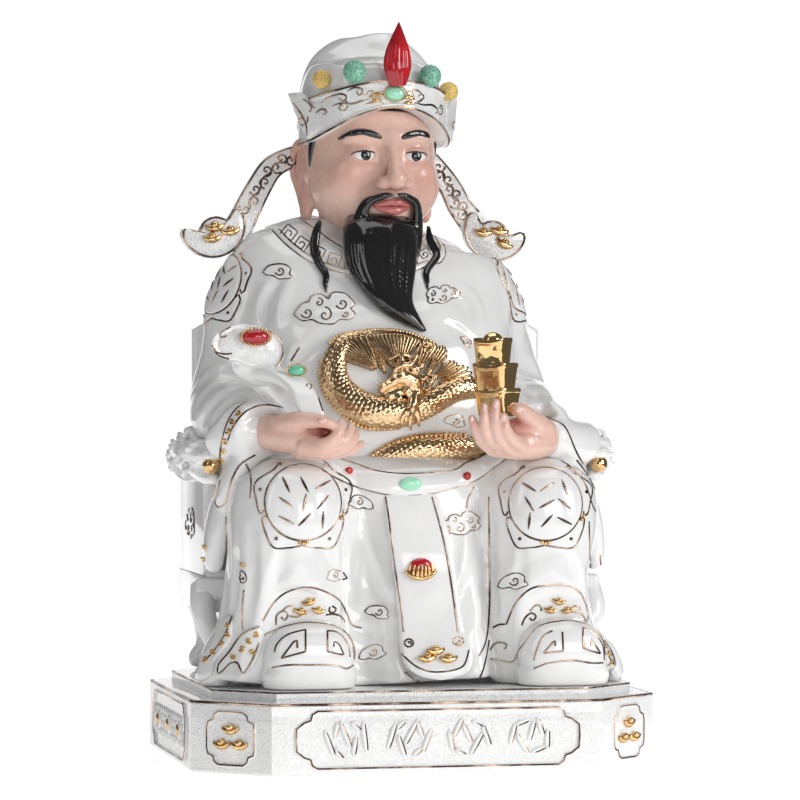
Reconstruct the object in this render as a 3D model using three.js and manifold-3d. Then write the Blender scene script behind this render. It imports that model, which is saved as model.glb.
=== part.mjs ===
import * as THREE from "three";
import { mergeVertices } from "three/addons/utils/BufferGeometryUtils.js";
import Module from "manifold-3d";

// A seated porcelain god of wealth on a dragon armchair and a bevelled plinth.
// Millimetres, +Z up, the figure faces -Y, origin at the middle of the plinth's underside.

// Driving dimensions
const FIGURE_HEIGHT = 375; // sole of the boots to the tip of the flame on the hat
const PLINTH_WIDTH = 263;
const PLINTH_DEPTH = 230;
const PLINTH_HEIGHT = 40.2;
const BEVEL_WIDTH = 38.5; // corner cut, along the front
const BEVEL_DEPTH = 36.6; // corner cut, along the side
const PLINTH_ROUND = 2.6; // radius of the plinth's upper and lower edges
const PANEL_MARGIN = 13; // from the ends of a plinth face to its raised frame
const BEVEL_MARGIN = 10.8; // the same on the corner cuts
const PANEL_BORDER = 4.4; // plain border above and below a raised frame
const TIER_INSET = 12;
const TIER_HEIGHT = 5.5;
const TIER_ROUND = 1.8;
const RELIEF = 0.9; // height of frames, borders and strokes over their ground
const CLEARANCE = 0.3; // gap between pieces that touch
const SLIVER = 2.4; // shortest edge that a join may leave
const SEAT_HEIGHT = 62; // of the armchair, over the plinth
const RAIL_DEPTH = 24; // seat rail of the armchair, top to underside
const RAIL_LEDGE = 5; // moulding that stands out from the rail
const ARM_HEIGHT = 116; // over the plinth
const BACK_HEIGHT = 200; // shoulders of the armchair's back, over the plinth
const CREST_RISE = 26; // arch of the back over its shoulders
const CHAIR_MARGIN = 18.5; // from the plinth's sides to the armchair's
const CHAIR_BACK_MARGIN = 22; // from the plinth's back to the armchair's
const CHAIR_DEPTH = 103;
const PANEL_THICKNESS = 10; // sides and back of the armchair
const INGOT_LENGTH = 28; // lowest of the three stacked ingots
const POMPOM_RADIUS = 6.9;

// The free forms are drawn on a grid 375 units tall, so they keep the pose as shares of the height.
const U = FIGURE_HEIGHT / 375;
const PLINTH_TOP = PLINTH_HEIGHT + TIER_HEIGHT;
const CHAIR_WIDTH = PLINTH_WIDTH - 2 * CHAIR_MARGIN;
const CHAIR_BACK = PLINTH_DEPTH / 2 - CHAIR_BACK_MARGIN;
const CHAIR_FRONT = CHAIR_BACK - CHAIR_DEPTH;
const LEFT = -1; // the side at a viewer's left
const RIGHT = 1;

const wasm = await Module();
wasm.setup();

const X_AXIS = new THREE.Vector3(1, 0, 0);
const Z_AXIS = new THREE.Vector3(0, 0, 1);

function vec(x, y, z) {
  return new THREE.Vector3(x, y, z);
}

// A closed solid from points and triangles, turned so that its faces point out.
function solid(points, faces) {
  const vertProperties = new Float32Array(points.flatMap((p) => [p.x, p.y, p.z]));
  const build = (order) =>
    new wasm.Manifold(new wasm.Mesh({ numProp: 3, vertProperties, triVerts: new Uint32Array(order) }));
  const made = build(faces);
  if (made.volume() > 0) return made;
  const turned = faces.map((_, i) => faces[i % 3 === 0 ? i : i % 3 === 1 ? i + 1 : i - 1]);
  return build(turned);
}

function solidOf(geometry) {
  const bare = new THREE.BufferGeometry().setAttribute("position", geometry.getAttribute("position"));
  if (geometry.index) bare.setIndex(geometry.index);
  const merged = mergeVertices(bare, 1e-4);
  const position = merged.getAttribute("position");
  const points = [];
  for (let i = 0; i < position.count; i++) points.push(vec().fromBufferAttribute(position, i));
  return solid(points, [...merged.index.array]);
}

function join(solids) {
  return solids.reduce((all, next) => all.add(next));
}

function cut(from, tools) {
  return tools.reduce((left, tool) => left.subtract(tool), from);
}

// The solid without the hollows that its parts wall in, and without the crumbs that cuts leave.
function filled(made) {
  return made.decompose().reduce((best, body) => (body.volume() > best.volume() ? body : best));
}

// Joins leave slivers. Every edge shorter than SLIVER is closed up, one end onto the other,
// where the skin stays whole, no face turns over and none moves by more than the given tolerance.
function smoothed(made, tolerance = CLEARANCE / 2) {
  const m = made.getMesh();
  const points = [];
  for (let i = 0; i < m.numVert; i++) points.push(vec(...m.vertProperties.slice(3 * i, 3 * i + 3)));
  const faces = [];
  for (let i = 0; i < m.triVerts.length; i += 3) faces.push([...m.triVerts.slice(i, i + 3)]);
  const around = points.map(() => new Set());
  faces.forEach((face, i) => face.forEach((v) => around[v].add(i)));
  const normal = ([a, b, c]) => points[b].clone().sub(points[a]).cross(points[c].clone().sub(points[a]));
  const ring = (v) => new Set([...around[v]].flatMap((i) => faces[i]).filter((w) => w !== v));
  const keeps = (gone, kept) =>
    [...around[gone]].every((i) => {
      if (faces[i].includes(kept)) return true;
      const before = normal(faces[i]);
      const after = normal(faces[i].map((v) => (v === gone ? kept : v)));
      const turn = before.dot(after) / (before.length() * after.length());
      const moved = Math.abs(points[gone].clone().sub(points[kept]).dot(after.normalize()));
      return turn > 0.7 && moved < tolerance;
    });
  const closeUp = (gone, kept) => {
    const near = ring(kept);
    if ([...ring(gone)].filter((v) => near.has(v)).length !== 2 || !keeps(gone, kept)) return false;
    [...around[gone]].forEach((i) => {
      if (faces[i].includes(kept)) {
        faces[i].forEach((v) => around[v].delete(i));
        faces[i] = null;
      } else {
        faces[i] = faces[i].map((v) => (v === gone ? kept : v));
        around[kept].add(i);
      }
    });
    around[gone].clear();
    return true;
  };
  [0.25, 0.5, 0.75, 1].forEach((share) =>
    points.forEach((p, v) => {
      const next = [...ring(v)].find((w) => p.distanceTo(points[w]) < share * SLIVER && closeUp(v, w));
      if (next !== undefined) around[v].clear();
    }),
  );
  return solid(points, faces.filter(Boolean).flat());
}

// A skin over rings of equal length, closed at both ends by a fan.
function skin(rings) {
  const sides = rings[0].length;
  const points = rings.flat();
  const faces = [];
  for (let r = 0; r + 1 < rings.length; r++)
    for (let s = 0; s < sides; s++) {
      const a = r * sides + s;
      const b = r * sides + ((s + 1) % sides);
      faces.push(a, b, b + sides, a, b + sides, a + sides);
    }
  [0, rings.length - 1].forEach((r) => {
    const centre = rings[r].reduce((sum, p) => sum.add(p), vec(0, 0, 0)).divideScalar(sides);
    const tip = points.push(centre) - 1;
    for (let s = 0; s < sides; s++) {
      const a = r * sides + s;
      const b = r * sides + ((s + 1) % sides);
      faces.push(...(r === 0 ? [tip, b, a] : [tip, a, b]));
    }
  });
  return solid(points, faces);
}

// A skin over rings that go once round and meet their own start.
function hoop(rings) {
  const sides = rings[0].length;
  const faces = [];
  rings.forEach((_, r) => {
    const next = (r + 1) % rings.length;
    for (let s = 0; s < sides; s++) {
      const t = (s + 1) % sides;
      faces.push(r * sides + s, r * sides + t, next * sides + t);
      faces.push(r * sides + s, next * sides + t, next * sides + s);
    }
  });
  return solid(rings.flat(), faces);
}

// Catmull-Rom through rows of numbers, at t from 0 to 1.
function along(rows, t) {
  const last = rows.length - 1;
  const i = Math.min(Math.floor(t * last), last - 1);
  const f = t * last - i;
  const row = (k) => rows[Math.min(Math.max(k, 0), last)];
  return rows[0].map((_, k) => {
    const [a, b, c, d] = [row(i - 1)[k], row(i)[k], row(i + 1)[k], row(i + 2)[k]];
    return b + 0.5 * f * (c - a + f * (2 * a - 5 * b + 4 * c - d + f * (3 * (b - c) + d - a)));
  });
}

// A body lofted over stations [x, y, z, half width, half depth] in units of the given length.
// side is the way its width runs, power squares its sections, ripple folds its skin, and
// domed rounds the ends off over that share of the length.
function loft(stations, options = {}) {
  const { sides = 10, rings = 6, side = X_AXIS, power = 2, ripple, domed = [0, 0] } = options;
  const { grow = 0, unit = U } = options;
  const made = [];
  const evened = domed[0] > 0 || domed[1] > 0;
  for (let r = 0; r <= rings; r++) {
    const t = evened ? 0.5 - 0.5 * Math.cos((Math.PI * r) / rings) : r / rings;
    const [x, y, z, w, d] = along(stations, t).map((v) => v * unit);
    const ahead = along(stations, Math.min(t + 0.01, 1));
    const behind = along(stations, Math.max(t - 0.01, 0));
    const tangent = vec(ahead[0] - behind[0], ahead[1] - behind[1], ahead[2] - behind[2]).normalize();
    const across = side.clone().addScaledVector(tangent, -side.dot(tangent)).normalize();
    const deep = tangent.clone().cross(across);
    const start = domed[0] ? dome(t / domed[0]) : 1;
    const end = domed[1] ? dome((1 - t) / domed[1]) : 1;
    const shift = r === 0 ? -grow : r === rings ? grow : 0;
    const centre = vec(x, y, z).addScaledVector(tangent, shift);
    const ring = [];
    for (let s = 0; s < sides; s++) {
      const angle = (2 * Math.PI * s) / sides;
      const c = Math.cos(angle);
      const n = Math.sin(angle);
      const fold = ripple ? 1 + ripple(angle, t) : 1;
      const reach = start * end * fold;
      const u = Math.sign(c) * Math.abs(c) ** (2 / power) * (w * reach + grow);
      const v = Math.sign(n) * Math.abs(n) ** (2 / power) * (d * reach + grow);
      ring.push(centre.clone().addScaledVector(across, u).addScaledVector(deep, v));
    }
    made.push(ring);
  }
  return skin(made);
}

function dome(share) {
  const s = Math.min(Math.max(share, 0), 1);
  return Math.max(Math.sqrt(1 - (1 - s) ** 2), 0.12);
}

// An ellipsoid in units of the given length.
function ball([x, y, z], [rx, ry, rz], { sides = 10, rings = 5, grow = 0, unit = U } = {}) {
  const geometry = new THREE.SphereGeometry(1, sides, rings);
  geometry.rotateX(Math.PI / 2);
  geometry.scale(rx * unit + grow, ry * unit + grow, rz * unit + grow);
  geometry.translate(x * unit, y * unit, z * unit);
  return solidOf(geometry);
}

// A tube of radii along a curve of points [x, y, z, radius] in grid units.
function tube(points, options = {}) {
  const stations = points.map(([x, y, z, radius]) => [x, y, z, radius, radius]);
  return loft(stations, { sides: 6, domed: [0.12, 0.12], side: vec(0.31, 0.22, 0.93), ...options });
}

function box([x0, x1], [y0, y1], [z0, z1], grow = 0) {
  const geometry = new THREE.BoxGeometry(x1 - x0 + 2 * grow, y1 - y0 + 2 * grow, z1 - z0 + 2 * grow);
  geometry.translate((x0 + x1) / 2, (y0 + y1) / 2, (z0 + z1) / 2);
  return solidOf(geometry);
}

// Mirror of stations or points to the side of one sign.
function to(side, rows) {
  return rows.map(([x, ...rest]) => [side * x, ...rest]);
}

// Plinth

// Corners of the bevelled rectangle, drawn in by an inset.
function bevelled(inset, z) {
  const x = PLINTH_WIDTH / 2 - inset;
  const y = PLINTH_DEPTH / 2 - inset;
  const shrink = inset * (BEVEL_WIDTH + BEVEL_DEPTH - Math.hypot(BEVEL_WIDTH, BEVEL_DEPTH));
  const bx = BEVEL_WIDTH - shrink / BEVEL_DEPTH;
  const by = BEVEL_DEPTH - shrink / BEVEL_WIDTH;
  const quarter = [
    [x, y - by],
    [x - bx, y],
  ];
  const outline = [
    ...quarter,
    ...quarter.map(([a, b]) => [-a, b]).reverse(),
    ...quarter.map(([a, b]) => [-a, -b]),
    ...quarter.map(([a, b]) => [a, -b]).reverse(),
  ];
  return outline.map(([a, b]) => vec(a, b, z));
}

// Rings of a bevelled slab whose lower and upper edges are rounded.
function slab(inset, bottom, top, lowRound, highRound) {
  const steps = [0, 45, 90];
  const rings = [];
  const at = (r, angle, z) => bevelled(inset + r * (1 - Math.cos(angle)), z);
  steps.forEach((deg) => {
    const angle = ((90 - deg) * Math.PI) / 180;
    if (lowRound > 0) rings.push(at(lowRound, angle, bottom + lowRound * (1 - Math.sin(angle))));
  });
  if (lowRound === 0) rings.push(bevelled(inset, bottom));
  steps.forEach((deg) => {
    const angle = (deg * Math.PI) / 180;
    rings.push(at(highRound, angle, top - highRound * (1 - Math.sin(angle))));
  });
  return skin(rings);
}

// A raised frame: the border between an outline and its inner copy, stood up on a vertical face.
// place moves it from the sheet (x across, y up, z out) to the face.
function frame(outline, width, height, place) {
  const shape = new THREE.Shape(outline(0));
  shape.holes.push(new THREE.Path(outline(width)));
  const geometry = new THREE.ExtrudeGeometry(shape, { depth: height, bevelEnabled: false, steps: 1 });
  geometry.translate(0, 0, -height / 2);
  geometry.applyMatrix4(place);
  return solidOf(geometry);
}

// A cartouche outline: a rectangle whose corners step in and whose ends may bulge.
function cartouche(halfWidth, halfHeight, notch, bulge = 0) {
  return (inset) => {
    const w = halfWidth - inset;
    const h = halfHeight - inset;
    const points = [];
    [0, 1, 2, 3].forEach((corner) => {
      const sx = corner === 0 || corner === 3 ? 1 : -1;
      const sy = corner < 2 ? 1 : -1;
      const side = [
        [w, h - notch],
        [w - notch, h - notch],
        [w - notch, h],
      ];
      if (bulge > 0) side.unshift([w + bulge, h - notch * 1.9]);
      const ordered = sx * sy > 0 ? side : [...side].reverse();
      ordered.forEach(([x, y]) => points.push(new THREE.Vector2(sx * x, sy * y)));
    });
    return points;
  };
}

function rectangle(halfWidth, halfHeight) {
  return (inset) => {
    const w = halfWidth - inset;
    const h = halfHeight - inset;
    const corners = [
      [w, h],
      [-w, h],
      [-w, -h],
      [w, -h],
    ];
    return corners.map(([x, y]) => new THREE.Vector2(x, y));
  };
}

// The plate that stands a sheet up on a plinth face: centre x, y, z and the heading of its normal.
function facing(x, y, z, heading) {
  const turn = new THREE.Matrix4().makeRotationZ(heading);
  const up = new THREE.Matrix4().makeRotationX(Math.PI / 2);
  return new THREE.Matrix4().makeTranslation(x, y, z).multiply(turn).multiply(up);
}

// One row of shallow strokes standing on a sheet, each a bar of its own slant.
function strokes(count, pitch, height, place) {
  const bars = [];
  for (let i = 0; i < count; i++) {
    const middle = (i - (count - 1) / 2) * pitch;
    const slant = 0.32 * Math.sin(2.4 * i + 0.7);
    const tall = height * (0.72 + 0.28 * Math.cos(1.7 * i));
    const bar = new THREE.BoxGeometry(pitch * 0.36, tall, 2 * RELIEF);
    bar.rotateZ(slant);
    bar.translate(middle, 0, 0);
    bar.applyMatrix4(place);
    bars.push(solidOf(bar));
  }
  return bars;
}

// A small boat-shaped ingot lying on a sheet.
function reliefIngot(x, y, length, place) {
  const half = length / 2;
  const rings = [-1, 0, 1].map((t) => {
    const lift = 0.2 * half * t * t;
    const wide = half * (0.42 - 0.26 * t * t);
    const corners = [
      [wide * 0.5, 0],
      [0, wide],
      [-wide * 0.5, 0],
      [0, -wide],
    ];
    return corners.map(([a, b]) => vec(x + t * half, y + lift + b, a * 0.9).applyMatrix4(place));
  });
  return skin(rings);
}

function plinth() {
  const block = slab(0, 0, PLINTH_HEIGHT, PLINTH_ROUND, PLINTH_ROUND);
  const tier = slab(TIER_INSET, PLINTH_HEIGHT - 1, PLINTH_TOP, 0, TIER_ROUND);
  const middle = PLINTH_HEIGHT / 2;
  const halfHeight = middle - PANEL_BORDER;
  const pieces = [block, tier];
  const faceWidth = PLINTH_WIDTH / 2 - BEVEL_WIDTH;
  const faceDepth = PLINTH_DEPTH / 2 - BEVEL_DEPTH;
  const front = facing(0, -PLINTH_DEPTH / 2, middle, 0);
  pieces.push(frame(cartouche(faceWidth - PANEL_MARGIN, halfHeight, 5, 3.5), 1.2, 2 * RELIEF, front));
  const pitch = halfHeight * 0.85;
  const count = Math.floor((1.6 * (faceWidth - PANEL_MARGIN)) / pitch);
  pieces.push(...strokes(count, pitch, halfHeight, front));
  const back = facing(0, PLINTH_DEPTH / 2, middle, Math.PI);
  pieces.push(frame(rectangle(faceWidth - PANEL_MARGIN, halfHeight), 1.2, 2 * RELIEF, back));
  const heading = Math.atan2(BEVEL_WIDTH, BEVEL_DEPTH);
  const bevelHalf = Math.hypot(BEVEL_WIDTH, BEVEL_DEPTH) / 2 - BEVEL_MARGIN;
  [LEFT, RIGHT].forEach((side) => {
    const x = side * (PLINTH_WIDTH / 2 - BEVEL_WIDTH / 2);
    const y = -(PLINTH_DEPTH / 2 - BEVEL_DEPTH / 2);
    const bevel = facing(x, y, middle, side * (Math.PI / 2 - heading));
    pieces.push(frame(cartouche(bevelHalf, halfHeight - 2, 4.6), 1, 2 * RELIEF, bevel));
    [
      [0, 3.6],
      [-5.2, -3.4],
      [5.2, -3.4],
    ].forEach(([u, v]) => pieces.push(reliefIngot(u, v, 9.5, bevel)));
    const flank = facing((side * PLINTH_WIDTH) / 2, 0, middle, (side * Math.PI) / 2);
    pieces.push(frame(rectangle(faceDepth - PANEL_MARGIN, halfHeight), 1.2, 2 * RELIEF, flank));
  });
  return join(pieces);
}

// Armchair

// Dragon head at the end of an arm, looking forward, with its mane swept back.
// Its points are millimetres from the outer top front corner of the arm's panel.
function dragonHead(side, grow) {
  const outer = CHAIR_WIDTH / 2;
  const at = ([x, y, z, ...rest]) => [side * (outer + x), CHAIR_FRONT + y, ARM_HEIGHT + z, ...rest];
  const skull = [
    [5, 50, 6, 9, 12],
    [6, 36, 10, 14, 18],
    [5, 18, 13, 14, 15],
    [3, 4, 11, 10.5, 11],
    [2, -8, 7, 7, 7],
  ];
  const jaw = [
    [4, 22, 2, 10, 6],
    [2, 6, -3, 7.5, 4.5],
    [1, -5, -4.5, 5, 3.5],
  ];
  const tufts = [
    [[11, 38, 22, 5, 5], [18, 50, 31, 0.8, 0.8]],
    [[15, 42, 14, 5, 5], [19, 56, 17, 0.8, 0.8]],
    [[14, 42, 2, 5, 5], [18, 56, -2, 0.8, 0.8]],
    [[-1, 36, 26, 5, 5], [-1, 54, 34, 0.8, 0.8]],
    [[5, 16, 25, 5, 5], [7, 34, 37, 0.8, 0.8]],
  ];
  return join([
    loft(skull.map(at), { sides: 8, rings: 5, domed: [0, 0.25], grow, unit: 1 }),
    loft(jaw.map(at), { sides: 6, rings: 3, domed: [0, 0.3], grow, unit: 1 }),
    ball(at([1.5, -1, 3]), [6, 6, 6], { sides: 7, rings: 4, grow, unit: 1 }),
    ...tufts.map((ends) => loft(ends.map(at), { sides: 4, rings: 1, grow, unit: 1 })),
  ]);
}

function chairLeg(side, front, grow) {
  const railLow = SEAT_HEIGHT - RAIL_DEPTH;
  const path = front
    ? [
        [-1, 8, railLow + 14, 8, 8],
        [1, -2, railLow, 7, 7],
        [-5, -6, 20, 5.5, 5.5],
        [-7, -16, 8, 6.5, 6],
        [-6, -23, 5, 5, 4.5],
      ]
    : [
        [-6, -9, railLow + 10, 8, 8],
        [-5, -7, 28, 6.5, 6.5],
        [-7, -9, 12, 6, 6],
        [-6, -11, 5, 7.5, 5],
      ];
  const end = front ? CHAIR_FRONT : CHAIR_BACK;
  const placed = path.map(([x, y, ...rest]) => [side * (CHAIR_WIDTH / 2 + x), end + y, ...rest]);
  return loft(placed, { sides: 6, rings: 4, domed: [0, 0.3], grow, unit: 1 });
}

function chairBack(grow) {
  const half = CHAIR_WIDTH / 2 - 8 + grow;
  const low = SEAT_HEIGHT - RAIL_DEPTH + 4;
  const shoulder = BACK_HEIGHT + grow;
  const rise = CREST_RISE;
  const crest = new THREE.Shape();
  crest.moveTo(-half, low - grow);
  crest.lineTo(half, low - grow);
  crest.lineTo(half, shoulder);
  const [low1, high1] = [shoulder + rise * 0.6, shoulder + rise * 0.9];
  crest.bezierCurveTo(half * 0.8, low1, half * 0.4, high1, 0, shoulder + rise);
  crest.bezierCurveTo(-half * 0.4, high1, -half * 0.8, low1, -half, shoulder);
  const depth = PANEL_THICKNESS + 2 * grow;
  const back = new THREE.ExtrudeGeometry(crest, { depth, bevelEnabled: false, curveSegments: 4 });
  back.rotateX(Math.PI / 2);
  back.translate(0, CHAIR_BACK + grow, 0);
  return solidOf(back);
}

function chair(grow = 0) {
  const half = CHAIR_WIDTH / 2;
  const railLow = SEAT_HEIGHT - RAIL_DEPTH;
  const ledge = half + RAIL_LEDGE;
  const pieces = [
    chairBack(grow),
    box([-half, half], [CHAIR_FRONT, CHAIR_BACK], [railLow, SEAT_HEIGHT], grow),
    box([-ledge, ledge], [CHAIR_FRONT - 3, CHAIR_FRONT + 8], [railLow + 7, SEAT_HEIGHT - 4], grow),
    box([-half + 14, half - 14], [CHAIR_FRONT + 14, CHAIR_BACK - 6], [0, railLow + 2], grow),
  ];
  [LEFT, RIGHT].forEach((side) => {
    const span = [side * (half - PANEL_THICKNESS), side * half].sort((a, b) => a - b);
    const run = [CHAIR_FRONT + 4, CHAIR_BACK - PANEL_THICKNESS + 2];
    const roll = [
      [side * (half - 3), CHAIR_BACK - 9, ARM_HEIGHT + 2, 6, 6],
      [side * half, CHAIR_BACK - 33, ARM_HEIGHT + 1, 6, 6],
      [side * (half + 4), CHAIR_FRONT + 40, ARM_HEIGHT + 4, 8, 8],
    ];
    pieces.push(
      box(span, run, [SEAT_HEIGHT - 6, ARM_HEIGHT], grow),
      loft(roll, { sides: 6, rings: 2, grow, unit: 1 }),
      dragonHead(side, grow),
      chairLeg(side, true, grow),
      chairLeg(side, false, grow),
    );
  });
  return join(pieces);
}

// Figure

const TORSO = [
  [0, 34, 50, 88, 48],
  [-2, 24, 92, 88, 56],
  [-4, 18, 135, 82, 60],
  [-7, 18, 170, 80, 60],
  [-9, 26, 200, 82, 52],
  [-11, 33, 224, 84, 44],
  [-11, 37, 242, 78, 36],
  [-10, 38, 253, 56, 27],
  [-9, 38, 261, 34, 23],
];
const TORSO_POWER = 2.3;

// The y of the robe's front at a place x, z of the torso.
function chestFront(x, z) {
  let low = 0;
  let high = 1;
  for (let i = 0; i < 20; i++) {
    const mid = (low + high) / 2;
    if (along(TORSO, mid)[2] < z) low = mid;
    else high = mid;
  }
  const [cx, cy, , w, d] = along(TORSO, low);
  const share = Math.min(Math.abs(x - cx) / w, 0.98);
  return cy - d * (1 - share ** TORSO_POWER) ** (1 / TORSO_POWER);
}

function torso() {
  const creases = (angle, t) => 0.012 * Math.sin(9 * angle + 5 * t) * (t > 0.45 ? 1 : 0.3);
  const trunk = loft(TORSO, { sides: 16, rings: 9, power: TORSO_POWER, ripple: creases });
  const lap = ball([-1, -8, 108], [74, 54, 27], { sides: 14, rings: 5 });
  return [trunk, lap];
}

const UPPER_ARM = [
  [64, 40, 232, 22, 24],
  [72, 38, 212, 24, 27],
  [76, 33, 184, 24, 28],
  [84, 26, 158, 24, 27],
  [87, 8, 147, 22, 24],
];
const FOREARM = [
  [85, 20, 152, 23, 25],
  [86, -4, 149, 23, 25],
  [86, -26, 147, 21, 23],
  [83, -44, 144, 19, 21],
  [79, -58, 141, 16, 18],
];
const ARM_LEAN = -8; // the trunk and arms sit a little to the viewer's left
const OUTER_DROP = [
  [91, -32, 150, 12, 30],
  [99, -36, 128, 11, 23],
  [106, -39, 110, 8, 14],
  [109.5, -40, 98, 4, 6],
];
const INNER_DROP = [
  [103, -22, 128, 10, 22],
  [108, -24, 96, 8, 18],
  [110, -26, 74, 6.5, 12],
  [110, -27, 61, 4, 6],
];

function arm(side) {
  const leaned = (rows) => rows.map(([x, ...rest]) => [side * x + ARM_LEAN, ...rest]);
  const drop = OUTER_DROP.map(([x, ...rest], i) => [side * x + ARM_LEAN * (1 - i / 3), ...rest]);
  const folds = (angle, t) => 0.07 * Math.sin(15 * t + 2 * Math.cos(angle)) * Math.sin(Math.PI * t);
  return [
    loft(leaned(UPPER_ARM), { sides: 10, rings: 6, domed: [0.25, 0.1], ripple: folds }),
    loft(leaned(FOREARM), { sides: 10, rings: 6, domed: [0.15, 0], side: Z_AXIS, ripple: folds }),
    loft(drop, { sides: 7, rings: 3, power: 2.4 }),
    loft(to(side, INNER_DROP), { sides: 6, rings: 3, power: 2.4 }),
  ];
}

const THIGH = [
  [46, 36, 92, 40, 34],
  [56, 0, 96, 40, 34],
  [67, -34, 97, 37, 32],
  [70, -62, 96, 33, 31],
  [70, -89, 95, 27, 27],
];
const ROBE_COLUMN = [
  [74, -50, 112, 28, 30],
  [75, -54, 88, 31, 33],
  [75, -55, 58, 32, 32],
  [76, -55, 30, 34, 31],
  [79, -56, 0, 38, 33],
];
const BOOT = [
  [71, -30, 12, 20, 22],
  [71, -60, 14, 23, 26],
  [72, -84, 12, 25, 25],
  [72, -100, 10, 24, 22],
];

function leg(side) {
  const pleats = (angle, t) => 0.035 * t * Math.sin(9 * angle + 1.2);
  const column = loft(to(side, ROBE_COLUMN), { sides: 14, rings: 3, power: 2.4, ripple: pleats });
  const arch = loft(
    to(side, [
      [74, -104, -4, 31, 60],
      [74, -82, -4, 31, 60],
    ]),
    { sides: 10, rings: 1 },
  );
  const boot = loft(to(side, BOOT), { sides: 9, rings: 4, power: 2.5, domed: [0, 0.28] });
  const drape = loft(
    to(side, [
      [104, -44, 62, 4, 8],
      [108, -44, 34, 8, 16],
      [110, -46, 12, 9, 24],
      [111, -48, 0, 8, 22],
    ]),
    { sides: 6, rings: 3 },
  );
  return [
    loft(to(side, THIGH), { sides: 10, rings: 4, domed: [0, 0.3], power: 2.3 }),
    column.subtract(arch),
    boot,
    drape,
  ];
}

// The robe that falls between the knees, in folds, and the apron panel that hangs over it.
function skirt() {
  const folds = (angle, t) => 0.05 * (0.4 + t) * Math.sin(11 * angle + 0.6);
  const fall = loft(
    [
      [-1, -24, 112, 60, 34],
      [0, -30, 80, 56, 36],
      [2, -32, 40, 58, 40],
      [4, -34, 0, 62, 46],
    ],
    { sides: 22, rings: 2, power: 2.6, ripple: folds },
  );
  const apron = [
    [-1, -58, 108, 17.4],
    [1, -68, 84, 17.6],
    [3, -73, 60, 18],
    [5, -80, 34, 18.2],
    [6.5, -88, 14, 18],
    [6.5, -90, 6, 14],
  ];
  const rings = [];
  for (let i = 0; i <= 7; i++) {
    const [x, y, z, w] = along(apron, i / 7).map((v) => v * U);
    const crown = 2.2 * U;
    const back = 8 * U;
    rings.push([
      vec(x - w, y, z),
      vec(x - w * 0.5, y - crown, z),
      vec(x + w * 0.5, y - crown, z),
      vec(x + w, y, z),
      vec(x + w, y + back, z),
      vec(x - w, y + back, z),
    ]);
  }
  return [fall, skin(rings)];
}

function belt() {
  const rings = [];
  for (let i = 0; i <= 10; i++) {
    const t = i / 10;
    const angle = Math.PI * (0.08 + 0.84 * t);
    const x = -1 - 71 * Math.cos(angle);
    const y = -6 - 55.5 * Math.sin(angle);
    const z = 134 - 28 * Math.sin(angle);
    const half = 6;
    const section = [
      [0, -half],
      [-2.4, -half * 0.7],
      [-2.4, half * 0.7],
      [0, half],
      [5, half],
      [5, -half],
    ];
    rings.push(
      section.map(([out, up]) =>
        vec(x + out * Math.cos(angle), y + out * Math.sin(angle), z + up).multiplyScalar(U),
      ),
    );
  }
  return skin(rings);
}

function collar() {
  const rings = [];
  const count = 14;
  for (let i = 0; i < count; i++) {
    const angle = (2 * Math.PI * i) / count;
    const c = Math.cos(angle);
    const s = Math.sin(angle);
    const drop = s < 0 ? 14 * s * s : 0;
    const section = [
      [36, 256],
      [60, 251.5],
      [57, 246],
      [34, 250],
    ];
    rings.push(section.map(([r, z]) => vec(-10 + r * c, 35 + r * 0.72 * s, z - drop).multiplyScalar(U)));
  }
  return hoop(rings);
}

// Head: an ellipsoid whose skin is pushed out by soft mounds into a calm, regular face.
const HEAD = { centre: [-10, 30, 298], radii: [38.5, 41, 50], turn: 0.14 };
const FACE = [
  // across, up, spread across, spread up, push: as shares of the head's half height
  [0, -0.08, 0.1, 0.13, 0.16],
  [0, 0.1, 0.07, 0.2, 0.08],
  [-0.12, -0.16, 0.07, 0.07, 0.05],
  [0.12, -0.16, 0.07, 0.07, 0.05],
  [-0.3, 0.16, 0.15, 0.08, -0.06],
  [0.3, 0.16, 0.15, 0.08, -0.06],
  [0, -0.4, 0.2, 0.07, 0.05],
  [0, -0.72, 0.22, 0.14, 0.06],
  [-0.42, -0.16, 0.2, 0.2, 0.03],
  [0.42, -0.16, 0.2, 0.2, 0.03],
];

function head() {
  const sphere = new THREE.SphereGeometry(1, 16, 11);
  sphere.rotateX(Math.PI / 2);
  const position = sphere.getAttribute("position");
  const [rx, ry, rz] = HEAD.radii;
  for (let i = 0; i < position.count; i++) {
    const p = vec().fromBufferAttribute(position, i);
    let push = 0;
    if (p.y < 0)
      FACE.forEach(([u, v, su, sv, amount]) => {
        push += amount * Math.exp(-(((p.x - u) / su) ** 2) - ((p.z - v) / sv) ** 2) * -p.y;
      });
    const jaw = p.z < 0 ? 1 - 0.12 * p.z * p.z : 1;
    position.setXYZ(i, p.x * rx * jaw, p.y * ry - push * rz, p.z * rz);
  }
  sphere.rotateZ(HEAD.turn);
  sphere.scale(U, U, U);
  sphere.translate(...HEAD.centre.map((v) => v * U));
  const ears = [LEFT, RIGHT].map((side) => {
    const x = HEAD.centre[0] + side * 39.5;
    return loft(
      [
        [x - side * 3, 38, 262, 3.2, 4.5],
        [x + side * 0.5, 38, 272, 4, 6],
        [x + side * 1.5, 39, 290, 4.5, 8],
        [x, 40, 307, 4, 8],
      ],
      { sides: 6, rings: 4, domed: [0.2, 0.25] },
    );
  });
  const neck = loft([[-9, 36, 244, 30, 25], [-10, 34, 268, 27, 26]], { sides: 10, rings: 1 });
  return [solidOf(sphere), ...ears, neck];
}

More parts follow.
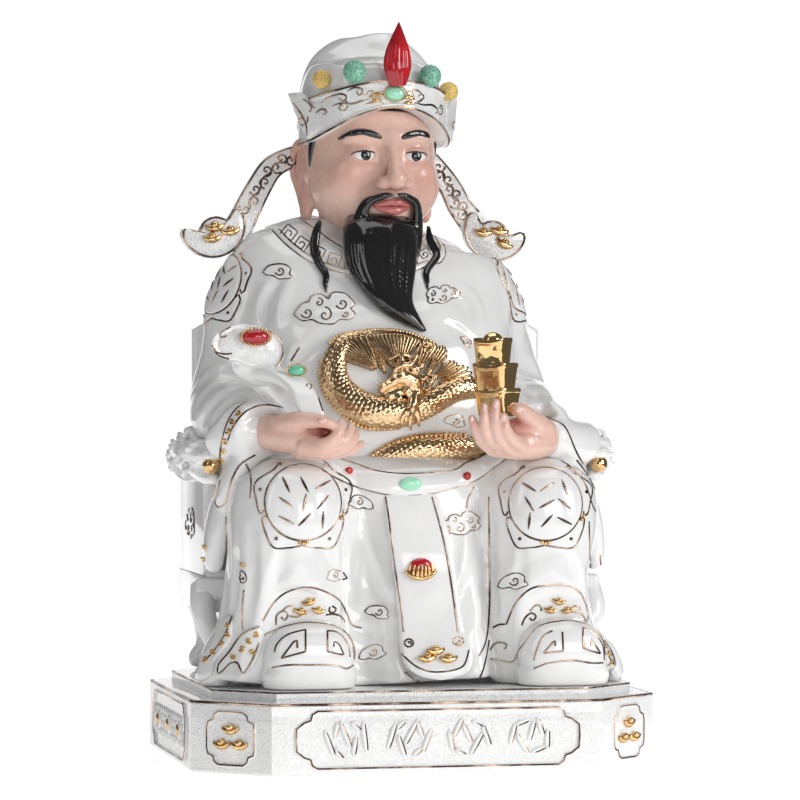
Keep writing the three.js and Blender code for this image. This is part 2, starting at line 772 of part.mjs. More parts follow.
// Locks: beard, moustache and side locks, each a tapering rope.
const BEARD = [
  [-10, -3, 262, 23, 12],
  [-11, -10, 250, 27, 13],
  [-12, -19, 232, 20, 10],
  [-8, -28, 215, 11, 6.5],
  [0, -32, 206, 6, 4.5],
  [9, -34, 198, 1.6, 1.6],
];
const MOUSTACHE = {
  left: [
    [-12, -19, 285, 2.4],
    [-22, -18, 279, 3],
    [-29, -13, 262, 3],
    [-27, -14, 243, 3],
    [-18, -25, 226, 2.6],
    [-6, -32, 212, 2],
    [7, -36, 202, 1],
  ],
  right: [
    [-7, -20, 285, 2.4],
    [3, -18, 279, 3],
    [8, -14, 262, 3],
    [9, -15, 248, 2.8],
    [5, -23, 234, 2],
    [4, -28, 222, 1],
  ],
};
const SIDE_LOCKS = [
  [
    [-36, 12, 272, 3],
    [-44, 1, 257, 3.2],
    [-43, -5, 244, 3.2],
    [-38, -7, 234, 2.8],
    [-39, -12, 226, 2.2],
    [-36, -15, 219, 1.2],
  ],
  [
    [16, 12, 268, 3],
    [25, 2, 252, 3.2],
    [24, -5, 241, 3],
    [17, -8, 233, 2.6],
    [20, -12, 226, 2],
    [18, -15, 219, 1.2],
  ],
];

function hair() {
  const grooves = (angle) => 0.06 * Math.sin(7 * angle);
  return [
    loft(BEARD, { sides: 8, rings: 6, domed: [0.15, 0.1], ripple: grooves }),
    tube(MOUSTACHE.left, { sides: 4, rings: 8 }),
    tube(MOUSTACHE.right, { sides: 4, rings: 7 }),
    ...SIDE_LOCKS.map((lock) => tube(lock, { sides: 4, rings: 6 })),
  ];
}

// Hat: band with an arched lower edge, a front crown, a taller lobe behind and two side points.
const HAT = { x: -7, y: 33, w: 41, d: 43, turn: 0.14 };

function hatPoint(angle, outward, z) {
  const c = Math.cos(angle + HAT.turn);
  const s = Math.sin(angle + HAT.turn);
  return vec(HAT.x + (HAT.w + outward) * c, HAT.y + (HAT.d + outward) * s, z).multiplyScalar(U);
}

// A station whose place is given from the middle of the hat, before the head turns.
function turned([x, y, ...rest]) {
  const c = Math.cos(HAT.turn);
  const s = Math.sin(HAT.turn);
  return [HAT.x + x * c - y * s, HAT.y + x * s + y * c, ...rest];
}

function hat() {
  const count = 14;
  const rings = [];
  for (let i = 0; i < count; i++) {
    const angle = (2 * Math.PI * i) / count;
    const front = Math.max(0, -Math.sin(angle)) ** 2;
    const low = 306 + 20 * front;
    const high = 333 + 9 * front;
    rings.push([
      hatPoint(angle, 0.5, low),
      hatPoint(angle, 2.6, low + 3),
      hatPoint(angle, 2.6, high - 2),
      hatPoint(angle, 0.5, high),
      hatPoint(angle, -6, high),
      hatPoint(angle, -6, low),
    ]);
  }
  const crown = loft(
    [
      [-8, 34, 312, 38, 40],
      [-8, 33, 334, 41, 42],
      [-9, 29, 347, 38, 38],
      [-9, 28, 354, 30, 30],
      [-9, 28, 356.5, 12, 12],
    ],
    { sides: 10, rings: 4 },
  );
  const lobe = loft(
    [
      [-7, 46, 320, 41, 30],
      [-6, 48, 340, 41, 29],
      [-4, 47, 358, 34, 25],
      [-3, 45, 369, 20, 16],
      [-3, 45, 372, 7, 7],
    ],
    { sides: 10, rings: 4 },
  );
  const points = [LEFT, RIGHT].map((side) =>
    loft(
      [
        [side * 41, 5, 308, 2, 11],
        [side * 45, 5, 320, 2, 9],
        [side * 50, 5, 335, 1, 1.5],
      ].map(turned),
      { sides: 5, rings: 2 },
    ),
  );
  const jewel = ball([-3.5, -13, 334], [6.2, 3, 4.2], { sides: 8, rings: 4 });
  return [hoop(rings), crown, lobe, ...points, jewel];
}

// Hands: a palm and four curled fingers with a thumb.
function hand(palm, fingers, thumb) {
  return [
    loft(palm, { sides: 8, rings: 4, domed: [0, 0.3], side: Z_AXIS }),
    ...fingers.map((finger) => tube(finger, { sides: 4, rings: 3 })),
    tube(thumb, { sides: 4, rings: 3 }),
  ];
}

function fist() {
  const palm = [
    [-88, -54, 141, 11, 12],
    [-78, -64, 141, 12, 11],
    [-66, -72, 141, 14, 9],
    [-55, -76, 140, 13, 8],
  ];
  const fingers = [0, 1, 2, 3].map((i) => {
    const z = 150 - 6.6 * i;
    const reach = -38 - 2 * Math.abs(i - 1.5);
    return [
      [-60, -82, z, 4.4],
      [-47, -86, z - 0.6, 4.4],
      [reach, -81, z - 1.2, 4.2],
      [reach - 4, -72, z - 1.6, 3.8],
    ];
  });
  const thumb = [
    [-74, -76, 148, 5],
    [-64, -84, 152, 5],
    [-52, -87, 153, 4.4],
    [-46, -87, 152, 3.6],
  ];
  return hand(palm, fingers, thumb);
}

function openHand() {
  const palm = [
    [84, -48, 141, 11, 12],
    [72, -62, 138, 14, 11],
    [60, -72, 137, 13, 11],
    [46, -78, 135, 10, 10],
    [30, -78, 138, 8, 8],
  ];
  const fingers = [
    [[47, -84, 135], [46, -92, 142], [43, -92, 149.5]],
    [[41, -85, 133], [38, -94, 144], [38, -92, 157]],
    [[35, -85, 135], [31, -93, 146], [31.5, -91, 155.5]],
    [[29, -82, 137], [24.5, -88, 144], [23.5, -87, 150]],
  ].map((joints) => joints.map((joint, i) => [...joint, 4.8 - 0.5 * i]));
  const thumb = [
    [68, -68, 142, 6],
    [60, -78, 148, 5.6],
    [53, -84, 155, 4.8],
    [49, -86, 157, 4],
  ];
  return hand(palm, fingers, thumb);
}

// Dragon on the belly: a scaled coil, a spread mane, a head and a length of tail below.
const COIL = { x: -3, z: 169, rx: 41, rz: 22 };

function onBelly(x, z, out) {
  return [x, chestFront(x, z) - out, z];
}

function dragon() {
  const loop = [];
  for (let i = 0; i <= 14; i++) {
    const angle = 0.15 + (1.75 * Math.PI * i) / 14;
    const x = COIL.x + COIL.rx * Math.cos(angle) * (1 - 0.012 * i);
    const z = COIL.z + COIL.rz * Math.sin(angle) * (1 - 0.01 * i);
    loop.push([...onBelly(x, z, 0.5), 5.4 - 0.1 * i]);
  }
  const tail = [];
  for (let i = 0; i <= 8; i++) {
    const x = -32 + 9 * i;
    tail.push([...onBelly(x, 131 - 4 * Math.sin(i * 0.8), 4), 3 + 2 * Math.sin((Math.PI * i) / 8)]);
  }
  const snout = loft(
    [
      [...onBelly(-9, 182, 1), 11, 8],
      [...onBelly(-9, 172, 5), 10, 7],
      [...onBelly(-8, 160, 6), 8, 6],
      [...onBelly(-8, 152, 4), 5, 4],
    ],
    { sides: 8, rings: 4, domed: [0.3, 0.3] },
  );
  const fins = [];
  for (let i = 0; i < 6; i++) {
    const angle = Math.PI * (0.08 + 0.168 * i);
    const reach = 24 + 4 * Math.sin(i * 2.1);
    const x = -9 + reach * 1.35 * Math.cos(angle);
    const z = 173 + reach * Math.sin(angle);
    fins.push(
      loft([[...onBelly(-9 + 8 * Math.cos(angle), 176, 2), 4, 3], [...onBelly(x, z, 1.5), 2.5, 2]], {
        sides: 4,
        rings: 1,
      }),
    );
  }
  return [tube(loop, { sides: 4, rings: 14 }), tube(tail, { sides: 4, rings: 6 }), snout, ...fins];
}

// Medallions on knees and shoulders: a disc with a raised rim and a row of shallow strokes.
function medallion(centre, normal, radius, marks) {
  const place = new THREE.Matrix4().makeBasis(
    Z_AXIS.clone().cross(normal).normalize(),
    normal.clone().cross(Z_AXIS.clone().cross(normal)).normalize(),
    normal.clone().normalize(),
  );
  place.setPosition(...centre.map((v) => v * U));
  const rings = [
    [1, -5],
    [1, 1.5],
    [0.86, 1.5],
    [0.84, 0.6],
  ].map(([share, z]) => {
    const ring = [];
    for (let i = 0; i < 9; i++) {
      const angle = (2 * Math.PI * (i + 0.5)) / 9;
      ring.push(vec(share * radius * U * Math.cos(angle), share * radius * U * Math.sin(angle), z * U));
    }
    return ring.map((p) => p.applyMatrix4(place));
  });
  const lifted = place.clone().multiply(new THREE.Matrix4().makeTranslation(0, 0, 0.6 * U));
  return [skin(rings), ...strokes(marks, radius * 0.34 * U, radius * 0.95 * U, lifted)];
}

// Sceptre held in the left fist: a cloud-shaped head with an oval stone and a bent handle.
function sceptre(grow = 0) {
  const handle = loft(
    [
      [-88, -44, 184, 8, 6],
      [-74, -55, 179, 7, 5],
      [-64, -64, 170, 6, 4.5],
      [-59, -74, 157, 5.6, 4.2],
      [-57, -79, 147, 5.2, 4],
      [-55, -77, 138, 4.6, 3.6],
    ],
    { sides: 6, rings: 6, domed: [0, 0.1], grow },
  );
  const lobes = [
    [-90, -45, 188, 19, 15, 8.5],
    [-104, -42, 184, 11, 11, 7.5],
    [-77, -49, 182, 10, 11, 7.5],
    [-91, -44, 196, 13, 9, 7],
  ].map(([x, y, z, rx, ry, rz]) => ball([x, y, z], [rx, ry, rz], { sides: 8, rings: 4, grow }));
  const stone = ball([-89, -50, 195], [8, 6, 6], { sides: 7, rings: 4, grow });
  const bead = ball([-66, -66, 176], [5.5, 4, 4.5], { sides: 6, rings: 4, grow });
  return join([handle, ...lobes, stone, bead]);
}

// Boat-shaped ingots on top of each other: a flared hull with upturned ends, and a dome on the last.
function ingotHull(length, z, grow) {
  const half = length / 2;
  const rings = [];
  for (let i = 0; i <= 4; i++) {
    const t = -1 + i / 2;
    const wide = half * (0.56 - 0.1 * t * t);
    const deck = length * (INGOT_HEIGHT + 0.08 * t * t) + grow;
    const ring = [
      [1, wide + grow, deck],
      [0.78, 0.7 * wide + grow, -grow],
      [0.78, -0.7 * wide - grow, -grow],
      [1, -wide - grow, deck],
    ];
    rings.push(ring.map(([share, b, c]) => vec(t * (half * share + grow), b, z + c)));
  }
  return skin(rings);
}

const INGOT_HEIGHT = 0.53; // share of an ingot's length
const INGOT_SHARES = [1, 0.96, 0.84];

function ingotStack(grow = 0) {
  const hulls = [];
  let z = 0;
  INGOT_SHARES.forEach((share) => {
    const length = INGOT_LENGTH * share;
    hulls.push(ingotHull(length, z, grow));
    z += length * INGOT_HEIGHT - 0.4;
  });
  const radius = INGOT_LENGTH * 0.18;
  const dome = new THREE.SphereGeometry(radius + grow, 8, 5);
  dome.rotateX(Math.PI / 2);
  dome.translate(0, 0, z - 0.2 * radius);
  hulls.push(solidOf(dome));
  return join(hulls)
    .rotate([0, 0, -38])
    .translate([40 * U, -80 * U, 150 * U]);
}

// Hat wings: a ribbon that leaves the hat behind the ear and ends in a boat-shaped plaque.
const WINGS = {
  hat_wing_left: {
    ribbon: [
      [-46, 44, 302],
      [-56, 43, 299],
      [-66, 41, 293],
      [-74, 39, 281],
      [-81, 37, 268],
      [-87, 36, 256],
    ],
    plaque: [-100.5, 35, 257],
    tilt: -0.38,
  },
  hat_wing_right: {
    ribbon: [
      [30, 50, 300],
      [36, 50, 293],
      [43, 49, 283],
      [48, 48, 273],
      [54, 48, 265],
      [60, 48, 257],
    ],
    plaque: [68.5, 48, 256.5],
    tilt: 0.38,
  },
};

// Outline of a plaque: a boat below, with two horns and a dome between them above.
function boat(grow) {
  const points = [
    [9, 2.5],
    [17, 7.4],
  ];
  for (let i = 0; i <= 7; i++) {
    const angle = (Math.PI * i) / 7;
    points.push([19.8 * Math.cos(angle), 3 - 19.3 * Math.sin(angle)]);
  }
  points.push([-17, 7.4], [-9, 2.5], [-5, 6.2], [0, 7.4], [5, 6.2]);
  return points.map(([x, y]) => {
    const reach = Math.hypot(x, y + 3);
    const share = U + grow / reach;
    return new THREE.Vector2(x * share, (y + 3) * share - 3 * U);
  });
}

function wing({ ribbon, plaque, tilt }, grow = 0) {
  const rows = ribbon.map(([x, y, z], i) => [x, y, z, 2.4, 6 + 0.5 * i]);
  const strip = loft(rows, { sides: 6, rings: 6, power: 3, side: vec(0, 1, 0), grow });
  const thick = 7.5 * U + 2 * grow;
  const sheet = new THREE.ExtrudeGeometry(new THREE.Shape(boat(grow)), {
    depth: thick,
    bevelEnabled: false,
  });
  sheet.translate(0, 0, -thick / 2);
  sheet.rotateX(Math.PI / 2);
  sheet.rotateY(tilt);
  sheet.translate(...plaque.map((v) => v * U));
  return strip.add(solidOf(sheet));
}

function plume(grow = 0) {
  const ridges = (angle, t) => 0.1 * Math.sin(5 * angle + 4 * t);
  return loft(
    [
      [-2, -14.5, 339, 3.4, 3],
      [-2.3, -15.5, 346, 6.8, 5],
      [-2.3, -15.5, 354, 7.6, 5.4],
      [-1.8, -14.5, 363, 5, 3.8],
      [-1.2, -13.5, 370, 2.2, 1.8],
      [-1, -13, 375, 0.5, 0.5],
    ],
    { sides: 8, rings: 6, ripple: ridges, grow },
  );
}

const POMPOMS = {
  pompom_green_left: { at: [-26.5, -11, 346.5], share: 1, colour: 0x39b795 },
  pompom_green_right: { at: [18.9, -5, 345], share: 1, colour: 0x39b795 },
  pompom_yellow_left: { at: [-42.4, 6, 343], share: 0.82, colour: 0xf0c24a },
  pompom_yellow_right: { at: [33.6, 12, 337.5], share: 0.86, colour: 0xf0c24a },
};

function pompom({ at, share }, grow = 0) {
  const radius = (POMPOM_RADIUS * share) / U;
  return ball(at, [radius, radius, radius], { sides: 8, rings: 5, grow });
}

function figure(others) {
  const knee = (side) => medallion([side * 68.5, -88, 98.5], vec(0.06 * side, -1, 0.12), 20, 3);
  const shoulder = (x, y, side) => medallion([x, y, 220], vec(side * 0.8, -0.56, 0.2), 17.5, 3);
  const below = box([-200, 200], [-200, 200], [-60, 0]);
  const body = join([
    ...torso(),
    ...arm(LEFT),
    ...arm(RIGHT),
    ...leg(LEFT),
    ...leg(RIGHT),
    ...skirt(),
    belt(),
    collar(),
    ...head(),
    ...hair(),
    ...hat(),
    ...fist(),
    ...openHand(),
    ...dragon(),
    ...knee(LEFT),
    ...knee(RIGHT),
    ...shoulder(-97, 25, LEFT),
    ...shoulder(80, 26, RIGHT),
  ]);
  const standing = smoothed(body.subtract(below), 2 * CLEARANCE);
  return smoothed(filled(cut(standing, others)));
}

const GLAZE = { color: 0xf1f1ee, roughness: 0.12, metalness: 0 };
const GOLD = { color: 0xd6a13c, roughness: 0.18, metalness: 1 };

const group = new THREE.Group();

function place(name, made, finish, lift) {
  const m = made.getMesh();
  const geometry = new THREE.BufferGeometry();
  geometry.setAttribute("position", new THREE.BufferAttribute(m.vertProperties, 3));
  geometry.setIndex(new THREE.BufferAttribute(m.triVerts, 1));
  geometry.computeVertexNormals();
  const mesh = new THREE.Mesh(geometry, new THREE.MeshStandardMaterial(finish));
  mesh.name = name;
  mesh.position.z = lift;
  group.add(mesh);
}

const STAND = PLINTH_TOP + CLEARANCE;
const held = [
  sceptre(CLEARANCE),
  plume(CLEARANCE),
  ingotStack(CLEARANCE),
  ...Object.values(WINGS).map((shape) => wing(shape, CLEARANCE)),
  ...Object.values(POMPOMS).map((shape) => pompom(shape, CLEARANCE)),
];
place("plinth", plinth(), GLAZE, 0);
place("armchair", smoothed(chair()), GLAZE, STAND);
place("seated_figure", figure([chair(CLEARANCE), ...held]), GLAZE, STAND);
place("ruyi_sceptre", smoothed(sceptre()), GLAZE, STAND);
place("ingot_stack", ingotStack(), GOLD, STAND);
Object.entries(WINGS).forEach(([name, shape]) => place(name, wing(shape), GLAZE, STAND));
place("flame_plume", plume(), { color: 0xb81824, roughness: 0.2, metalness: 0 }, STAND);
Object.entries(POMPOMS).forEach(([name, shape]) =>
  place(name, pompom(shape), { color: shape.colour, roughness: 0.4, metalness: 0 }, STAND),
);

export default group;
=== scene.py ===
import math

import bpy
import numpy as np
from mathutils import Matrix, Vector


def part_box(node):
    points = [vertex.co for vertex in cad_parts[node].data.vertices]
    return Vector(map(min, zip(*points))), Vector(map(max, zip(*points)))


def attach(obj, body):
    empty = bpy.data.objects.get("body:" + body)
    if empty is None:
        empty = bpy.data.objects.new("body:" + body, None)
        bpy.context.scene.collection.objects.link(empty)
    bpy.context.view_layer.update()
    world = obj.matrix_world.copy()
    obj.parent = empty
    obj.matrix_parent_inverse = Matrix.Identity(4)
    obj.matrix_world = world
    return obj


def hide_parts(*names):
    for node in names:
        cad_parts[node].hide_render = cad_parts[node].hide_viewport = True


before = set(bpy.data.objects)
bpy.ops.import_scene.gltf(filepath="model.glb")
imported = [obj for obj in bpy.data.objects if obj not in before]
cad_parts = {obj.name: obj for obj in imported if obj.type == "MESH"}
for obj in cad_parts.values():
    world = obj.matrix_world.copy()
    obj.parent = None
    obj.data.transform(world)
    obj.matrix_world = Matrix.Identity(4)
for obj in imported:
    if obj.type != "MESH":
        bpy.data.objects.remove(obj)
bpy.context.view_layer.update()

import openvdb
from mathutils import Vector
from mathutils.bvhtree import BVHTree

# Everything is drawn in millimetres over the top of the plinth, where the CAD figure stands.
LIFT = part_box("seated_figure")[0].z * 1000
LEFT = -1  # the side at a viewer's left
RIGHT = 1
BOTH = (LEFT, RIGHT)
TAU = 2 * math.pi


# Arrays


def circle(count):
    """Angles once round."""
    return np.arange(count) * TAU / count


def catmull(rows, t):
    """The smooth curve through rows of numbers, at each t from 0 to 1."""
    rows = np.asarray(rows, float)
    t = np.atleast_1d(np.asarray(t, float))
    last = len(rows) - 1
    i = np.clip(np.floor(t * last).astype(int), 0, last - 1)
    f = (t * last - i)[:, None]
    a, b, c, d = (rows[np.clip(i + k, 0, last)] for k in (-1, 0, 1, 2))
    return b + 0.5 * f * (c - a + f * (2 * a - 5 * b + 4 * c - d + f * (3 * (b - c) + d - a)))


def unit(v):
    v = np.asarray(v, float)
    return v / np.maximum(np.linalg.norm(v, axis=-1, keepdims=True), 1e-9)


def resampled(rows, pitch, sharp=False, dims=3):
    """Rows x, y(, z, ...) on the smooth or the sharp path through the given ones, about one pitch apart."""
    t = np.linspace(0, 1, 24 * (len(rows) - 1) + 1)
    if sharp:
        steps = np.linspace(0, 1, len(rows))
        fine = np.stack([np.interp(t, steps, column) for column in np.array(rows, float).T], 1)
    else:
        fine = catmull(rows, t)
    dims = min(dims, fine.shape[1])
    steps = np.linalg.norm(np.diff(fine[:, :dims], axis=0), axis=1)
    run = np.concatenate([[0], np.cumsum(steps)])
    count = max(int(run[-1] / pitch), 1) + 1
    at = np.linspace(0, run[-1], count)
    return np.stack([np.interp(at, run, column) for column in fine.T], 1)


def mirrored(rows, side):
    """The right side's rows, for that side or for the left."""
    return [[side * row[0], *row[1:]] for row in rows]


# Meshes: (points, quads, triangles)


def skin(rings, closed=False):
    """A skin over rings of equal length, fanned shut at its ends or, if closed, run on into its start."""
    rings = np.asarray(rings, float)
    count, sides = rings.shape[:2]
    rows = np.arange(count if closed else count - 1)
    r, s = np.meshgrid(rows, np.arange(sides), indexing="ij")
    following = (r + 1) % count
    turn = (s + 1) % sides
    quads = np.stack([r * sides + s, r * sides + turn, following * sides + turn, following * sides + s], -1)
    points = rings.reshape(-1, 3)
    triangles = np.zeros((0, 3), int)
    if not closed:
        tips = rings[[0, -1]].mean(1)
        s = np.arange(sides)
        first = np.stack([np.full(sides, len(points)), (s + 1) % sides, s], 1)
        base = (count - 1) * sides
        final = np.stack([np.full(sides, len(points) + 1), base + s, base + (s + 1) % sides], 1)
        triangles = np.concatenate([first, final])
        points = np.concatenate([points, tips])
    return facing_out(points, quads.reshape(-1, 4), triangles)


def facing_out(points, quads, triangles):
    """The mesh, turned over if its faces look inwards."""
    halves = np.concatenate([quads[:, :3], quads[:, [0, 2, 3]], triangles])
    a, b, c = (points[halves[:, k]] for k in range(3))
    if np.einsum("ij,ij->i", a, np.cross(b, c)).sum() < 0:
        quads, triangles = quads[:, ::-1], triangles[:, ::-1]
    return points, quads, triangles


def together(meshes):
    """Several meshes as one."""
    points, quads, triangles = [], [], []
    base = 0
    for p, q, t in meshes:
        points.append(p)
        quads.append(np.asarray(q, int).reshape(-1, 4) + base)
        triangles.append(np.asarray(t, int).reshape(-1, 3) + base)
        base += len(p)
    return np.concatenate(points), np.concatenate(quads), np.concatenate(triangles)


def moved(mesh, turn=0.0, by=(0, 0, 0), mirror=False):
    """The mesh turned about Z, mirrored in X and moved."""
    points, quads, triangles = mesh
    c, s = math.cos(turn), math.sin(turn)
    points = points @ np.array([[c, s, 0], [-s, c, 0], [0, 0, 1]])
    if mirror:
        points = points * [-1, 1, 1]
        quads, triangles = quads[:, ::-1], triangles[:, ::-1]
    return points + np.asarray(by, float), quads, triangles


def dome(share):
    """How wide a rounded end is at a share of its length."""
    return np.maximum(np.sqrt(1 - (1 - np.clip(share, 0, 1)) ** 2), 0.02)


def loft(stations, sides=64, rings=64, side=(1, 0, 0), power=2, ripple=None, domed=(0, 0), grow=0):
    """A body over stations [x, y, z, half width, half depth], as in the CAD part but finer."""
    t = np.linspace(0, 1, rings + 1)
    if domed[0] or domed[1]:
        t = 0.5 - 0.5 * np.cos(np.pi * t)
    rows = catmull(stations, t)
    tangent = unit(catmull(stations, np.minimum(t + 0.01, 1)) - catmull(stations, np.maximum(t - 0.01, 0)))
    tangent = unit(tangent[:, :3])
    side = np.asarray(side, float)
    across = unit(side - (tangent @ side)[:, None] * tangent)
    deep = np.cross(tangent, across)
    start = dome(t / domed[0]) if domed[0] else np.ones_like(t)
    end = dome((1 - t) / domed[1]) if domed[1] else np.ones_like(t)
    angle = circle(sides)
    reach = (start * end)[:, None] * (1 + (ripple(angle[None], t[:, None]) if ripple else 0))
    c, s = np.cos(angle), np.sin(angle)
    u = np.sign(c) * np.abs(c) ** (2 / power) * (rows[:, 3:4] * reach + grow)
    v = np.sign(s) * np.abs(s) ** (2 / power) * (rows[:, 4:5] * reach + grow)
    rings = rows[:, None, :3] + u[..., None] * across[:, None] + v[..., None] * deep[:, None]
    return skin(rings)


def pipe(path, radii, sides=6, normals=None, flat=1.0, closed=False):
    """A tube along a path. With normals, it is flattened to a share of its width along them."""
    path = np.asarray(path, float)
    radii = np.broadcast_to(np.asarray(radii, float), len(path))
    if closed:
        tangent = unit(np.roll(path, -1, 0) - np.roll(path, 1, 0))
    else:
        tangent = unit(np.gradient(path, axis=0))
    if normals is None:
        normals = np.broadcast_to(unit([0.31, 0.22, 0.93]), path.shape)
    across = unit(np.cross(tangent, normals))
    up = np.cross(across, tangent)
    angle = (np.arange(sides) + 0.5) * TAU / sides
    ring = np.cos(angle)[:, None] * across[:, None] + flat * np.sin(angle)[:, None] * up[:, None]
    return skin(path[:, None] + radii[:, None, None] * ring, closed)


def ellipsoid(centre, radii, sides=24, rings=12):
    polar = np.linspace(0.04, np.pi - 0.04, rings + 1)[:, None]
    angle = circle(sides)
    x, y = np.sin(polar) * np.cos(angle), np.sin(polar) * np.sin(angle)
    ball = np.stack([x, y, np.broadcast_to(-np.cos(polar), x.shape)], -1)
    return skin(np.asarray(centre, float) + ball * np.asarray(radii, float))


# Signed distances


def blend(a, b, k, band):
    """The lower of two distances, rounded off over k."""
    low = np.minimum(a, b)
    if k <= 0:
        return low
    h = np.clip(k - np.abs(a - b), 0, None)
    h = np.where((a < band) & (b < band), h, 0)
    return low - h * h / (4 * k)


def spread(d):
    """One pass of a small blur along each axis."""
    for axis in range(3):
        ahead = np.roll(d, -1, axis)
        behind = np.roll(d, 1, axis)
        d = 0.5 * d + 0.25 * (ahead + behind)
    return d


class Field:
    """A solid held as distances in mm on a grid, on which shapes are joined and cut with soft edges."""

    def __init__(self, low, high, voxel, band=6):
        self.low = np.asarray(low, float)
        self.voxel = voxel
        self.band = band * voxel
        self.size = np.ceil((np.asarray(high, float) - self.low) / voxel).astype(int) + 1
        self.d = np.full(self.size, self.band, np.float32)

    def span(self, low, high):
        """The part of the grid between two corners."""
        first = np.floor((np.asarray(low) - self.low) / self.voxel).astype(int)
        final = np.ceil((np.asarray(high) - self.low) / self.voxel).astype(int) + 1
        first = np.clip(first, 0, self.size)
        final = np.clip(final, first, self.size)
        return tuple(slice(int(a), int(b)) for a, b in zip(first, final))

    def axes(self, span):
        x, y, z = (self.low[k] + self.voxel * np.arange(s.start, s.stop) for k, s in enumerate(span))
        return x[:, None, None], y[None, :, None], z[None, None, :]

    def put(self, span, b, k=0.0):
        """Joins distances to a part of the grid; take cuts them out of it."""
        self.d[span] = blend(self.d[span], np.minimum(b, self.band), k, self.band)

    def take(self, span, b, k=0.0):
        self.d[span] = -blend(-self.d[span], np.minimum(b, self.band), k, self.band)

    def of_mesh(self, mesh):
        """Distances to a closed mesh."""
        points, quads, triangles = mesh
        span = self.span(points.min(0) - self.band, points.max(0) + self.band)
        grid = openvdb.FloatGrid.createLevelSetFromPolygons(
            points=(points - self.low).astype(np.float32),
            triangles=triangles.astype(np.uint32),
            quads=quads.astype(np.uint32),
            transform=openvdb.createLinearTransform(voxelSize=self.voxel),
            halfWidth=self.band / self.voxel,
        )
        window = np.zeros([s.stop - s.start for s in span], np.float32)
        grid.copyToArray(window, ijk=tuple(s.start for s in span))
        return span, window

    def of_ball(self, centre, radii):
        """Distances to an ellipsoid, near enough close to its skin."""
        centre, radii = np.asarray(centre, float), np.asarray(radii, float)
        reach = radii + self.band
        span = self.span(centre - reach, centre + reach)
        x, y, z = self.axes(span)
        dx, dy, dz = x - centre[0], y - centre[1], z - centre[2]
        share = np.sqrt((dx / radii[0]) ** 2 + (dy / radii[1]) ** 2 + (dz / radii[2]) ** 2)
        slope = np.sqrt((dx / radii[0] ** 2) ** 2 + (dy / radii[1] ** 2) ** 2 + (dz / radii[2] ** 2) ** 2)
        return span, share * (share - 1) / np.maximum(slope, 1e-6)

    def of_strand(self, path):
        """Distances to a chain of round cones through rows [x, y, z, radius]."""
        path = np.asarray(path, float)
        reach = path[:, 3].max() + self.band
        span = self.span(path[:, :3].min(0) - reach, path[:, :3].max(0) + reach)
        out = np.full([s.stop - s.start for s in span], self.band, np.float32)
        for a, b in zip(path[:-1], path[1:]):
            near = max(a[3], b[3]) + self.band
            part = self.span(np.minimum(a[:3], b[:3]) - near, np.maximum(a[:3], b[:3]) + near)
            x, y, z = self.axes(part)
            run = b[:3] - a[:3]
            length = max(run @ run, 1e-9)
            dx, dy, dz = x - a[0], y - a[1], z - a[2]
            t = np.clip((dx * run[0] + dy * run[1] + dz * run[2]) / length, 0, 1)
            gap = np.sqrt((dx - t * run[0]) ** 2 + (dy - t * run[1]) ** 2 + (dz - t * run[2]) ** 2)
            inner = tuple(slice(p.start - s.start, p.stop - s.start) for p, s in zip(part, span))
            out[inner] = np.minimum(out[inner], gap - (a[3] + t * (b[3] - a[3])))
        return span, out

    def add(self, mesh, k=0.0):
        self.put(*self.of_mesh(mesh), k)

    def cut(self, mesh, k=0.0):
        self.take(*self.of_mesh(mesh), k)

    def add_ball(self, centre, radii, k=0.0):
        self.put(*self.of_ball(centre, radii), k)

    def cut_ball(self, centre, radii, k=0.0):
        self.take(*self.of_ball(centre, radii), k)

    def add_strand(self, path, k=0.0):
        self.put(*self.of_strand(path), k)

    def cut_strand(self, path, k=0.0):
        self.take(*self.of_strand(path), k)

    def everywhere(self):
        """The x, y and z of the whole grid."""
        return self.axes(self.span(self.low, self.low + self.voxel * self.size))

    def keep(self, d):
        """Cuts away all that lies outside the distances d."""
        self.d = np.maximum(self.d, np.broadcast_to(d, self.d.shape)).astype(np.float32)

    def cut_below(self, z):
        self.keep(z - self.everywhere()[2])

    def mesh(self, blurs=1):
        d = self.d
        for _ in range(blurs):
            d = spread(d)
        grid = openvdb.FloatGrid(self.band)
        grid.copyFromArray(np.ascontiguousarray(d, dtype=np.float32))
        points, triangles, quads = grid.convertToPolygons(isovalue=0.0, adaptivity=0.0)
        return (
            points.astype(float) * self.voxel + self.low,
            quads.astype(int).reshape(-1, 4),
            triangles.astype(int).reshape(-1, 3),
        )


# Pieces


def flat_faces(mesh):
    _, quads, triangles = mesh
    return quads.tolist() + triangles.tolist()


drawn = {}  # name of a piece: its mesh in figure millimetres, for casting lines on it


def piece(name, mesh, look, sharp=None, replaces=()):
    """A shown object from a mesh in figure millimetres."""
    data = bpy.data.meshes.new(name)
    shifted = (mesh[0] + [0, 0, LIFT]) / 1000
    data.from_pydata(shifted.tolist(), [], flat_faces(mesh))
    data.update()
    data.shade_smooth()
    if sharp is not None:
        data.set_sharp_from_angle(angle=math.radians(sharp))
    data.materials.append(look)
    made = bpy.data.objects.new(name, data)
    bpy.context.scene.collection.objects.link(made)
    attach(made, "root")
    if replaces:
        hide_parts(*replaces)
    drawn[name] = mesh
    return made


class Canvas:
    """The skin of some meshes, on which drawings are cast from the camera or from a side."""

    def __init__(self, meshes):
        points, quads, triangles = together(meshes)
        self.tree = BVHTree.FromPolygons(points.tolist(), quads.tolist() + triangles.tolist())

    def hit(self, origin, direction):
        """Place, normal towards the ray's start, and distance; nothing where the ray misses."""
        place, normal, _, distance = self.tree.ray_cast(Vector(origin), Vector(direction))
        if place is None:
            return None
        normal = np.array(normal)
        if normal @ direction > 0:
            normal = -normal
        return np.array(place), normal, distance


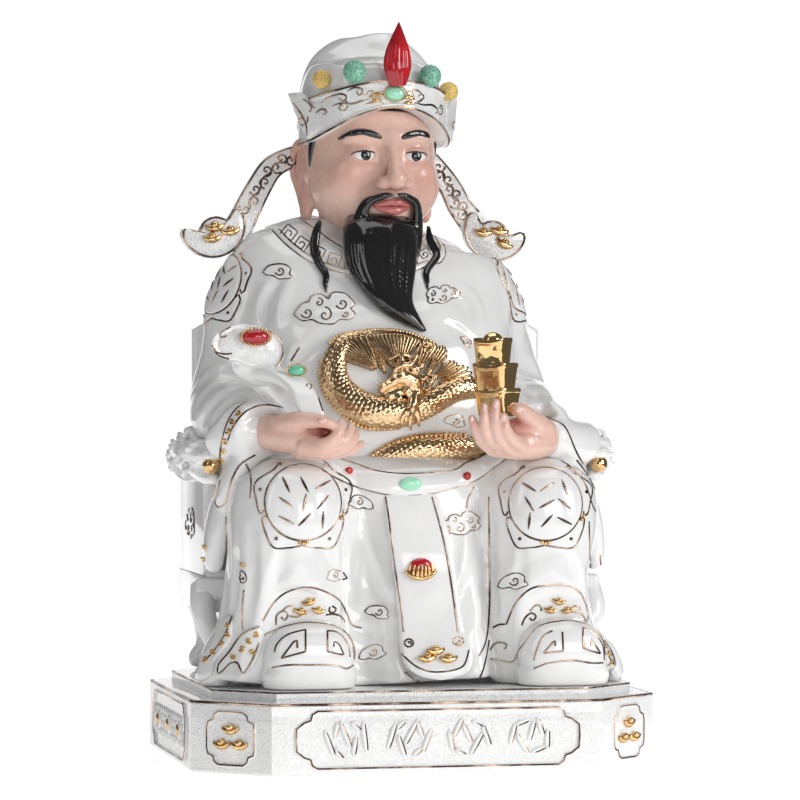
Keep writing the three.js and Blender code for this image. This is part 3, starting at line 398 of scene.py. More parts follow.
# The photo's camera, fitted to the plinth and the outline: figure millimetres and photo pixels
CAMERA_YAW = math.radians(11.82)
CAMERA_PITCH = math.radians(0.34)
CAMERA_DISTANCE = 2305.0
CAMERA_SHIFT = (2.3, 204.6)
FOCAL_PIXELS = 4000.0
FRAME_PIXELS = 800.0


def camera_axes():
    """Right, up and back of the camera, and its place in figure millimetres over the floor."""
    a, e = CAMERA_YAW, CAMERA_PITCH
    back = np.array([-math.sin(a) * math.cos(e), -math.cos(a) * math.cos(e), math.sin(e)])
    right = np.array([math.cos(a), -math.sin(a), 0])
    up = np.cross(right, -back)
    place = back * CAMERA_DISTANCE + right * CAMERA_SHIFT[0] + up * CAMERA_SHIFT[1]
    return right, up, back, place


def front_ray(u, v):
    """The ray of the photo's pixel u, v."""
    right, up, back, place = camera_axes()
    middle = FRAME_PIXELS / 2
    ray = right * (u - middle) / FOCAL_PIXELS + up * (middle - v) / FOCAL_PIXELS - back
    return place - [0, 0, LIFT], unit(ray)


def pixel(u, v, y):
    """The point at depth y that the photo shows at u, v."""
    place, ray = front_ray(u, v)
    return place + ray * (y - place[1]) / ray[1]


def back_ray(x, z):
    return np.array([x, 400.0, z]), np.array([0, -1.0, 0])


def side_ray(side):
    return lambda y, z: (np.array([side * 400.0, y, z]), np.array([-side * 1.0, 0, 0]))


def top_ray(x, y):
    return np.array([x, y, 500.0]), np.array([0, 0, -1.0])


# Drawings cast on a canvas: rows u, v of a ray


def eased(rows, passes=3):
    """The rows with their unevenness taken out, between fixed ends."""
    rows = np.array(rows, float)
    for _ in range(passes):
        rows[1:-1] = 0.5 * rows[1:-1] + 0.25 * (rows[:-2] + rows[2:])
    return rows


def cast(canvas, ray, rows, pitch=1.5, sharp=False):
    """The runs of places, normals and further numbers where a path meets the canvas."""
    runs, run = [], []
    for row in resampled(rows, pitch, sharp, 2):
        hit = canvas.hit(*ray(*row[:2]))
        if hit is None or run and np.linalg.norm(hit[0] - run[-1][0]) > 4 + 2 * pitch:
            runs.append(run)
            run = []
        if hit is not None:
            run.append((hit[0], hit[1], row[2:]))
    runs.append(run)
    kept = []
    for run in runs:
        if len(run) > 2:
            places, normals, rest = (np.array([item[k] for item in run]) for k in range(3))
            kept.append((places, unit(eased(normals)), rest))
    return kept


def stroke(canvas, ray, rows, radius=0.5, out=0.05, pitch=2.4, sharp=False, pointed=False, sides=6):
    """A thin raised line."""
    made = []
    for places, normals, _ in cast(canvas, ray, rows, pitch, sharp):
        radii = np.full(len(places), float(radius))
        if pointed:
            radii *= 0.3 + 0.7 * np.sin(np.linspace(0.15, np.pi - 0.15, len(places)))
        made.append(pipe(places + out * normals, radii, sides, normals, 0.75))
    return made


def spiral(u, v, reach, turns=1.4, start=0.0, hand=1):
    """A curl that opens from its middle."""
    t = np.linspace(0.12, 1, 20)
    angle = start + hand * TAU * turns * t
    return np.stack([u + reach * t * np.cos(angle), v + reach * t * np.sin(angle)], 1).tolist()


def oval(u, v, ru, rv, count=36, turn=0.0):
    angle = np.linspace(0, TAU, count + 1)
    a, b = ru * np.cos(angle), rv * np.sin(angle)
    c, s = math.cos(turn), math.sin(turn)
    return np.stack([u + a * c - b * s, v + a * s + b * c], 1).tolist()


STRAP_PITCH = 2.0
STRAP_DEPTH = 0.8


def pad(canvas, ray, outline, height):
    """A low raised field inside a closed outline."""
    rim = resampled(outline, 2.2, False, 2)[:-1]
    centre = rim.mean(0)
    inner = None
    rings = []
    for share in (0.03, 0.2, 0.4, 0.6, 0.78, 0.92, 0.97, 1.0):
        places, normals = [], []
        for i, (u, v) in enumerate(centre + share * (rim - centre)):
            hit = canvas.hit(*ray(u, v))
            if inner is not None and (hit is None or np.linalg.norm(hit[0] - inner[0][i]) > 9):
                hit = inner[0][i], inner[1][i]
            places.append(hit[0])
            normals.append(hit[1])
        inner = np.array(places), np.array(normals)
        rings.append((share, *inner))
    mean = unit(rings[3][2].mean(0))
    shape = []
    for share, places, normals in rings:
        lift = height * (1 if share < 0.95 else 0.8 if share < 1 else 0.3)
        shape.append(places + lift * unit(0.4 * normals + 0.6 * mean))
    shape.append(rings[-1][1] - 1.0 * mean)
    shape.append(rings[1][1] - 1.2 * mean)
    return skin(np.array(shape))


def strap(canvas, ray, upper, lower, out, crown=0.0):
    """A band laid on the canvas between two paths of one direction."""
    count = max(len(resampled(upper, STRAP_PITCH, False, 2)), 4)
    t = np.linspace(0, 1, count)
    edges = [catmull(resampled(rows, STRAP_PITCH, False, 2), t) for rows in (upper, lower)]
    shares = (0.0, 0.03, 0.1, 0.3, 0.5, 0.7, 0.9, 0.97, 1.0)
    lifts = (0.2, 0.7, 1, 1, 1, 1, 1, 0.7, 0.2)
    grid = []
    for a, b in zip(*edges):
        hits = [canvas.hit(*ray(*(a + share * (b - a)))) for share in shares]
        if any(hit is None for hit in hits):
            continue
        grid.append([[*hit[0], *hit[1]] for hit in hits])
    grid = np.array(grid)
    places, normals = eased(grid[..., :3], 2), unit(eased(grid[..., 3:], 4))
    bulge = crown * (1 - (2 * np.array(shares) - 1) ** 2)
    top = places + (out * np.array(lifts) + bulge)[None, :, None] * normals
    under = places[:, ::-1] - STRAP_DEPTH * normals[:, ::-1]
    return skin(np.concatenate([top, under[:, [0, 4, 8]]], 1))


# Rows across, up of a cloud from -1 to 1, and of its curls: middle, reach, hand
CLOUD = [
    (-1, 0.2), (-0.73, -0.16), (-0.5, -0.23), (-0.41, -0.41), (-0.14, -0.48), (0, -0.41), (0.14, -0.32),
    (0.27, -0.52), (0.64, -0.5), (0.86, -0.32), (1, -0.14), (0.86, 0), (1, 0.18), (0.82, 0.36), (0.5, 0.36),
    (0.27, 0.5), (-0.14, 0.48), (-0.41, 0.36), (-0.73, 0.39), (-1, 0.2),
]
CLOUD_CURLS = [
    (-0.57, 0.14, 0.2, 1), (0.02, 0.2, 0.25, -1), (0.58, -0.16, 0.2, 1), (-0.18, -0.2, 0.15, -1),
    (0.7, 0.18, 0.12, 1),
]
WISP = [
    (-1, 0.1), (-0.7, -0.3), (-0.2, -0.48), (0.4, -0.5), (0.8, -0.2), (0.75, 0.1),
    (0.95, 0.35), (0.6, 0.42), (0.1, 0.48), (-0.3, 0.28), (-0.7, 0.26), (-1, 0.1),
]
WISP_CURLS = [(0.15, -0.05, 0.34, 1)]


def cloud_parts(u, v, half, kind="cloud", flip=1, turn=0.0):
    """A curled cloud: its outline and its curls, as rows u, v."""
    outline, curls = (CLOUD, CLOUD_CURLS) if kind == "cloud" else (WISP, WISP_CURLS)
    c, s = math.cos(turn), math.sin(turn)

    def placed(a, b):
        a, b = flip * a * half, b * half
        return u + a * c - b * s, v + a * s + b * c

    rim = [placed(a, b) for a, b in outline]
    return rim, [spiral(*placed(a, b), r * half, 1.35, 0.6, hand * flip) for a, b, r, hand in curls]


# Looks


class Look:
    """A procedural material: nodes around one Principled shader."""

    def __init__(self, name, colour, roughness, metallic=0.0, **settings):
        self.material = bpy.data.materials.new(name)
        self.material.use_nodes = True
        self.nodes = self.material.node_tree.nodes
        self.links = self.material.node_tree.links
        self.shader = self.nodes["Principled BSDF"]
        self.set("Base Color", (*colour, 1))
        self.set("Roughness", roughness)
        self.set("Metallic", metallic)
        for socket, value in settings.items():
            self.set(socket.replace("_", " ").title().replace("Ior", "IOR"), value)
        place = self.nodes.new("ShaderNodeTexCoord")
        self.place = place.outputs["Object"]
        self.height = None

    def set(self, socket, value):
        self.shader.inputs[socket].default_value = value

    def node(self, kind, inputs=(), **settings):
        made = self.nodes.new(kind)
        for key, value in settings.items():
            setattr(made, key, value)
        for key, value in dict(inputs).items():
            if isinstance(value, bpy.types.NodeSocket):
                self.links.new(value, made.inputs[key])
            else:
                made.inputs[key].default_value = value
        return made

    def noise(self, scale, detail=2.0, rough=0.5):
        made = self.node(
            "ShaderNodeTexNoise",
            {"Vector": self.place, "Scale": scale, "Detail": detail, "Roughness": rough},
        )
        return made.outputs["Fac"]

    def remap(self, value, low, high, to_low=0.0, to_high=1.0):
        made = self.node(
            "ShaderNodeMapRange",
            {"Value": value, "From Min": low, "From Max": high, "To Min": to_low, "To Max": to_high},
        )
        return made.outputs["Result"]

    def mix(self, share, first, second):
        made = self.node("ShaderNodeMix", data_type="RGBA")
        for socket, value in zip(("Factor", "A", "B"), (share, first, second)):
            place = [s for s in made.inputs if s.name == socket and s.enabled][0]
            if isinstance(value, bpy.types.NodeSocket):
                self.links.new(value, place)
            else:
                place.default_value = value if socket == "Factor" else (*value, 1)
        return [s for s in made.outputs if s.enabled][0]

    def colour(self, value):
        self.links.new(value, self.shader.inputs["Base Color"])

    def rough(self, value):
        self.links.new(value, self.shader.inputs["Roughness"])

    def bump(self, value, depth, strength=1.0):
        """Adds relief; depth is in metres."""
        made = self.node("ShaderNodeBump", {"Height": value, "Distance": depth, "Strength": strength})
        if self.height is not None:
            self.links.new(self.height, made.inputs["Normal"])
        self.height = made.outputs["Normal"]
        self.links.new(self.height, self.shader.inputs["Normal"])


WHITE = (0.90, 0.90, 0.895)
WHITE_SHADE = (0.84, 0.845, 0.84)


def glaze(name, colour=WHITE, shade=WHITE_SHADE, roughness=0.09, stipple=0.0):
    """Glazed porcelain: a hard clear coat, thin where it ran, and a few waves left by the dip."""
    look = Look(name, colour, roughness, ior=1.52, coat_weight=0.6, coat_roughness=0.02)
    look.colour(look.mix(look.remap(look.noise(38.0, 3.0), 0.35, 0.7), colour, shade))
    look.rough(look.remap(look.noise(120.0, 2.0), 0.3, 0.7, roughness * 0.8, roughness * 1.5))
    if stipple:
        cells = look.node("ShaderNodeTexVoronoi", {"Vector": look.place, "Scale": 900.0})
        grains = look.remap(cells.outputs["Distance"], 0.05, 0.5, 1.0, 0.0)
        look.bump(grains, stipple)
    look.bump(look.noise(60.0, 1.0), 0.0006, 0.35)
    return look.material


def lustre(name, colour, shade, roughness, scale=220.0, gap_shade=None, wave=0.25):
    """Fired gold: a mirror film, browner and duller in patches, and near black brown where a relief sinks,
    as painted shade.
    """
    look = Look(name, colour, roughness, 1.0)
    patches = look.remap(look.noise(scale, 4.0, 0.6), 0.4, 0.68)
    film = look.mix(patches, colour, shade)
    if gap_shade:
        # Painted shade: a number kept on each vertex darkens the relief where it sinks.
        depth = look.node("ShaderNodeAttribute", attribute_name="blush_and_shade").outputs["Fac"]
        film = look.mix(depth, film, gap_shade)
    look.colour(film)
    look.rough(look.remap(look.noise(scale * 1.7, 3.0), 0.3, 0.75, roughness * 0.7, roughness * 1.9))
    look.bump(look.noise(scale * 1.3, 2.0), 0.05 / scale, wave)
    return look.material


def line_lustre():
    """Thin gold lines, dark brown along some lengths and pink along others; the dark brown is a painted
    reflection of dark surroundings.
    """
    look = Look("gold_line", (0.5, 0.3, 0.2), 0.2, 1.0)
    painted_reflection_stretch = look.remap(look.noise(42.0, 3.0, 0.6), 0.46, 0.62)
    # Painted reflection: the near black brown stands for dark surroundings mirrored in the gold; the pink is
    # the gold's own colour.
    look.colour(look.mix(painted_reflection_stretch, (0.085, 0.05, 0.036), (0.76, 0.57, 0.44)))
    look.rough(look.remap(look.noise(500.0, 3.0), 0.3, 0.75, 0.16, 0.36))
    look.bump(look.noise(900.0, 2.0), 0.0001, 0.3)
    return look.material


white_look = glaze("white_glaze")
stippled_look = glaze("white_glaze_stippled", stipple=0.00035)
gold_look = lustre("gold_lustre", (0.88, 0.60, 0.29), (0.52, 0.31, 0.14), 0.12)
# The third colour is painted shade between the dragon's scales and in the valleys of its fin ribs.
DRAGON_GOLD, DRAGON_SHADE, DRAGON_GAP_SHADE = (0.90, 0.65, 0.39), (0.58, 0.38, 0.20), (0.10, 0.055, 0.025)
dragon_look = lustre("gold_dragon", DRAGON_GOLD, DRAGON_SHADE, 0.12, 420.0, DRAGON_GAP_SHADE)
mirror_look = lustre("gold_mirror", (0.92, 0.66, 0.33), (0.84, 0.54, 0.24), 0.05, 60.0, wave=0.9)
line_look = line_lustre()
black_look = glaze("black_glaze", (0.008, 0.008, 0.009), (0.014, 0.013, 0.013), 0.1)
red_look = glaze("red_glaze", (0.55, 0.012, 0.02), (0.36, 0.006, 0.012), 0.1)
green_look = glaze("green_glaze", (0.10, 0.50, 0.30), (0.22, 0.68, 0.46), 0.08)
mint_look = glaze("mint_glaze", (0.32, 0.78, 0.52), (0.44, 0.86, 0.62), 0.08)


def skin_look():
    """Painted skin: warm, redder in slow patches, with a soft shine. A number kept on each vertex adds
    blush, and where it is highest, deep red to near black painted shade in the hollows of the grips.
    """
    look = Look(
        "skin_glaze",
        (0.80, 0.52, 0.42),
        0.24,
        coat_weight=0.25,
        coat_roughness=0.12,
        subsurface_weight=0.12,
        subsurface_scale=0.004,
        subsurface_radius=(1.0, 0.35, 0.2),
    )
    patches = look.remap(look.noise(28.0, 3.0), 0.3, 0.75)
    base = look.mix(patches, (0.81, 0.545, 0.455), (0.78, 0.505, 0.415))
    blush_and_shade = look.node("ShaderNodeAttribute", attribute_name="blush_and_shade").outputs["Fac"]
    # Blush on cheeks, nose, lids, ears and finger tips; in the hollows of the grips this redness is painted
    # shade.
    warm = look.mix(blush_and_shade, base, (0.52, 0.12, 0.09))
    # Painted shade: near black red where the number is highest, in the hollows of the grips.
    look.colour(look.mix(look.remap(blush_and_shade, 0.7, 1.0), warm, (0.20, 0.018, 0.012)))
    look.rough(look.remap(look.noise(160.0, 3.0), 0.3, 0.7, 0.18, 0.32))
    look.bump(look.noise(900.0, 2.0), 0.00008, 0.3)
    return look.material


def pompom_look(name, colour, shade):
    """A net of raised crumbs, darker in the pits between them."""
    look = Look(name, colour, 0.35, coat_weight=0.3, coat_roughness=0.1)
    sockets = {"Vector": look.place, "Scale": 620.0}
    cells = look.node("ShaderNodeTexVoronoi", sockets, feature="DISTANCE_TO_EDGE")
    walls = look.remap(cells.outputs["Distance"], 0.02, 0.22, 1.0, 0.0)
    look.colour(look.mix(walls, shade, colour))
    look.bump(walls, 0.0004)
    return look.material


def flame_look():
    """Red glaze over upright ridges, lighter and darker in random patches."""
    look = Look("flame_glaze", (0.5, 0.01, 0.02), 0.12, coat_weight=0.5, coat_roughness=0.04)
    patches = look.remap(look.noise(90.0, 3.0), 0.35, 0.7)
    look.colour(look.mix(patches, (0.62, 0.015, 0.025), (0.33, 0.004, 0.012)))
    look.rough(look.remap(look.noise(140.0), 0.3, 0.7, 0.08, 0.2))
    return look.material


skin_tone = skin_look()
pompom_green = pompom_look("green_pompom", (0.44, 0.84, 0.64), (0.12, 0.46, 0.32))
pompom_yellow = pompom_look("yellow_pompom", (1.0, 0.78, 0.26), (1.0, 0.62, 0.16))
flame_tone = flame_look()


# Robe

ROBE_VOXEL = 1.8
BOOT_VOXEL = 1.35
SOLE_TOP = 9.6
Z_WAY = (0, 0, 1)
ARM_LEAN = -8

# Stations x, y, z, half width, half depth. Those of an arm or a leg are the right one's, mirrored later.
TORSO = [
    [0, 34, 50, 88, 48], [-2, 24, 92, 88, 56], [-4, 18, 135, 82, 60], [-7, 18, 170, 80, 60],
    [-9, 26, 200, 82, 52], [-11, 33, 224, 84, 44], [-11, 37, 242, 78, 36], [-10, 38, 253, 56, 27],
    [-9, 38, 261, 34, 23],
]
UPPER_ARM = [
    [64, 40, 232, 22, 24], [72, 38, 212, 24, 27], [76, 33, 184, 24, 28], [84, 26, 158, 24, 27],
    [87, 8, 147, 22, 24],
]
FOREARM = [
    [85, 20, 152, 23, 25], [86, -4, 149, 23, 25], [85, -26, 149, 19, 21], [82, -44, 145, 17, 20],
    [79, -58, 141, 16, 18],
]
OUTER_DROP = [
    [86, -34, 148, 11, 26], [90, -37, 128, 9.5, 21], [100, -39, 110, 8, 14], [107, -40, 98, 4, 6],
]
# Where each sleeve closes round its wrist: u, v, depth y, radius
CUFFS = [
    [(226, 440, -34, 12), (240, 435, -42, 11.8), (250.5, 432.5, -51, 11.2)],
    [(580, 442, -38, 12.4), (567, 441, -50, 12.4), (554, 438.5, -61, 11.6)],
]
INNER_DROP = [
    [92, -20, 128, 9, 20], [105, -24, 96, 8, 18], [110, -26, 74, 6.5, 12], [110, -27, 61, 4, 6],
]
THIGH = [
    [46, 36, 92, 40, 34], [56, 0, 96, 40, 34], [67, -34, 97, 37, 32], [70, -62, 96, 33, 31],
    [70, -89, 95, 27, 27],
]
ROBE_COLUMN = [
    [74, -50, 112, 28, 30], [75, -54, 88, 31, 33], [75, -55, 58, 32, 32], [76, -55, 30, 34, 31],
    [79, -56, 0, 38, 33],
]
BOOT = [
    [71, -30, 12, 20, 22], [71, -60, 14, 23, 26], [72, -84, 12, 25, 25], [72, -100, 10, 24, 22],
]
BOOT_SHIFT = 5.2
# How much nearer the middle the right arm's rows stand, and each side's drape
RIGHT_UPPER_TRIM = (9, 6, 3.5, 4, 6)
RIGHT_FORE_TRIM = (6, 7, 6, 3, 1)
RIGHT_COLUMN_TRIM = (0, 1.5, 4.5, 4, 1)
DRAPES = {
    LEFT: [
        [98, -44, 62, 4, 8], [102, -44, 38, 6, 12], [110, -46, 19, 9, 15], [114, -48, 6, 9, 17],
        [114, -48, 0, 8, 16],
    ],
    RIGHT: [
        [94, -44, 62, 4, 8], [93, -44, 36, 5, 12], [104, -46, 18, 9, 18], [112, -48, 6, 9, 22],
        [112, -48, 0, 8, 20],
    ],
}


def column_rows(side):
    """The robe over one leg."""
    rows = [list(row) for row in ROBE_COLUMN]
    if side == RIGHT:
        for row, trim in zip(rows, RIGHT_COLUMN_TRIM):
            row[0] -= trim
            row[3] -= trim
    return mirrored(rows, side)


def leaned(rows, side, trims):
    """An arm's rows on one side; both arms lean to the viewer's left."""
    made = []
    for (x, *rest), trim in zip(rows, trims):
        made.append([side * x + ARM_LEAN - (trim if side == RIGHT else 0), *rest])
    return made


def upper_robe():
    """Torso and sleeves, hollowed where the hands come out."""
    field = Field([-126, -84, 50], [126, 92, 272], ROBE_VOXEL, band=5)
    field.add(loft(TORSO[1:], sides=120, rings=90, power=2.3))
    for side in BOTH:
        field.add(loft(leaned(UPPER_ARM, side, RIGHT_UPPER_TRIM), domed=(0.25, 0.1)), 7)
        drop = [[side * x + ARM_LEAN * (1 - i / 3), *rest] for i, (x, *rest) in enumerate(OUTER_DROP)]
        field.add(loft(leaned(FOREARM, side, RIGHT_FORE_TRIM), side=Z_WAY, domed=(0.15, 0)), 6)
        field.add(loft(drop, power=2.4, domed=(0, 0.15)), 5)
        field.add(loft(mirrored(INNER_DROP, side), power=2.4, domed=(0, 0.15)), 4)
        field.cut_ball((side * 80 + ARM_LEAN, -64, 142), (12.5, 12, 14.5), 1.5)
    for rows in CUFFS:
        field.add_strand(resampled([[*pixel(u, v, y), r] for u, v, y, r in rows], 2), 4)
    return field


def pleats(angle, t):
    """How much wider a leg's robe is at an angle; t is 1 at the hem."""
    return 0.035 * t * np.sin(9 * angle + 1.2)


def fall_folds(angle, t):
    """The same for the cloth that falls between the knees."""
    return 0.05 * (0.4 + t) * np.sin(11 * angle + 0.6)


def lower_robe():
    """Thighs, the robe down to the hem over both legs and the cloth between them."""
    field = Field([-130, -108, -3], [130, 76, 142], ROBE_VOXEL, band=5)
    for side in BOTH:
        field.add(loft(mirrored(THIGH, side), domed=(0, 0.3), power=2.3), 6)
        column = Field(field.low, field.low + field.voxel * (field.size - 1), ROBE_VOXEL, band=5)
        column.add(loft(column_rows(side), sides=120, power=2.4, ripple=pleats))
        arch = [[74, -130, -4, 31, 60], [74, -82, -4, 31, 60]]
        column.cut(loft(mirrored(arch, side)), 3)
        field.d = blend(field.d, column.d, 6, field.band)
        field.add(loft(mirrored(DRAPES[side], side)), 5)
    fall = [[-1, -24, 112, 60, 34], [0, -30, 80, 56, 36], [2, -32, 40, 58, 40], [4, -34, 0, 62, 46]]
    field.add(loft(fall, sides=160, power=2.6, ripple=fall_folds), 4)
    field.add_ball((-1, -8, 108), (74, 54, 27), 8)
    field.cut_below(0)
    return field


# Rows x, y, z and half width, from the belt to the rounded foot
APRON = [
    [-6, -58.5, 113, 15.0], [-1.3, -70.2, 84, 16.8], [1.6, -75, 60, 17.4], [3.6, -80.5, 34, 18.0],
    [5.8, -86, 20, 19.8], [6.2, -89, 12, 18.4], [6.5, -90, 7.5, 14.6], [6.5, -90, 5, 8.5],
    [6.5, -90, 4, 1.5],
]
APRON_BULGE = 2.2
APRON_DEPTH = 8


def apron():
    """The panel that hangs between the knees."""
    rings = []
    for x, y, z, w in catmull(APRON, np.linspace(0, 1, 90)):
        angle = np.linspace(0, np.pi, 25)
        front = [[x - w * math.cos(a), y - APRON_BULGE * math.sin(a) ** 0.6, z] for a in angle]
        back = [[x + w * math.cos(a), y + APRON_DEPTH, z] for a in angle]
        rings.append(front + back)
    return skin(np.array(rings))


def boots():
    """Both boots, each on a sole a little wider than itself."""
    field = Field([-104, -128, -3], [110, -20, 44], BOOT_VOXEL)
    for side in BOTH:
        rows = [[x + BOOT_SHIFT, *rest] for x, *rest in mirrored(BOOT, side)]
        field.add(loft(rows, power=2.5, domed=(0, 0.28)))
        sole = Field(field.low, field.low + field.voxel * (field.size - 1), BOOT_VOXEL)
        sole.add(loft(rows, power=2.7, domed=(0, 0.28), grow=1.7))
        sole.keep(sole.everywhere()[2] - SOLE_TOP)
        field.d = blend(field.d, sole.d, 0.4, field.band)
    field.cut_below(0)
    return field


# Folds: height above the robe (below it where negative), then rows u, v, radius
TOP_FOLDS = [
    (-2.1, [(242, 322, 6), (247, 302, 6), (254, 284, 5)]),
    (2.0, [(256, 324, 6), (261, 302, 6), (271, 280, 5)]),
    (-2.1, [(265, 326, 6), (270, 305, 6), (279, 286, 5)]),
    (2.0, [(276, 324, 6), (281, 302, 6), (290, 280, 5)]),
    (-2.0, [(288, 367, 5), (308, 347, 6), (340, 330, 6), (380, 324, 6), (420, 325, 5)]),
    (1.8, [(286, 362, 4), (291, 352, 4), (299, 345, 3)]),
    (1.8, [(456, 282, 4), (473, 297, 4), (479, 312, 4), (481, 328, 4)]),
    (-1.6, [(452, 296, 5), (466, 306, 5), (473, 322, 5)]),
    (-1.8, [(436, 322, 6), (459, 330, 6), (476, 346, 5)]),
    (1.6, [(504, 290, 5), (507, 304, 5), (507, 322, 5)]),
    (-1.7, [(513, 300, 6), (515, 316, 6), (512, 334, 5)]),
    (1.6, [(521, 306, 5), (522, 324, 5), (519, 342, 5)]),
    (2.1, [(192, 396, 5), (206, 376, 5), (226, 366, 5), (248, 372, 5), (264, 386, 4)]),
    (-2.5, [(198, 404, 6), (212, 386, 6), (232, 376, 6), (252, 383, 5), (262, 394, 4)]),
    (2.0, [(204, 414, 5), (218, 396, 5), (237, 387, 5), (252, 393, 4)]),
    (2.2, [(209, 436, 4.5), (217, 421, 4.5), (228, 409, 4.5), (240, 402, 4)]),
    (-2.3, [(200, 426, 5), (209, 409, 5), (221, 399, 5)]),
    (-2.2, [(212, 424, 5), (224, 407, 5), (240, 398, 5), (250, 402, 4)]),
    (2.1, [(517, 360, 4), (535, 361, 5), (550, 372, 5), (561, 390, 5)]),
    (-2.5, [(520, 368, 5), (535, 371, 6), (546, 382, 6), (554, 398, 5)]),
    (2.0, [(524, 380, 4), (536, 382, 5), (545, 393, 5), (549, 408, 4)]),
    (-2.0, [(528, 391, 5), (538, 396, 5), (543, 408, 4)]),
]
LOW_FOLDS = [
    (-1.8, [(384, 520, 5), (380, 560, 5), (384, 600, 5), (392, 628, 4)]),
    (1.6, [(340, 560, 5), (352, 588, 5), (372, 606, 4), (392, 616, 4)]),
    (-1.7, [(366, 572, 5), (380, 598, 5), (396, 612, 4)]),
    (1.8, [(330, 534, 5), (338, 556, 5), (341, 586, 4)]),
    (-1.7, [(322, 540, 5), (328, 560, 5), (331, 584, 4)]),
    (1.6, [(276, 546, 4), (270, 570, 4), (262, 596, 4)]),
    (-1.6, [(284, 550, 5), (280, 572, 5), (272, 592, 4)]),
    (-1.8, [(458, 520, 5), (460, 556, 5), (454, 584, 4)]),
    (1.7, [(514, 548, 4), (512, 566, 4), (506, 590, 4)]),
    (-1.6, [(522, 552, 5), (522, 570, 4), (518, 584, 4)]),
    (1.6, [(574, 550, 4), (580, 570, 4), (586, 592, 4)]),
    (-1.6, [(566, 552, 5), (571, 568, 4), (575, 580, 4)]),
    (1.5, [(228, 560, 5), (224, 600, 5), (216, 640, 5)]),
    (-1.6, [(236, 556, 5), (233, 600, 5), (226, 628, 5)]),
    (1.9, [(355, 506, 6), (356, 550, 6), (358, 606, 6)]),
    (-2.2, [(347, 500, 6), (348, 550, 6), (350, 596, 6)]),
    (2.0, [(361, 512, 5), (370, 556, 5), (384, 582, 5), (394, 594, 4)]),
    (-2.2, [(366, 508, 6), (378, 548, 6), (392, 576, 5)]),
    (1.8, [(258.7, 540, 5), (259, 580, 5), (258, 622, 5)]),
    (-2.3, [(252, 530, 6), (252, 575, 6), (250, 618, 6)]),
    (1.7, [(245, 524, 5), (246, 570, 5), (243, 614, 5)]),
    (1.8, [(474, 486, 4), (468, 500, 4), (466, 512, 4)]),
    (2.0, [(468, 544, 5), (462, 576, 5), (454, 592, 4)]),
    (-1.7, [(475, 530, 6), (472, 570, 6), (462, 602, 5)]),
    (2.0, [(485, 520, 5), (484, 580, 5), (474, 628, 5), (460, 641, 4)]),
    (-1.7, [(491, 498, 5), (491, 560, 5), (491, 628, 5)]),
    (-1.9, [(398, 640, 5), (372, 634, 5), (356, 628, 4)]),
    (-1.9, [(352, 655, 5), (375, 668, 5), (398, 676, 5)]),
    (-1.8, [(594, 560, 5), (597, 595, 5), (603, 630, 5)]),
]


def folded(field, folds):
    """Cuts and raises the folds on a robe."""
    canvas = Canvas([field.mesh()])
    for height, rows in folds:
        for places, normals, radii in cast(canvas, front_ray, rows, 5):
            radius = radii[:, 0]
            lift = height * np.sin(np.linspace(0.3, np.pi - 0.3, len(radius)))
            if height > 0:
                ridge = places + (lift - radius)[:, None] * normals
                field.add_strand(np.column_stack([ridge, radius]), 2.4)
            else:
                groove = places + (radius + lift)[:, None] * normals
                field.cut_strand(np.column_stack([groove, radius]), 2.6)
    return field.mesh()


robe_top = folded(upper_robe(), TOP_FOLDS)
robe_low = folded(lower_robe(), LOW_FOLDS)
robe_canvas = Canvas([robe_top, robe_low])
apron_mesh = apron()
boot_mesh = boots().mesh()

BELT_TOP = [
    (329, 452), (339, 457.7), (357, 464), (376.4, 470.4), (400, 473.5), (430, 472.8), (454, 470),
    (465.5, 463), (478, 458), (490, 452), (508, 443),
]
BELT_FOOT = [
    (322, 470), (334, 477), (355.5, 486.5), (382, 493.5), (402, 495.5), (431, 493.5), (456, 487),
    (476, 480), (495, 467.5), (509, 457), (519, 450),
]
belt_mesh = strap(robe_canvas, front_ray, BELT_TOP, BELT_FOOT, 1.6, crown=0.5)
COLLAR_OUT = [
    (272.6, 230.5), (288, 246), (309, 261), (330, 269.5), (350, 275), (372, 280), (395, 279), (415, 271),
    (430, 265), (441, 262), (445.5, 250), (440, 238),
]
COLLAR_IN = [
    (299, 222), (313, 231), (327, 241.7), (344, 251.6), (360, 257), (375, 260), (392, 258), (405, 253),
    (415, 246), (423, 241), (429, 236), (431, 228),
]
NAPE = np.linspace(0.02, np.pi - 0.02, 24)
nape_out = [(-13 + 58 * math.cos(a), 33 + 30 * math.sin(a)) for a in NAPE]
nape_in = [(-11 + 34 * math.cos(a), 33 + 20 * math.sin(a)) for a in NAPE]
collar_mesh = strap(robe_canvas, front_ray, COLLAR_OUT, COLLAR_IN, 1.3, crown=0.2)
nape_mesh = strap(robe_canvas, top_ray, nape_out, nape_in, 1.3, crown=0.2)

piece("robe_upper", robe_top, white_look, replaces=["seated_figure"])
piece("robe_lower", robe_low, white_look)
piece("apron", apron_mesh, white_look, sharp=50)
piece("boots", boot_mesh, white_look)
piece("belt", belt_mesh, white_look, sharp=50)
piece("collar", together([collar_mesh, nape_mesh]), white_look, sharp=50)


# Head

HEAD_CENTRE = (-10, 30, 298)
HEAD_TURN = 0.14
EYE_X = 15.4  # a fifth of the head's width, as each eye is
EYE_Z = 1.0
BROW_Z = 10.5
NOSE_Z = -19.0
MOUTH_Z = -28.5
HEAD_TOP = 27  # where the hat and the hair close over it
HEAD_FOOT = -50


def in_head(mesh):
    """A mesh of the head's own frame in figure millimetres."""
    return moved(mesh, HEAD_TURN, HEAD_CENTRE)


def from_head(point):
    """A point of the head's own frame in figure millimetres."""
    c, s = math.cos(HEAD_TURN), math.sin(HEAD_TURN)
    x, y, z = point[:3]
    return [HEAD_CENTRE[0] + x * c - y * s, HEAD_CENTRE[1] + x * s + y * c, HEAD_CENTRE[2] + z, *point[3:]]


def lid_front(x, z):
    """The y of a closed lid's ball at x, z from its middle."""
    return -29.6 - 9.9 * math.sqrt(max(1 - (x / 9.9) ** 2 - (z / 8.8) ** 2, 0.03))


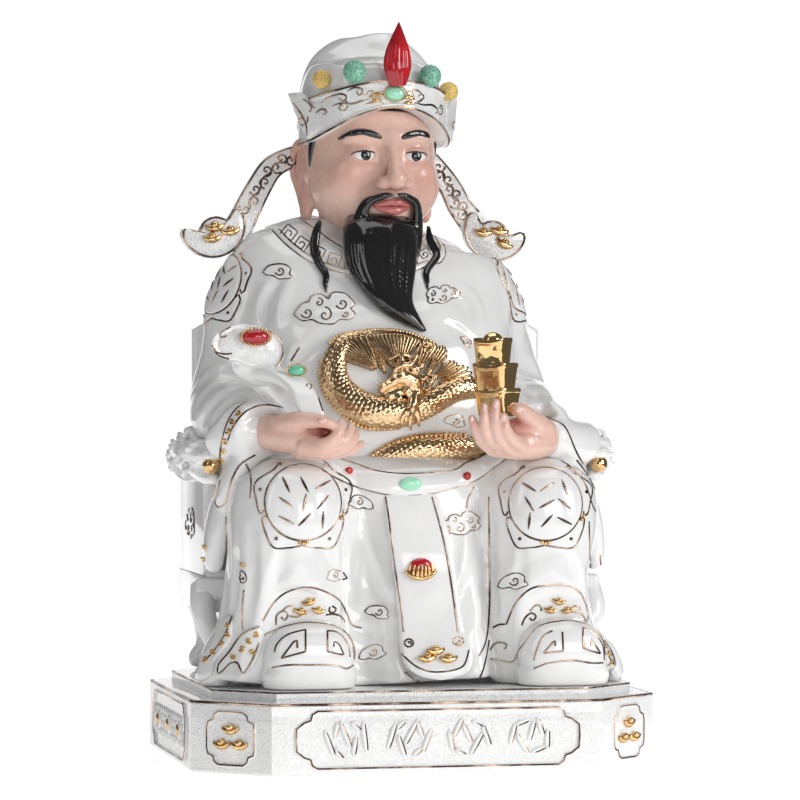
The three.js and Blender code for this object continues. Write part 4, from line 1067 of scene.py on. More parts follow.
def head():
    """Skull, cheeks, jaw, nose, lids and ears on regular proportions, with a calm closed mouth."""
    field = Field([-50, -58, -52], [50, 46, 54], 0.92, band=8)
    field.add_ball((0, 1, 4), (38.5, 40.5, 46))
    field.add_ball((0, -6, -22), (32, 31, 27), 6)
    field.add_ball((0, -16, -27), (21, 24.5, 17), 6)
    field.add_ball((0, -20, -41), (14, 16.5, 9.5), 6)
    for side in BOTH:
        field.add_ball((side * 20, -11, -15), (18.2, 20.5, 19), 6)
        field.add_ball((side * 21, -26, -9), (9, 8, 8), 6)
        field.add_ball((side * 13, -32.5, BROW_Z + 1), (13, 6.5, 5), 5)
        field.cut_ball((side * EYE_X, -44.5, EYE_Z + 1.5), (11, 7, 7.5), 6)
    field.add_strand([[0, -37, 12, 3], [0, -41.2, 4, 3.2], [0, -45, -4, 3.8], [0, -48.6, -12.5, 4.8]], 5)
    field.add_ball((0, -48.4, -14), (5.6, 5.6, 5), 3)
    for side in BOTH:
        field.add_ball((side * 6.6, -43.8, -15.2), (3.9, 5.2, 3.9), 3)
        field.cut_ball((side * 3.4, -47.4, NOSE_Z - 0.4), (1.7, 2.7, 1.5), 1)
        eye = (side * EYE_X, -29.6, EYE_Z)
        field.add_ball(eye, (9.8, 9.8, 8.6), 2.6)
        field.cut_ball((side * EYE_X, -40.0, EYE_Z - 0.3), (7.5, 5.2, 2.5), 0.7)
        crease = []
        for share in np.linspace(-1, 1, 13):
            x = 8.6 * share
            z = 5.2 - 3.6 * share**2
            crease.append([side * EYE_X + x, lid_front(x, z), EYE_Z + z, 0.55])
        field.cut_strand(crease, 1.2)
    field.cut_strand([[0, -42.6, -20.5, 1.2], [0, -42.8, -25, 1.4]], 2.5)
    field.cut_strand([[-7, -38.5, -37, 1.2], [0, -40.6, -37.4, 2], [7, -38.5, -37, 1.2]], 4)
    for side in BOTH:
        field.cut_ball((side * 13.2, -40.2, MOUTH_Z + 0.8), (1.3, 1.6, 1.6), 2.5)
        ear(field, side)
    neck = [[1, 6, -58, 30, 25], [0, 4, -30, 27, 26]]
    field.add(loft(neck), 4)
    z = field.everywhere()[2]
    field.keep(np.maximum(z - HEAD_TOP, HEAD_FOOT - z))
    return field


def ear(field, side):
    """Shell, lobe, rolled rim, inner fold and the flap before the opening."""
    x = side * 37
    field.add_ball((side * 36.2, 9, -9), (4.2, 9.5, 17), 3)
    field.add_ball((side * 36.8, 5, -28), (3.6, 5.6, 8.2), 3.5)
    rim = [
        [x - side * 1.5, -1, -6, 1.4], [x + side * 0.8, -1.5, 2, 1.8], [x + side * 1.8, 4, 9.6, 2.1],
        [x + side * 2.8, 12, 9.4, 2.3], [x + side * 3.6, 18.5, 2, 2.3], [x + side * 3.2, 18, -8, 2.2],
        [x + side * 2, 13, -17, 2.1], [x + side * 1, 9, -25, 2.2],
    ]
    field.add_strand(resampled(rim, 2), 1.2)
    field.cut_ball((side * 41.6, 8, -1), (3.6, 6.6, 7.6), 1.6)
    field.cut_ball((side * 41, 5.6, -12), (2.9, 4.4, 6), 1.8)
    inner = [[x + side * 1.8, 12, 5, 1.2], [x + side * 2, 12.5, -4, 1.5], [x + side * 1.2, 9, -13, 1.4]]
    field.add_strand(resampled(inner, 2), 1.2)
    field.add_ball((side * 38.2, -0.6, -9), (2.2, 2.2, 3.6), 1.6)


def blush_and_shade(points):
    """How red the skin is: cheeks, nose, ears and lids."""
    x, y, z = np.abs(points[:, 0]), points[:, 1], points[:, 2]
    red = 0.30 * np.exp(-(((x - 23) / 11) ** 2) - ((z + 12) / 9) ** 2) * (y < -8)
    red += 0.22 * np.exp(-((x / 8) ** 2) - ((z + 16) / 4.5) ** 2 - ((y + 48) / 7) ** 2)
    red += 0.30 * np.exp(-(((x - EYE_X) / 10) ** 2) - ((z - 5.5) / 2.4) ** 2) * (y < -25)
    red += 0.30 * np.exp(-(((x - EYE_X) / 9) ** 2) - ((z + 3.6) / 1.6) ** 2) * (y < -25)
    red += 0.2 * np.clip((x - 35) / 3, 0, 1) * np.clip((y + 4) / 4, 0, 1)
    return red


def painted(made, values):
    """Keeps a number for each vertex. The skin's look reads it as blush and as painted shade in the grips'
    hollows; the dragon's gold reads it as painted shade where its relief sinks.
    """
    layer = made.data.attributes.new("blush_and_shade", "FLOAT", "POINT")
    layer.data.foreach_set("value", np.asarray(values, np.float32))


LIP_VOXEL = 0.52


def lip_meshes():
    """A bow for the upper lip and a fuller lower one, closed."""
    upper = Field([-16, -48, -36], [16, -34, -20], LIP_VOXEL)
    for side in BOTH:
        bow = [
            [side * 12.2, -38.6, MOUTH_Z + 1.0, 0.5], [side * 8.5, -41.0, MOUTH_Z + 1.1, 1.3],
            [side * 4.5, -42.7, MOUTH_Z + 2.0, 1.9], [side * 1.8, -43.3, MOUTH_Z + 2.3, 1.9],
            [0, -43.2, MOUTH_Z + 1.8, 1.8],
        ]
        upper.add_strand(resampled(bow, 1), 0.5)
    lower = Field([-16, -48, -40], [16, -34, -24], LIP_VOXEL)
    rows = [
        [-11.4, -38.9, MOUTH_Z + 0.2, 0.6], [-6.5, -41.6, MOUTH_Z - 1.5, 1.8],
        [0, -42.5, MOUTH_Z - 2.3, 2.5], [6.5, -41.6, MOUTH_Z - 1.5, 1.8],
        [11.4, -38.9, MOUTH_Z + 0.2, 0.6],
    ]
    lower.add_strand(resampled(rows, 1), 0.5)
    return together([upper.mesh(), lower.mesh()])


def eye_meshes():
    """The eyes' balls, irises and the dark edge of the upper lids."""
    white, iris, lash = [], [], []
    for side in BOTH:
        white.append(ellipsoid((side * EYE_X, -29.5, EYE_Z), (9.1, 9.1, 8.2), 48, 32))
        iris.append(ellipsoid((side * EYE_X + 0.3, -38.0, EYE_Z - 0.1), (3.1, 1.0, 3.1), 32, 16))
        edge = []
        for share in np.linspace(-1, 1, 25):
            x = 7.9 * share
            z = 2.55 * math.sqrt(max(1 - share**2, 0)) - 0.3
            edge.append([side * EYE_X + x, lid_front(x, z) + 0.1, EYE_Z + z])
        lash.append(pipe(edge, 0.42 * np.sin(np.linspace(0.25, np.pi - 0.25, 25)) + 0.14))
    return together(white), together(iris), together(lash)


def brow_mesh(canvas):
    """Two strands for each brow, laid on the head."""
    field = Field([-34, -54, 4], [34, -14, 22], 0.6)
    for side in BOTH:
        rows = [[6.2, 0.4, 0.9], [11, 2.2, 1.8], [17.5, 3.4, 1.9], [23.5, 2.4, 1.5], [28.5, -0.6, 0.5]]
        for lift, share in ((0.5, 1.0), (-0.6, 0.75)):
            path = []
            for x, z, r in rows:
                high = BROW_Z + z + lift
                place, _, _ = canvas.hit((side * x, -200, high), (0, 1, 0))
                path.append([side * x, place[1] + 0.35 * r, high, r * share])
            field.add_strand(resampled(path, 1.2), 0.5)
    return field.mesh()


head_mesh = head().mesh()
made = piece("head", in_head(head_mesh), skin_tone)
painted(made, blush_and_shade(head_mesh[0]))
lip_look = glaze("lip_glaze", (0.55, 0.17, 0.15), (0.48, 0.13, 0.12), 0.16)
piece("lips", in_head(lip_meshes()), lip_look)
eye_whites, irises, lashes = eye_meshes()
piece("eyes", in_head(eye_whites), white_look)
piece("irises", in_head(irises), black_look)
piece("lashes", in_head(lashes), black_look)
piece("brows", in_head(brow_mesh(Canvas([head_mesh]))), black_look)


# Hair and beard

# Rows x, y, z, half width and half depth, from the chin down
BEARD = [
    [-10, 4, 268, 13, 5], [-10, 0, 261, 19, 9], [-11, -8, 252, 22, 12], [-12, -18, 234, 20, 10],
    [-8, -27, 216, 11.5, 7], [0, -32, 206, 6.4, 4.8], [9, -34.5, 198, 1.4, 1.4],
]
BEARD_STRANDS = 17
# Locks before the ears: rows u, v, radius over the chest
SIDE_LOCKS = [
    [
        (319.6, 221, 1.6), (316, 234, 2.6), (314.5, 249, 2.7), (319, 263, 2.5), (326, 275, 2.2),
        (325, 285, 1.7), (328.8, 299, 0.6),
    ],
    [
        (428.4, 226, 1.4), (430, 240, 2.3), (436.5, 255, 2.5), (427, 270, 2.2), (427, 281, 1.7),
        (428.5, 296, 0.6),
    ],
]


def lock_path(rows):
    """A lock's path: down the chest, and never further back than its upper end allows."""
    path = []
    for i, (u, v, r) in enumerate(rows):
        hit = robe_canvas.hit(*front_ray(u, v))
        depth = min(hit[0][1] - 0.6 * r if hit else 4, 4 - 2.5 * i)
        path.append([*pixel(u, v, depth), r])
    return path


def strand_on_beard(angle, sway, radius):
    """A strand down the beard at an angle around it, thinner towards its end."""
    path = []
    for t in np.linspace(0, 1, 22):
        x, y, z, w, d = catmull(BEARD, t)[0]
        turn = angle + sway * math.sin(3.4 * t + 4 * angle)
        place = [x + 0.9 * w * math.cos(turn), y - 0.9 * d * math.sin(turn), z]
        path.append([*place, radius * (1 - 0.72 * t**2)])
    return path


def beard():
    """The wedge under the chin, three strands at each side of the mouth and the side locks."""
    field = Field([-52, -48, 190], [34, 26, 292], 1.0)
    field.add(loft(BEARD, grow=-0.8, domed=(0.15, 0.1)))
    for i, angle in enumerate(np.linspace(-0.25, math.pi + 0.25, BEARD_STRANDS)):
        field.add_strand(strand_on_beard(angle, 0.12, 2.5 if i % 2 else 2.0), 0.7)
    for side in BOTH:
        for shift in (0, 1, 2):
            rows = [
                [side * 1.6, -45.4, -21.4 - 0.3 * shift, 1.0],
                [side * (7 + 0.4 * shift), -44.6 + 0.5 * shift, -22.4 - 0.6 * shift, 1.9],
                [side * (13.4 + 0.9 * shift), -41 + 1.0 * shift, -26.2 + 0.3 * shift, 2.1],
                [side * (16 + 1.4 * shift), -37 + 1.4 * shift, -34, 2.3],
                [side * (16.4 + 1.5 * shift), -36 + 1.8 * shift, -43, 2.3],
                [side * (14.5 + 1.5 * shift), -39.5 + 2 * shift, -53, 1.9],
                [side * (10 + 1.8 * shift), -45 + 2 * shift, -65, 0.7],
            ]
            field.add_strand(resampled([from_head(row) for row in rows], 2), 0.6)
    for lock in SIDE_LOCKS:
        path = lock_path(lock)
        for shift in (-0.35, 0.35):
            rows = [[x + shift * r, y - 0.2 * shift * r, z, r * 0.75] for x, y, z, r in path]
            field.add_strand(resampled(rows, 1.8), 0.5)
    return field.mesh()


HAIR_FRONT = 21
HAIR_FOOT = -32


def hair():
    """Black hair under the hat: the nape, and a sideburn before each ear."""
    field = Field([-46, -20, -40], [46, 46, 22], 1.25)
    field.add_ball((0, 2, 4), (39.3, 41, 46.5))
    _, y, z = field.everywhere()
    field.keep(HAIR_FRONT - y - 0.15 * (z + 10))
    field.keep(HAIR_FOOT - z)
    for side in BOTH:
        burn = [
            [side * 34.6, -9, 16, 4.4], [side * 35.6, -6.6, 6, 3.8],
            [side * 36.2, -4.8, -3, 2.6], [side * 36.4, -4, -9, 0.8],
        ]
        field.add_strand(resampled(burn, 2), 1)
    return field.mesh()


piece("beard", beard(), black_look)
piece("hair", in_head(hair()), black_look)


# Hat

HAT = {"x": -7, "y": 33, "w": 41, "d": 43}


def hat_point(angle, outward, z):
    """A point at an angle around the hat, so far out of its oval."""
    c, s = math.cos(angle + HEAD_TURN), math.sin(angle + HEAD_TURN)
    return [HAT["x"] + (HAT["w"] + outward) * c, HAT["y"] + (HAT["d"] + outward) * s, z]


def band_edges(angle):
    """The heights of the band's edges, which rise to the front."""
    front = max(0.0, -math.sin(angle)) ** 2
    return 306 + 20 * front, 333 + 9 * front


def on_band(angle, share, out=2.9):
    """A point of the hat's band and its normal: share 0 at the lower edge, 1 at the upper."""
    low, high = band_edges(angle)
    normal = unit([math.cos(angle + HEAD_TURN), math.sin(angle + HEAD_TURN), 0])
    return np.array(hat_point(angle, out, low + share * (high - low))), normal


def turned(x, y, *rest):
    """A point of the hat's own frame in figure millimetres."""
    c, s = math.cos(HEAD_TURN), math.sin(HEAD_TURN)
    return [HAT["x"] + x * c - y * s, HAT["y"] + x * s + y * c, *rest]


def band():
    """The hat's band with a rim along each edge."""
    rings = []
    for angle in circle(144):
        low, high = band_edges(angle)
        section = [(-1, low), (2.2, low), (3.4, low + 0.8), (3.4, low + 2.2), (2.6, low + 2.9)]
        section += [(2.6, high - 2.9), (3.4, high - 2.2), (3.4, high - 0.8), (2.2, high)]
        section += [(-6, high), (-6, low)]
        rings.append([hat_point(angle, out, z) for out, z in section])
    return skin(np.array(rings), closed=True)


# Rows x, y, z, half width and half depth of the low front and of the dome behind it
CROWN = [
    [-8, 34, 312, 38, 40], [-8, 33, 334, 41, 42], [-9, 29, 347, 38, 38], [-9, 28, 354, 30, 30],
    [-9, 28, 356.5, 12, 12],
]
LOBE = [
    [-7, 46, 320, 41, 30], [-6, 48, 340, 41, 29], [-4, 47, 358, 34, 25], [-3, 45, 369, 20, 16],
    [-3, 45, 372, 7, 7],
]
HAT_FOOT = 308
HAT_RISE = 22  # how much higher its foot is at the front


def hat():
    """Crown and dome, with a seam between them, a pleat at each side and a cut for the brow."""
    field = Field([-56, -16, 308], [42, 84, 376], 1.3)
    field.add(loft(CROWN, sides=96))
    field.add(loft(LOBE, sides=96), 1.6)
    seam = [[-14, 2, 356.5, 1], [-13, -6, 352, 1.1], [-12, -9.5, 346, 0.9]]
    field.add_strand(resampled(seam, 2), 2)
    for side in BOTH:
        pleat = [(side * 34, -10, 330, 0.8), (side * 33, -2, 345, 1.1), (side * 22, 6, 354, 0.8)]
        field.cut_strand(resampled([turned(*row) for row in pleat], 2), 3)
    x, y, z = field.everywhere()
    front = -np.sin(np.arctan2(y - HAT["y"], x - HAT["x"]) - HEAD_TURN)
    field.keep(HAT_FOOT + HAT_RISE * np.maximum(front, 0) ** 2 - z)
    return field.mesh(2)


# A tab at each side of the hat: x, y, z in the hat's own frame
TAB = [
    (-51, 1, 336), (-45, -8, 335.5), (-39.5, -16, 326), (-33.5, -24, 334), (-30.5, -27, 329),
    (-34.5, -23, 319), (-42.5, -13, 309), (-47, -6, 320),
]


# A tab's section: depth, share of its outline
TAB_RINGS = [(-1.5, 0.3), (-1.5, 0.97), (-0.6, 1), (1.4, 1), (2.2, 0.96), (2.2, 0.6), (2.2, 0.1)]


def hat_points():
    """The bevelled tabs that stand up at both sides of the hat's band."""
    made = []
    for side in BOTH:
        rows = resampled([(side * -x, y, z) for x, y, z in TAB + TAB[:1]], 1.2)[:-1]
        way = unit([side * 0.78, -0.62, 0.0])
        middle = rows.mean(0)
        rings = []
        for depth, share in TAB_RINGS:
            ring = middle + share * (rows - middle) + depth * way
            rings.append([turned(*place) for place in ring])
        made.append(skin(np.array(rings)))
    return together(made)


def jewel(centre, radii, sides=32, rings=16):
    return ellipsoid(centre, radii, sides, rings)


# Rows x, y, z, half width and half depth
PLUME = [
    [-2, -14.5, 338.5, 4.8, 3.4], [-2.3, -15.5, 345, 7.0, 5], [-2.4, -15.6, 351, 7.9, 5.5],
    [-2.0, -15, 359, 6.6, 4.6], [-1.5, -14, 367.5, 3.5, 2.5], [-1, -13, 375, 0.3, 0.3],
]


def plume_ridges(angle, t):
    """Ridges that sway up the flame and fade at both ends."""
    ridge = np.abs(np.sin(7 * angle + 1.1 * np.sin(3 * t)))
    return 0.085 * ridge * np.sin(np.pi * t) ** 0.4 - 0.04


def plume():
    return loft(PLUME, sides=112, rings=44, ripple=plume_ridges)


# Place, radius, look and slot of each ball
POMPOMS = {
    "pompom_green_left": ((-26.5, -11, 346.5), 6.9, pompom_green, "green_glaze"),
    "pompom_green_right": ((18.9, -5, 345), 6.9, pompom_green, "green_glaze"),
    "pompom_yellow_left": ((-42.4, 6, 343), 5.66, pompom_yellow, "yellow_glaze"),
    "pompom_yellow_right": ((33.6, 12, 337.5), 5.93, pompom_yellow, "yellow_glaze"),
}


KNOTS = 130


def crumbed(centre, radius, seed):
    """A ball beaded all over with small knots on a sunflower spiral."""
    points, quads, triangles = ellipsoid((0, 0, 0), (1, 1, 1), 56, 30)
    k = np.arange(KNOTS) + 0.5
    polar = np.arccos(1 - 2 * k / KNOTS)
    turn = np.pi * (1 + 5**0.5) * k + seed
    knots = np.stack([np.cos(turn) * np.sin(polar), np.sin(turn) * np.sin(polar), np.cos(polar)], 1)
    gap = np.sqrt(np.maximum(2 - 2 * unit(points) @ knots.T, 0)).min(1)
    reach = radius * (0.93 + 0.07 * np.cos(np.clip(gap / 0.2, 0, 1) * np.pi))
    return unit(points) * reach[:, None] + np.asarray(centre, float), quads, triangles


piece("hat_band", band(), stippled_look, sharp=40)
piece("hat_crown", hat(), white_look)
piece("hat_points", hat_points(), stippled_look, sharp=60)
piece("hat_jewel", jewel((-3.5, -12.6, 334), (6.2, 3, 4.2)), mint_look)
piece("flame", plume(), flame_tone, replaces=["flame_plume"])
for i, (name, (place, radius, look, slot)) in enumerate(POMPOMS.items()):
    piece(name + "_ball", crumbed(place, radius, i), look, replaces=[name])


# Hands, each drawn over the photo's pixels: rows u, v, depth y, radius


def in_photo(rows):
    """Rows u, v, depth y and more, with their places in figure millimetres."""
    return [[*pixel(u, v, y), *rest] for u, v, y, *rest in rows]


LEFT_PALM = [
    (254, 432, -44, 9.2), (266, 432, -54, 9.6), (280, 434, -63, 10.2), (294, 437, -70, 9.6),
    (306, 442, -75, 7.6),
]
LEFT_THUMB = [
    (282, 424, -70, 5.6), (296, 421, -78, 5.2), (312, 420.5, -84, 4.4), (323, 421.5, -87, 3.6),
    (331, 424.5, -87.5, 2.9),
]
LEFT_FINGERS = [
    [
        (306, 440, -79, 4.2), (322, 444.5, -87, 3.8), (334.5, 438, -89, 3.3), (340.5, 428.5, -87, 2.7),
        (341.5, 421.5, -84, 2.1),
    ],
    [
        (304, 445, -80, 4.2), (324, 448.5, -87, 3.8), (342, 442.5, -87, 3.3), (349.5, 432.5, -84, 2.7),
        (351, 425, -80, 2.1),
    ],
    [
        (302, 449, -78, 4.2), (326, 452, -84, 3.7), (346, 447.5, -84, 3.2), (354.5, 439, -81, 2.7),
        (356.5, 432.5, -77, 2.1),
    ],
    [
        (299, 452, -74, 4.0), (324, 454, -79, 3.5), (346, 452, -80, 3.0), (356.5, 447.5, -77, 2.6),
        (362, 443.5, -74, 2.0),
    ],
]
RIGHT_PALM = [
    (556, 437, -50, 9.6), (544, 438, -64, 10.6), (530, 442.5, -75, 9.8), (513, 445, -80, 8.2),
    (499, 446, -80, 6.6),
]
RIGHT_THUMB = [(543, 431, -72, 7.6), (532.5, 421, -80, 6.2), (524, 413, -87, 4.8), (517.5, 408.5, -90, 3.5)]
RIGHT_FINGERS = [
    [(493, 450, -80, 3.9), (481.5, 441, -87, 3.3), (475.5, 429, -90, 2.9), (472, 418.5, -90, 2.3)],
    [(500, 448, -84, 3.8), (488, 438, -91, 3.1), (483.8, 423, -94, 2.7), (484.6, 406, -93, 2.1)],
    [(508, 448, -85, 4.0), (498.5, 438, -92, 3.4), (494.8, 421, -95, 3.1), (496.2, 402.5, -94, 2.4)],
    [(521, 446, -84, 4.6), (511, 438.5, -91, 3.9), (505.2, 429, -95, 3.5), (503.5, 417, -94, 2.7)],
]
# Nails: u, v, y, half width, half height
NAILS = [
    (322.5, 420.8, -90.3, 2.6, 1.7), (471.8, 419, -92.1, 1.4, 2.0), (484.6, 407.8, -95.1, 1.5, 2.5),
    (496.2, 404.6, -96.6, 1.8, 2.6), (503.5, 418.4, -97.0, 2.0, 2.6), (518.6, 409.6, -93.6, 2.1, 1.8),
]


HAND_VOXEL = 0.78


def hand(low, high, palm, thumb, fingers, grip):
    """Palm, fingers and thumb round a ball in the grip."""
    field = Field(low, high, HAND_VOXEL, band=8)
    field.add_strand(resampled(in_photo(palm), 3))
    u, v, y, r = grip
    field.add_ball(pixel(u, v, y), (r * 1.4, r * 0.8, r), 1)
    for finger in fingers:
        field.add_strand(resampled(in_photo(finger), 1.2), 0.8)
    field.add_strand(resampled(in_photo(thumb), 1.5), 2.2)
    return field.mesh()


def nails():
    return together([ellipsoid(pixel(u, v, y), (w, 1.0, h), 24, 16) for u, v, y, w, h in NAILS])


LEFT_GRIP = (325, 433, -77, 6.6)
RIGHT_GRIP = (517, 428, -80, 6)
left_hand = hand((-104, -104, 112), (-20, -30, 168), LEFT_PALM, LEFT_THUMB, LEFT_FINGERS, LEFT_GRIP)
right_hand = hand((14, -106, 108), (90, -36, 172), RIGHT_PALM, RIGHT_THUMB, RIGHT_FINGERS, RIGHT_GRIP)


def palm_blush_and_shade(points):
    """Painted shade, deep red to near black, in the hollows of the grip, and a little red blush at the
    finger tips.
    """
    red = np.zeros(len(points))
    # Painted shade in the hollow of each grip.
    for u, v, y, reach in ((324, 432.5, -79, 7.5), (518, 426, -81, 6)):
        gap = np.linalg.norm(points - pixel(u, v, y), axis=1)
        red = np.maximum(red, 1.1 * np.exp(-((gap / reach) ** 2)))
    for u, v, y, _, _ in NAILS:
        gap = np.linalg.norm(points - pixel(u, v, y), axis=1)
        red = np.maximum(red, 0.3 * np.exp(-((gap / 4.5) ** 2)))
    return red


for name, mesh in (("hand_left", left_hand), ("hand_right", right_hand)):
    painted(piece(name, mesh, skin_tone), palm_blush_and_shade(mesh[0]))
nail_look = glaze("nail_glaze", (0.80, 0.56, 0.50), (0.74, 0.48, 0.43), 0.14)
piece("nails", nails(), nail_look)


# Sceptre

RUYI_CENTRE = (249, 346)
RUYI_DEPTH = -50.0
RUYI_EDGE = [
    (226, 329), (231, 325.5), (239.5, 324), (249, 324.6), (259, 326.4), (268, 329.4), (275.7, 334),
    (281, 340), (284, 347), (284.4, 354), (282.2, 361.5), (277, 367), (266, 368.8), (254, 367.8),
    (244, 364.6), (237, 361), (228.8, 360.6), (220.8, 357.4), (214.4, 352), (211, 344.5),
    (213.2, 336.6), (218.6, 331.6),
]
# Its section: share of the edge's outline, height over the plate
RUYI_SECTION = [
    (0.03, 4.4), (0.2, 4.3), (0.4, 3.8), (0.6, 2.9), (0.74, 1.7), (0.84, 0.6), (0.88, 0.9), (0.92, 2.0),
    (0.96, 2.4), (0.99, 1.6), (1.0, 0.4), (1.0, -2.2), (0.97, -4.4), (0.9, -6), (0.7, -7.5),
    (0.4, -8.5), (0.03, -9),
]
# Rows u, v, depth y, half width and half thickness, from the plate into the hand
RUYI_HANDLE = [
    (248, 370, -42, 4, 3), (262, 372.5, -47, 7, 4.2), (284, 377.5, -59, 7, 3.6), (298, 387, -69, 7, 3.2),
    (305.5, 399, -76, 6.8, 3), (312, 413, -79, 6.6, 3), (317, 428, -79, 5.4, 3),
]
RUYI_BACK_RIBS = [
    [(243, 366, -43, 6.2), (256, 374.5, -44, 6.4), (268, 376.5, -49, 5.4)],
    [(222, 345, -43, 5.6), (234, 352, -43, 6.2)],
]


def sceptre_head():
    """The lobed plate: domed, with a raised rim and a deep edge."""
    rim = resampled(RUYI_EDGE + RUYI_EDGE[:1], 1.2, False, 2)[:-1]
    centre = np.array(RUYI_CENTRE)
    rings = []
    for share, lift in RUYI_SECTION:
        rings.append([pixel(u, v, RUYI_DEPTH - lift) for u, v in centre + share * (rim - centre)])
    return skin(np.array(rings))


def sceptre():
    """The plate, two ribs on its back and the flat handle down into the hand."""
    field = Field([-122, -94, 126], [-36, -24, 212], 0.8, band=8)
    field.add(sceptre_head())
    for rows in RUYI_BACK_RIBS:
        field.add_strand(resampled(in_photo(rows), 1.5), 1.6)
    field.add(loft(in_photo(RUYI_HANDLE), power=5, domed=(0.1, 0.08)), 1.4)
    return field.mesh()


# Stones: place and radii
RUBY = (pixel(256, 337, -56.4), (7.4, 3.2, 4.0))
EMERALD = (pixel(296.5, 370.3, -65.5), (4.6, 2.6, 2.9))


def beads(centre, half_width, half_height, count, radius):
    """A beaded rim round a stone that faces the front."""
    made = []
    for angle in circle(count):
        place = np.array(centre, float) + [half_width * math.cos(angle), 0, half_height * math.sin(angle)]
        made.append(ellipsoid(place, (radius, radius, radius), 8, 5))
    return together(made)


piece("ruyi", sceptre(), white_look, replaces=["ruyi_sceptre"])
piece("ruyi_ruby", jewel(*RUBY), red_look)
piece("ruyi_emerald", jewel(*EMERALD), green_look)
ruyi_beads = [beads(RUBY[0], 8.3, 4.8, 26, 0.85), beads(EMERALD[0], 5.4, 3.4, 18, 0.7)]
piece("ruyi_beads", together(ruyi_beads), gold_look)


# Ingots

INGOT_LENGTH = 28
INGOT_HEIGHT = 0.53
INGOT_PLACE = (40, -80, 150)
# From the lowest ingot up: share of the length, turn in degrees, share of the height, shift across
INGOT_TIERS = [(1.02, -64, 0.98, 1.2), (0.95, -55, 1.04, 0), (0.8, -49, 1.24, -1.4)]
# Its section: share of the height, share of the width
INGOT_SECTION = [(t, 0.71 + 0.22 * (t / 0.8) ** 1.3) for t in np.linspace(0, 0.8, 14)]
INGOT_SECTION += [(0.82, 0.955), (0.85, 0.98), (0.89, 1.0), (0.94, 1.0), (0.98, 0.98), (1.0, 0.945)]
INGOT_SECTION += [(0.995, 0.9), (0.97, 0.86), (0.94, 0.8), (0.93, 0.55), (0.93, 0.2)]


def ingot(length, z, tall=1.0):
    """A boat-shaped ingot: flared sides, steep blunt ends, a thick rolled rim and raised corners."""
    half, wide, high = 0.46 * length, 0.27 * length, INGOT_HEIGHT * length * tall
    angle = circle(104)
    c, s = np.cos(angle), np.sin(angle)
    x, y = np.sign(c) * np.abs(c) ** 0.26, np.sign(s) * np.abs(s) ** 0.26
    rise = 0.07 * length * np.abs(x) ** 2.4
    rings = []
    for t, reach in INGOT_SECTION:
        raised = np.clip((t - 0.1) / 0.7, 0, 1) ** 1.5
        level = z + high * t + rise * raised * min(1, reach / 0.86) - 0.035 * length * t
        rings.append(np.stack([x * half * (1 - 0.35 * (1 - reach)), y * wide * reach, level], 1))
    return skin(np.array(rings))


def ingot_tower():
    """The ingots on each other, with a dome on the last."""
    made = []
    z = 0.0
    for share, turn, tall, shift in INGOT_TIERS:
        place = (INGOT_PLACE[0] + shift, *INGOT_PLACE[1:])
        made.append(moved(ingot(INGOT_LENGTH * share, z, tall), math.radians(turn), place))
        z += INGOT_LENGTH * share * INGOT_HEIGHT * tall - 0.6
    radius = INGOT_LENGTH * 0.19
    dome = ellipsoid((0, 0, z - 0.15 * radius), (radius * 1.15, radius, radius), 40, 24)
    return together(made + [moved(dome, 0, place)])


piece("ingots", ingot_tower(), mirror_look, sharp=50, replaces=["ingot_stack"])


def small_ingot(centre, length, normal=(0, -1, 0), lean=0.0):
    """A little relief ingot lying on a face."""
    normal = unit(normal)
    across = unit(np.cross(normal, [0, 0, 1]))
    across = -across if across[0] < 0 else across
    up = np.cross(across, -normal) if np.cross(across, -normal)[2] > 0 else np.cross(normal, -across)
    c, s = math.cos(lean), math.sin(lean)
    across, up = c * across + s * up, c * up - s * across
    rings = []
    for t in np.linspace(-1, 1, 15):
        lift = 0.30 * abs(t) ** 2.2
        wide = 0.46 - 0.2 * t * t
        ring = []
        for angle in circle(12):
            ring.append([t, lift + wide * 0.86 * math.sin(angle), wide * 0.9 * math.cos(angle)])
        rings.append(ring)
    body = skin(np.array(rings) * [0.5, 0.5, 0.5])
    bump = ellipsoid((0, 0.2, 0.05), (0.22, 0.19, 0.24), 12, 8)
    points, quads, triangles = together([body, bump])
    basis = np.stack([across, up, normal])
    return points * length @ basis + np.asarray(centre, float), quads, triangles


# Hat wings

# The ribbon's middle line, how much of it the gold lines follow, and the plaque's middle and tilt
WINGS = {
    "hat_wing_left": {
        "ribbon": [
            [-46, 44, 302], [-56, 43, 299], [-66, 41, 293], [-74, 39, 281], [-81, 37, 268],
            [-87, 36, 256],
        ],
        "lined": 0.88,
        "plaque": [-100.5, 35, 257],
        "tilt": -0.38,
    },
    "hat_wing_right": {
        "ribbon": [
            [30, 50, 300], [36, 50, 293], [43, 49, 283], [48, 48, 273], [54, 48, 265],
            [60, 48, 257],
        ],
        "lined": 0.8,
        "plaque": [68.5, 48, 256.5],
        "tilt": 0.38,
    },
}


PLAQUE_DEPTH = 7.0
HULL_STEPS = 24
# From one face to the other: share of the depth, share of the outline
PLAQUE_SECTION = [(-0.5, 0.94), (-0.42, 0.985), (-0.3, 1.0), (0.3, 1.0), (0.42, 0.985), (0.5, 0.94)]


def boat_outline():
    """A hull below, with two horns above and a dome between them."""
    rows = []
    for i in range(HULL_STEPS + 1):
        angle = math.pi * i / HULL_STEPS
        rows.append([19.8 * math.cos(angle), 2.6 - 19.0 * math.sin(angle)])
    left = [[-19.3, 5.4], [-17.4, 7.4], [-14.6, 6.6], [-11.8, 3.8], [-9, 2.9], [-7.4, 4.6], [-4.4, 6.9]]
    right = [[-x, y] for x, y in reversed(left)]
    return rows + left + [[0, 7.8]] + right


